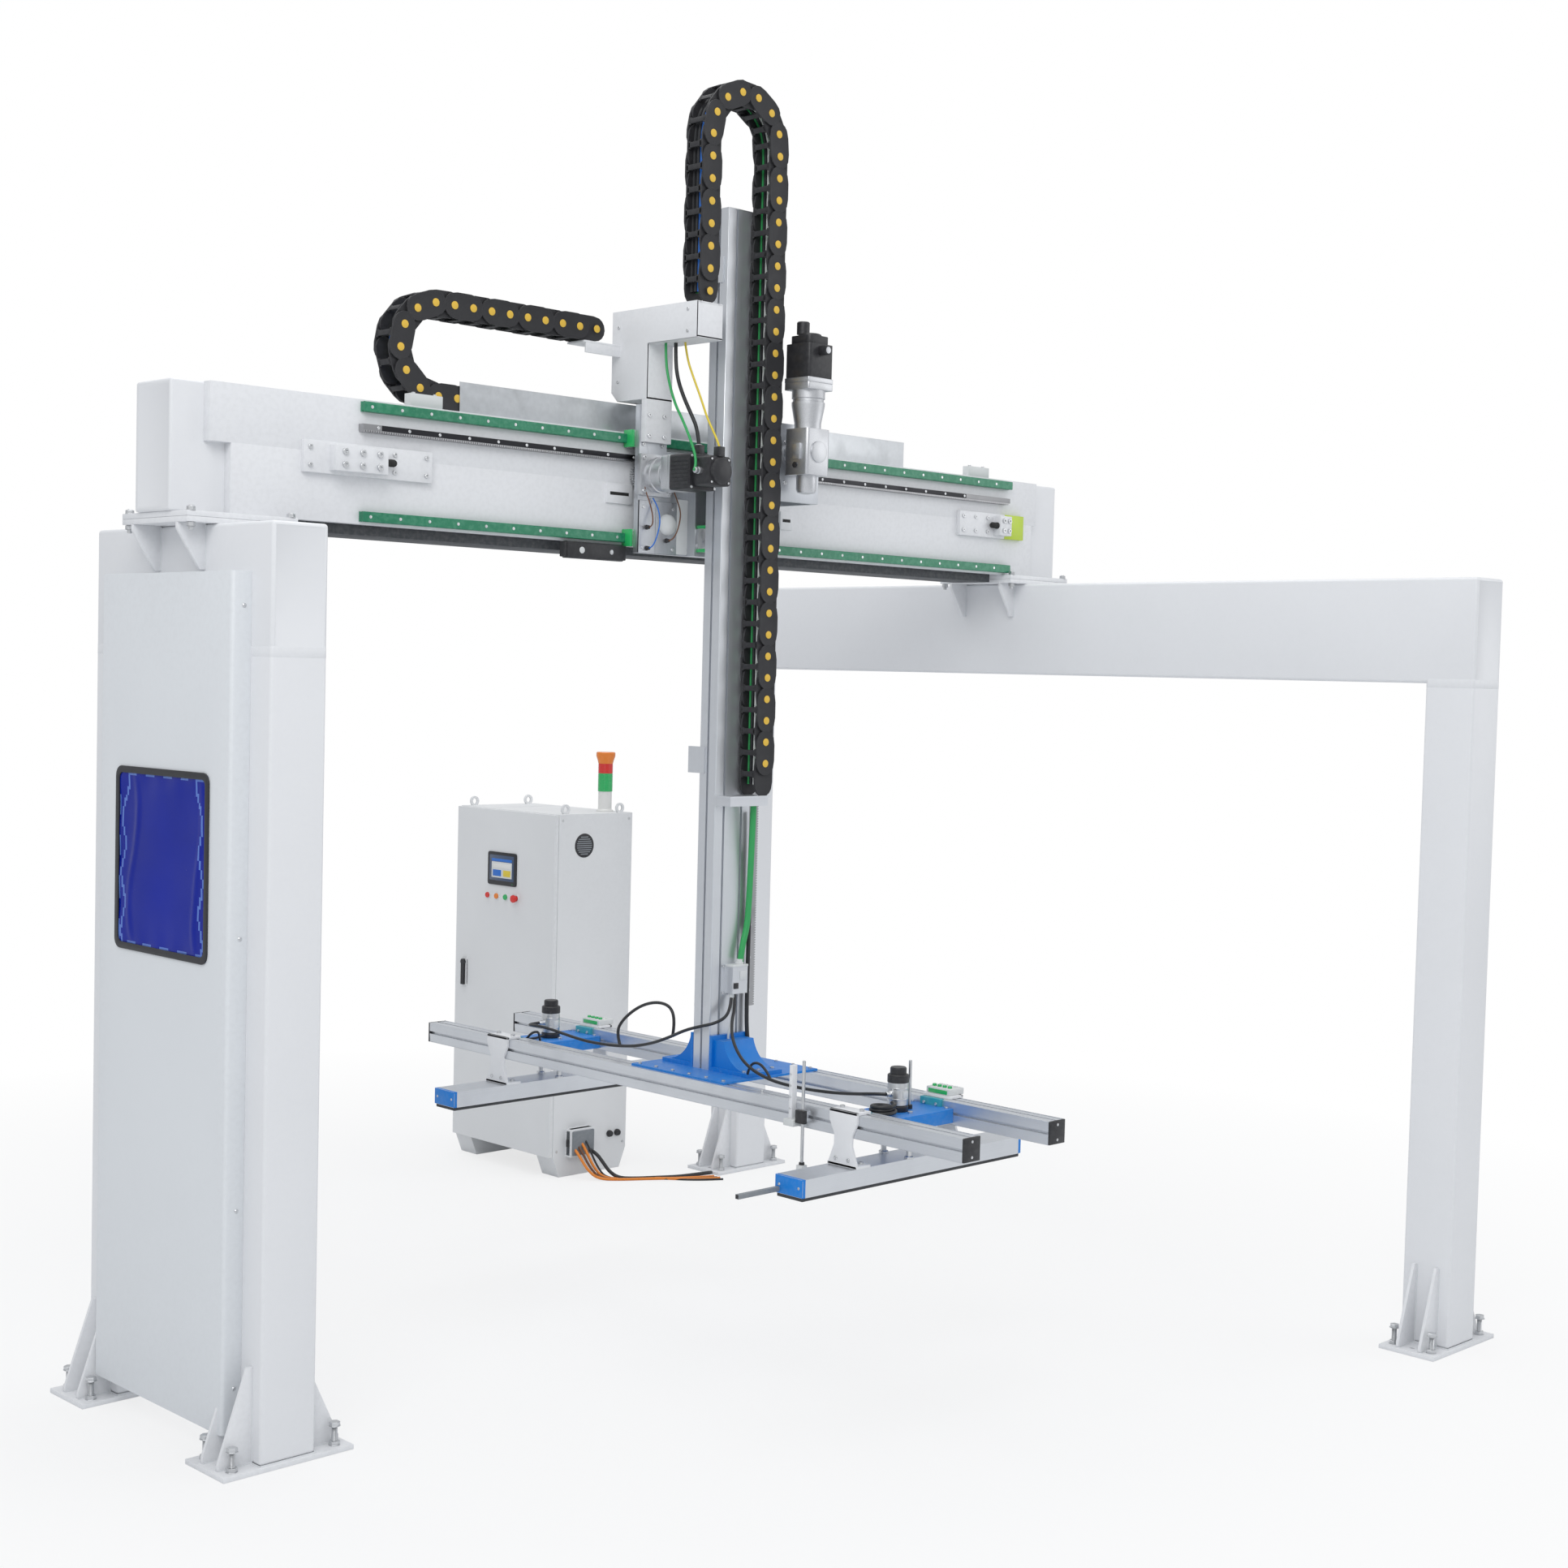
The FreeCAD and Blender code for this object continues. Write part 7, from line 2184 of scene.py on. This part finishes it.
@dataclass
class Bar(Assembly):
    """One suction bar: its profile, foam, hangers, cross plate and vacuum generator."""

    side: str
    y: float

    def foam(self) -> None:
        """The foam strip: a subdivided block that bulges at its sides, with suction cells below."""
        strip = block((1552, self.y - 60.4, 761), (2684, self.y + 60.4, 774.4), 0.0)
        edit(strip)
        bpy.ops.mesh.subdivide(number_cuts=3)
        bpy.ops.object.mode_set(mode="OBJECT")
        soften(strip, 3.0, 3)
        cell = turned((1586, self.y - 40, 760.0), Axis.Z, [(12, 0), (12, 7.0)], 14)
        carve(strip, row(row(cell, 28, x=38.0), 3, y=40.0))
        self.piece(self.side + "_foam_pad", [dress(strip, FOAM)], "foam", 40)

    def ends(self) -> None:
        """Blue caps on the bar's ends, each with screws, and the blue clamp beside each hanger."""
        items: list[Item] = []
        for low, face, high in ((1547.6, 1547.7, -1.2), (2673.6, 2688.3, 1.2)):
            cap = Box((low, self.y - 65.4, 773.8), (low + 14.8, self.y + 65.4, 836.4), BLUE, 2.0)
            items.append(cap.make())
            for across in (-46, 46):
                items.append(Screw((face, self.y + across, 805), Axis.X, 5.0, high).make())
        for low in (1873.0, 2250.0):
            items.append(Box((low, self.y - 48, 936), (low + 22, self.y + 48, 1021), TEAL, 2.0).make())
            for across in (-28, 28):
                for up in (954, 1002):
                    items.append(Screw((low, self.y + across, up), Axis.X, 6.0, -4.0).make())
        items.extend(shape.make() for shape in tag(2330.0, self.y))
        self.piece(self.side + "_bar_ends", items)

    def generator(self) -> None:
        """The vacuum generator: a ribbed silver drum with dark ends and a port."""
        x, y = 2078.0, self.y
        dome = ((36, 0), (38, 2), (38, 26), (35, 29), (29, 30), (29, 50), (26, 54))
        ring = ((37.4, 0), (37.8, 1), (37.8, 5), (37.4, 6))
        items = [
            Turn((x, y, 995), Axis.Z, ((37, 0), (38, 2), (38, 18), (36, 20), (36, 24)), BLACK, 48),
            Turn((x, y, 1019), Axis.Z, ((36.5, 0), (36.5, 78)), ZINC, 48),
            Turn((x, y, 1096), Axis.Z, dome, BLACK, 48),
            Turn((x - 34, y, 1060), Axis.X, ((11, 0), (11, -8), (9, -10), (9, -26), (7.5, -28)), ZINC, 28),
            *(Turn((x, y, z), Axis.Z, ring, ZINC, 48) for z in (1036, 1074)),
            Box((x - 12, y - 38, 1044), (x + 12, y - 34, 1068), SHELL, 1.5),
        ]
        self.piece(self.side + "_vacuum_generator", [item.make() for item in items], "gear_silver")

    def carrier(self) -> None:
        """The hourglass hangers with their lips, the cross plate and its posts."""
        y = self.y
        items: list[Item] = []
        half = ((-70, 836), (-41, 908.8), (-41, 945.2), (-65, 990.7), (-65, 1028.4))
        outline = [(y + across, up) for across, up in half]
        outline += [(y - across, up) for across, up in reversed(half)]
        for x in (1802.6, 2342.4):
            items.append(dress(cut_sheet(outline, Axis.X, x, 12.0, 1.6), WHITE))
            lip = x if x < 2000 else x - 58.0
            for low, reach in ((836.0, 70.0), (1018.4, 65.0)):
                foot = block((lip, y - reach, low), (lip + 70, y + reach, low + 10), 1.6)
                items.append(dress(foot, WHITE))
                for spot in (-46.0, 46.0):
                    middle = lip + (44 if x < 2000 else 26)
                    items.append(Screw((middle, y + spot, low + 9.8), Axis.Z, 9.0, 8.0).make())
            for spot in (-30.0, 30.0):
                face = x - 0.2 if x < 2000 else x + 12.2
                items.append(Screw((face, y + spot, 862), Axis.X, 7.0, -4.0 if x < 2000 else 4.0).make())
        items.append(Box((1895.4, y - 100, 985), (2261.6, y + 100, 995), BLUE, 1.6).make())
        for side in (-100, 94):
            items.append(Box((1895.4, y + side, 945), (2261.6, y + side + 6, 986), BLUE, 1.2).make())
        for across in (-60, 60):
            items.append(Turn((2078, y + across, 836), Axis.Z, ((10, 0), (10, 149)), ZINC, 24).make())
            items.append(Turn((2078, y + across, 836), Axis.Z, ((17, 0), (17, 8), (14, 10)), ZINC, 24).make())
            items.append(Screw((2078, y + across, 994.8), Axis.Z, 9.0, 8.0).make())
        for x in (1910, 2246):
            for across in (-80, 80):
                items.append(Screw((x, y + across, 994.8), Axis.Z, 7.0, 6.0).make())
        self.piece(self.side + "_bar_carrier", items, "white_paint")

    def build(self) -> None:
        """Model the bar's replaced pieces."""
        self.foam()
        self.generator()
        self.carrier()
        self.ends()


def coil(centre: Place, radius: float, turns: int, spread: float, rise: float) -> tuple[Place, ...]:
    """The control points of a loose coil that lies flat and climbs a little.

    Args:
        centre: The coil's middle, at its lowest turn.
        radius: The turns' usual radius.
        turns: The number of turns.
        spread: How far the radius swings.
        rise: How far the coil climbs.

    Returns:
        The control points.
    """
    points = []
    for step in range(turns * 12 + 1):
        angle = 2 * math.pi * step / 12
        share = step / (turns * 12)
        reach = radius + spread * math.sin(share * 7.0)
        across, along = reach * math.cos(angle), reach * 0.9 * math.sin(angle)
        points.append((centre[0] + across, centre[1] + along, centre[2] + rise * share))
    return tuple(points)


EXTRA_CORDS = (
    Cord(
        "DeviceTubeWhite", "arm", 5.0, TUBE_WHITE,
        (
            (2060, 88, 1309), (2058, 84, 1250), (2046, 80, 1200),
            (2040, 90, 1150), (2052, 94, 1110), (2060, 96, 1072),
        ),
        "bare",
    ),
    Cord(
        "ArmBundle", "arm", 8.0, HOSE,
        (
            (2140, 92, 1990), (2142, 94, 1900), (2141, 95, 1700), (2142, 96, 1500), (2140, 96, 1300),
            (2141, 95, 1180), (2146, 90, 1110), (2150, 80, 1050),
        ),
        "bare", "medium", "taut",
    ),
    Cord(
        "LoopOverRails", "arm", 6.0, HOSE,
        (
            (1960, 610, 1046), (1960, 640, 1100), (1960, 596, 1160), (1960, 500, 1222), (1960, 400, 1250),
            (1960, 320, 1240), (1958, 296, 1180), (1950, 300, 1128),
        ),
    ),
    Cord(
        "RightHose", "arm", 6.0, HOSE,
        (
            (2066, 87, 1309.4), (2062, 76, 1262), (2010, 40, 1212), (1960, -20, 1150), (1940, -110, 1080),
            (1950, -230, 1040), (1970, -370, 1030), (1990, -500, 1032), (1985, -620, 1046),
            (1990, -710, 1060), (2016, -741, 1060),
        ),
    ),
    Cord(
        "ShortArc", "arm", 5.0, HOSE,
        ((1972, -92, 1041), (1966, -110, 1080), (1960, -160, 1096), (1956, -210, 1070), (1952, -235, 1042)),
    ),
)
BAR_CORDS = (
    Cord(
        "RightCoil", "right_bar", 7.0, HOSE,
        coil((1962, -776, 1003), 44.0, 3, 6.0, 34.0), "bare", lay="coiled",
    ),
    Cord(
        "LeftLead", "left_bar", 5.0, HOSE,
        (
            (1960, 1110, 997), (1948, 1100, 1030), (1930, 1090, 1046), (1916, 1110, 1040),
            (1912, 1140, 1010), (1926, 1170, 1001), (1960, 1180, 1001), (2000, 1176, 1002),
            (2030, 1172, 1010),
        ),
    ),
)
CARRIAGE_CORDS = (
    Cord(
        "MotorWireYellow", "carriage", 4.0, WIRE_YELLOW,
        (
            (1800, 150, 3709), (1802, 140, 3650), (1808, 110, 3580), (1812, 70, 3500), (1806, 30, 3430),
            (1800, -10, 3380), (1796, -40, 3340), (1795, -51, 3318),
        ),
    ),
    Cord(
        "MotorWireGreen", "carriage", 5.0, WIRE_GREEN,
        (
            (1768, 220, 3709), (1766, 216, 3640), (1762, 190, 3560), (1758, 150, 3480), (1752, 100, 3420),
            (1740, 40, 3340), (1738, 10, 3280), (1720, -8, 3240), (1711, -10, 3233),
        ),
    ),
    *(
        Cord("SensorWire" + label, "carriage", 2.5, finish, route, "bare", "limp")
        for label, finish, route in (
            ("A", WIRE_BROWN, (
                (1762, 283, 3041), (1760, 262, 3044), (1752, 252, 3080),
                (1744, 262, 3130), (1740, 288, 3180), (1738, 300, 3230),
            )),
            ("B", WIRE_BLUE, (
                (1764, 283, 2964), (1762, 262, 2968), (1770, 250, 3000),
                (1790, 252, 3060), (1796, 276, 3120), (1790, 298, 3150),
            )),
            ("C", WIRE_BROWN, (
                (1860, 283, 2997), (1862, 262, 3000), (1880, 254, 3040),
                (1900, 262, 3100), (1902, 288, 3150), (1896, 300, 3180),
            )),
        )
    ),
)
COLUMN_PARTS = Details(
    "arm", "column_fittings",
    (
        Box((2036, 66, 1411), (2116, 108, 1420), SHELL, 2.0),
        Turn((2088, 86, 1413), Axis.Z, ((15, 0), (15, 14), (12.5, 16), (12.5, 26)), SHELL, 28),
        Turn((2052, 87, 1311), Axis.Z, ((10, 0), (10, -14), (8, -16)), SHELL, 28),
        Box((2044, 64.5, 1330), (2066, 68.5, 1352), BLACK, 1.2),
        Box((2074, 64.5, 1360), (2106, 68.5, 1396), SHELL, 1.2),
        Screw((1990, 111.9, 3300), Axis.Y, 5.0, -3.0),
        *bolts_row((1977, 111.8, 2030), Axis.Y, 6.0, -4.0, 2, (155, 0, 0)),
        *bolts_row((2025, 105.8, 1312), Axis.Y, 4.0, -3.0, 2, (0, 0, 100)),
        Box((2000, 120, 4221), (2114, 194, 4224), SHELL, 1.0),
    ),
)


def rail_caps() -> tuple[Shape, ...]:
    """Black caps on the gripper rails' ends, each with two screws.

    Returns:
        The caps and their screws.
    """
    caps: list[Shape] = []
    for low in (1815.0, 2262.0):
        for y0, y1, face in ((-1274.4, -1265.5, -1274.3), (1665.5, 1674.4, 1674.3)):
            caps.append(Box((low - 0.3, y0, 937.7), (low + 80.3, y1, 1018.3), BLACK, 1.2))
            high = -1.4 if face < 0 else 1.4
            caps.extend(Screw((low + 40, face, 978 + up), Axis.Y, 5.0, high) for up in (-26, 26))
    return tuple(caps)


RAIL_FITTINGS = Details(
    "arm", "rail_fittings",
    (
        *rail_caps(),
        Box((1792, -504, 938), (1815.5, -488, 1151), WHITE, 1.5),
        Box((1776, -528, 940), (1816, -478, 964), SHELL, 2.0),
        *bolts_row((1791.8, -496, 1000), Axis.X, 4.0, -3.0, 4, (0, 0, 40)),
        Box((1782, -572, 955), (1800, -530, 1001), BLACK, 2.0),
        Turn((1846, -300, 1017), Axis.Z, ((6, 0), (6, 10), (4, 12)), ZINC, 20),
    ),
)
RIGHT_EXTRAS = Details(
    "right_bar", "right_bar_extras",
    (
        Box((1358, -698, 780), (1550, -682, 796), GREY, 1.2),
        Box((1357.6, -697, 781), (1359, -683, 795), GASKET, 0.3),
        Turn((2140, -741, 995), Axis.Z, ((6, 0), (6, 170), (4, 172)), ZINC, 20),
        Turn((2140, -741, 994), Axis.Z, ((11, 0), (11, 14), (9, 16)), BLACK, 20),
    ),
)


@dataclass
class UprightRack(Assembly):
    """The column's rails and rack, with the rack's teeth and all screws."""

    def build(self) -> None:
        """Model rails, rack body, teeth and plugs."""
        front, back = 202.0, 227.0
        low, long = 1250.0, 2950.0
        items = []
        for middle in (2007.0, 2107.0):
            section = [(x, front + back - y) for y, x in rail_outline(front, back, middle)]
            items.append(dress(cut_sheet(section, Axis.Z, low, long, 0.0), STEEL_UP))
            plug = Turn((middle, 226.6, 1280), Axis.Y, ((8, 0), (8, 0.8), (6.8, 1.2)), ZINC, 16)
            items.append(row(plug.make(), 36, z=82.0))
        items.append(Box((2147, 120, low), (2195.5, 148, low + long), RACK_STEEL, 0.8).make())
        half = TOOTH_PITCH / 2
        profile = ((2195, 0.5), (2202, half - 2.3), (2202, half + 2.3), (2195, TOOTH_PITCH - 0.5))
        outline = tuple((across, low + up) for across, up in profile)
        tooth = Cut(outline, Axis.Y, 120.5, 27.0, RACK_STEEL, 0.0).make()
        items.append(row(tooth, int(long / TOOTH_PITCH), z=TOOTH_PITCH))
        items.append(row(Screw((2171, 120.2, 1310), Axis.Y, 6.5, -2.4).make(), 23, z=125.0))
        self.piece("z_rails_and_rack", items, "rack_steel")


@dataclass
class Rod(Assembly):
    """The sensor rod with its square head and clamp collar."""

    def build(self) -> None:
        """Model the rod."""
        shapes = (
            Turn((1801, -550, 808), Axis.Z, ((6, 0), (6, 363), (4.5, 365)), ZINC, 24),
            Box((1787, -564, 772), (1815, -536, 808.5), SHELL, 2.0),
            Box((1788, -564.4, 780), (1814, -563, 800), BLACK, 0.5),
            Turn((1801, -550, 808), Axis.Z, ((10, 0), (10, 8), (8, 10)), BLACK, 24),
        )
        self.piece("sensor_rod", [shape.make() for shape in shapes])


# Cabinet


def lamp_rings(x: float, y: float, low: float, high: float, finish: Finish) -> Turn:
    """A beacon's ribbed lens.

    Args:
        x: The lens's middle in X.
        y: Its middle in Y.
        low: Its lower end.
        high: Its upper end.
        finish: Its finish.

    Returns:
        The lens.
    """
    profile: list[Flat] = []
    level = 0.0
    while level < high - low - 6.0:
        profile.extend([(36.0, level), (37.0, level + 2.0), (37.0, level + 4.5), (36.0, level + 6.5)])
        level += 8.0
    profile.append((36.0, high - low))
    return Turn((x, y, low), Axis.Z, tuple(profile), finish, 44)


TOWER_X, TOWER_Y = 3575.0, 2647.0
TOWER = Details(
    "frame", "signal_tower",
    (
        Turn(
            (TOWER_X, TOWER_Y, 1799), Axis.Z,
            ((42, 0), (42, 8), (36, 14), (34, 16), (34, 104)), LAMP_WHITE, 44,
        ),
        lamp_rings(TOWER_X, TOWER_Y, 1903, 1994, GREEN),
        lamp_rings(TOWER_X, TOWER_Y, 1994, 2043, RED),
        Turn((TOWER_X, TOWER_Y, 2043), Axis.Z, ((37, 0), (40, 14), (48, 38), (48, 54), (44, 58)), ORANGE, 44),
    ),
)


def vent(x: float, y: float, z: float) -> tuple[Shape, ...]:
    """A round louvred vent on a wall that faces -Y.

    Args:
        x: The vent's middle in X.
        y: The wall's face.
        z: The vent's middle in Z.

    Returns:
        The ring and its louvres.
    """
    shapes: list[Shape] = [Turn((x, y, z), Axis.Y, ((60, 0), (60, -1.6), (56, -2.2)), GASKET, 48)]
    for index in range(-4, 5):
        reach = math.sqrt(48.0**2 - (index * 10.5) ** 2)
        level = z + index * 10.5
        shapes.append(Box((x - reach, y - 2.4, level - 2.6), (x + reach, y - 0.5, level + 2.6), GREY, 0.6))
    return tuple(shapes)


CABINET_DETAILS = Details(
    "frame", "cabinet_fittings",
    (
        *vent(3360.0, 2543.4, 1643.0),
        *bolts_row((3222, 2543.2, 130), Axis.Y, 7.0, -3.0, 2, (0, 0, 1640), 2, (426, 0, 0)),
        Box((3279, 2501, 100), (3429, 2543.5, 238), CONNECTOR, 9.0),
        Box((3286, 2490, 108), (3422, 2503, 230), CONNECTOR, 6.0),
        Box((3272, 2512, 150), (3436, 2532, 188), BLACK, 3.0),
        *(
            Turn((x, 2543.4, 180), Axis.Y, ((17, 0), (17, -8), (14, -10), (14, -18)), BLACK, 28)
            for x in (3560, 3610)
        ),
        Box((3240, 3120, 1799.5), (3630, 3126, 1801.5), CABINET, 0.5),
    ),
)
DOOR_DETAILS = Details(
    "door", "door_fittings",
    (
        *(
            Turn((3178.4, y, 1362), Axis.X, ((19, 0), (19, -3), (17, -4.6), (15, -4.8)), ZINC, 36)
            for y in (2927, 3000, 3073)
        ),
        Turn((3178.4, 2841, 1362), Axis.X, ((24, 0), (24, -2.4), (22, -3.2)), CABINET, 36),
        Cut(tuple(rounded((3237, 879), (3283, 1025), 10, 4)), Axis.X, 3172.2, 6.0, BLACK, 1.2),
    ),
)
HMI = Details(
    "door", "hmi_panel",
    (
        Cut(tuple(rounded((2843, 1419), (3074, 1585), 12, 5)), Axis.X, 3171, 7.2, GASKET, 1.4),
        Cut(tuple(rounded((2860, 1442), (3057, 1570), 4, 3)), Axis.X, 3170.3, 1.6, SCREEN, 0.4),
        Turn((3171.2, 2872, 1430), Axis.X, ((2.4, 0), (2.4, -0.8)), GREEN, 16),
        Box((3169.9, 2876, 1456), (3170.6, 3040, 1536), SHELL, 0.2),
        Box((3169.7, 2876, 1538), (3170.6, 3040, 1552), WIRE_BLUE, 0.2),
        Box((3169.6, 2886, 1464), (3170.2, 2946, 1496), WIRE_YELLOW, 0.2),
        Box((3169.6, 2962, 1464), (3170.2, 3030, 1496), WIRE_BLUE, 0.2),
        Box((3169.6, 2886, 1506), (3170.2, 3030, 1526), LAMP_WHITE, 0.2),
    ),
    "screen",
)


@dataclass
class Button(Assembly):
    """A push button's coloured cap on its stem."""

    node: str
    y: float
    finish: Finish
    mushroom: bool = False

    def build(self) -> None:
        """Model the cap with a dished face."""
        if self.mushroom:
            profile = ((12, 0), (12, -36), (19, -38), (20, -44), (18, -49), (8, -51))
        else:
            profile = ((13.8, 0), (13.8, -30), (12.8, -31.6), (9, -30.9))
        cap = Turn((3198, self.y, 1362), Axis.X, profile, self.finish, 36)
        self.piece(self.node, [cap.make()])


BUTTONS = (
    Button("start", "start_button", 2927.0, GREEN),
    Button("reset", "reset_button", 3000.0, ORANGE),
    Button("stop", "stop_button", 3073.0, RED),
    Button("emergency", "emergency_button", 2841.0, RED, True),
)
FLOOR_CORDS = tuple(
    Cord(
        f"FloorBundle{index}",
        "frame", radius, finish,
        (
            (3300 + index * 22, 2536, 150 + index * 16),
            (3300 + index * 22, 2500, 146 + index * 14),
            (3304 + index * 22, 2460, 110 + index * 8),
            (3320 + index * 20, 2420, 50 + index * 4),
            (3350 + index * 16, 2370, radius + 0.5),
            (3440 + index * 14, 2290, radius + 0.5),
            (3560 + index * 12, 2220, radius + 0.5),
            (3700 + index * 6, 2120 - index * 22, radius + 0.5),
            (3840, 2060 - index * 22, radius + 0.5),
        ),
        "bare", "medium", "loose",
    )
    for index, (radius, finish) in enumerate(
        ((7.0, WIRE_ORANGE), (6.0, WIRE_BROWN), (7.0, WIRE_ORANGE), (5.0, HOSE))
    )
)


NODE_FINISH: dict[str, Finish] = {
    "cabinet_body": CABINET,
    "cabinet_door": CABINET,
    "door_handle": BLACK,
    "carriage_plate": PLATE,
    "column": ANODISED_UP,
    "foot_bracket": BLUE,
    "gripper_rails": ANODISED_ACROSS,
    "left_suction_bar": ANODISED_ALONG,
    "right_suction_bar": ANODISED_ALONG,
}
ASSEMBLIES: tuple[Assembly, ...] = (
    Portals("frame"),
    SideCover("frame"),
    Beam("frame"),
    STOPS, TRAY, PLATES, GUIDES, BRACKET, X_GEAR, X_MOTOR, Z_GEAR, Z_MOTOR, LUBE,
    *PINIONS,
    *CHAINS,
    UprightRack("arm"),
    COLUMN_PARTS, FOOT_BOLTS, RAIL_FITTINGS, RIGHT_EXTRAS,
    Bar("left_bar", "left", 1190.0),
    Bar("right_bar", "right", -741.0),
    Rod("rod"),
    TOWER, CABINET_DETAILS, DOOR_DETAILS, HMI,
    *BUTTONS,
)


def main() -> None:
    """Build every part of the scene in order."""
    logging.basicConfig(level=logging.INFO, format="%(message)s")
    Studio().build()
    for cord in CORDS + EXTRA_CORDS + BAR_CORDS + CARRIAGE_CORDS + FLOOR_CORDS:
        cord.build()
    for assembly in ASSEMBLIES:
        assembly.build()
    for name, finish in NODE_FINISH.items():
        dress_node(name, finish)


if __name__ == "__main__":
    main()
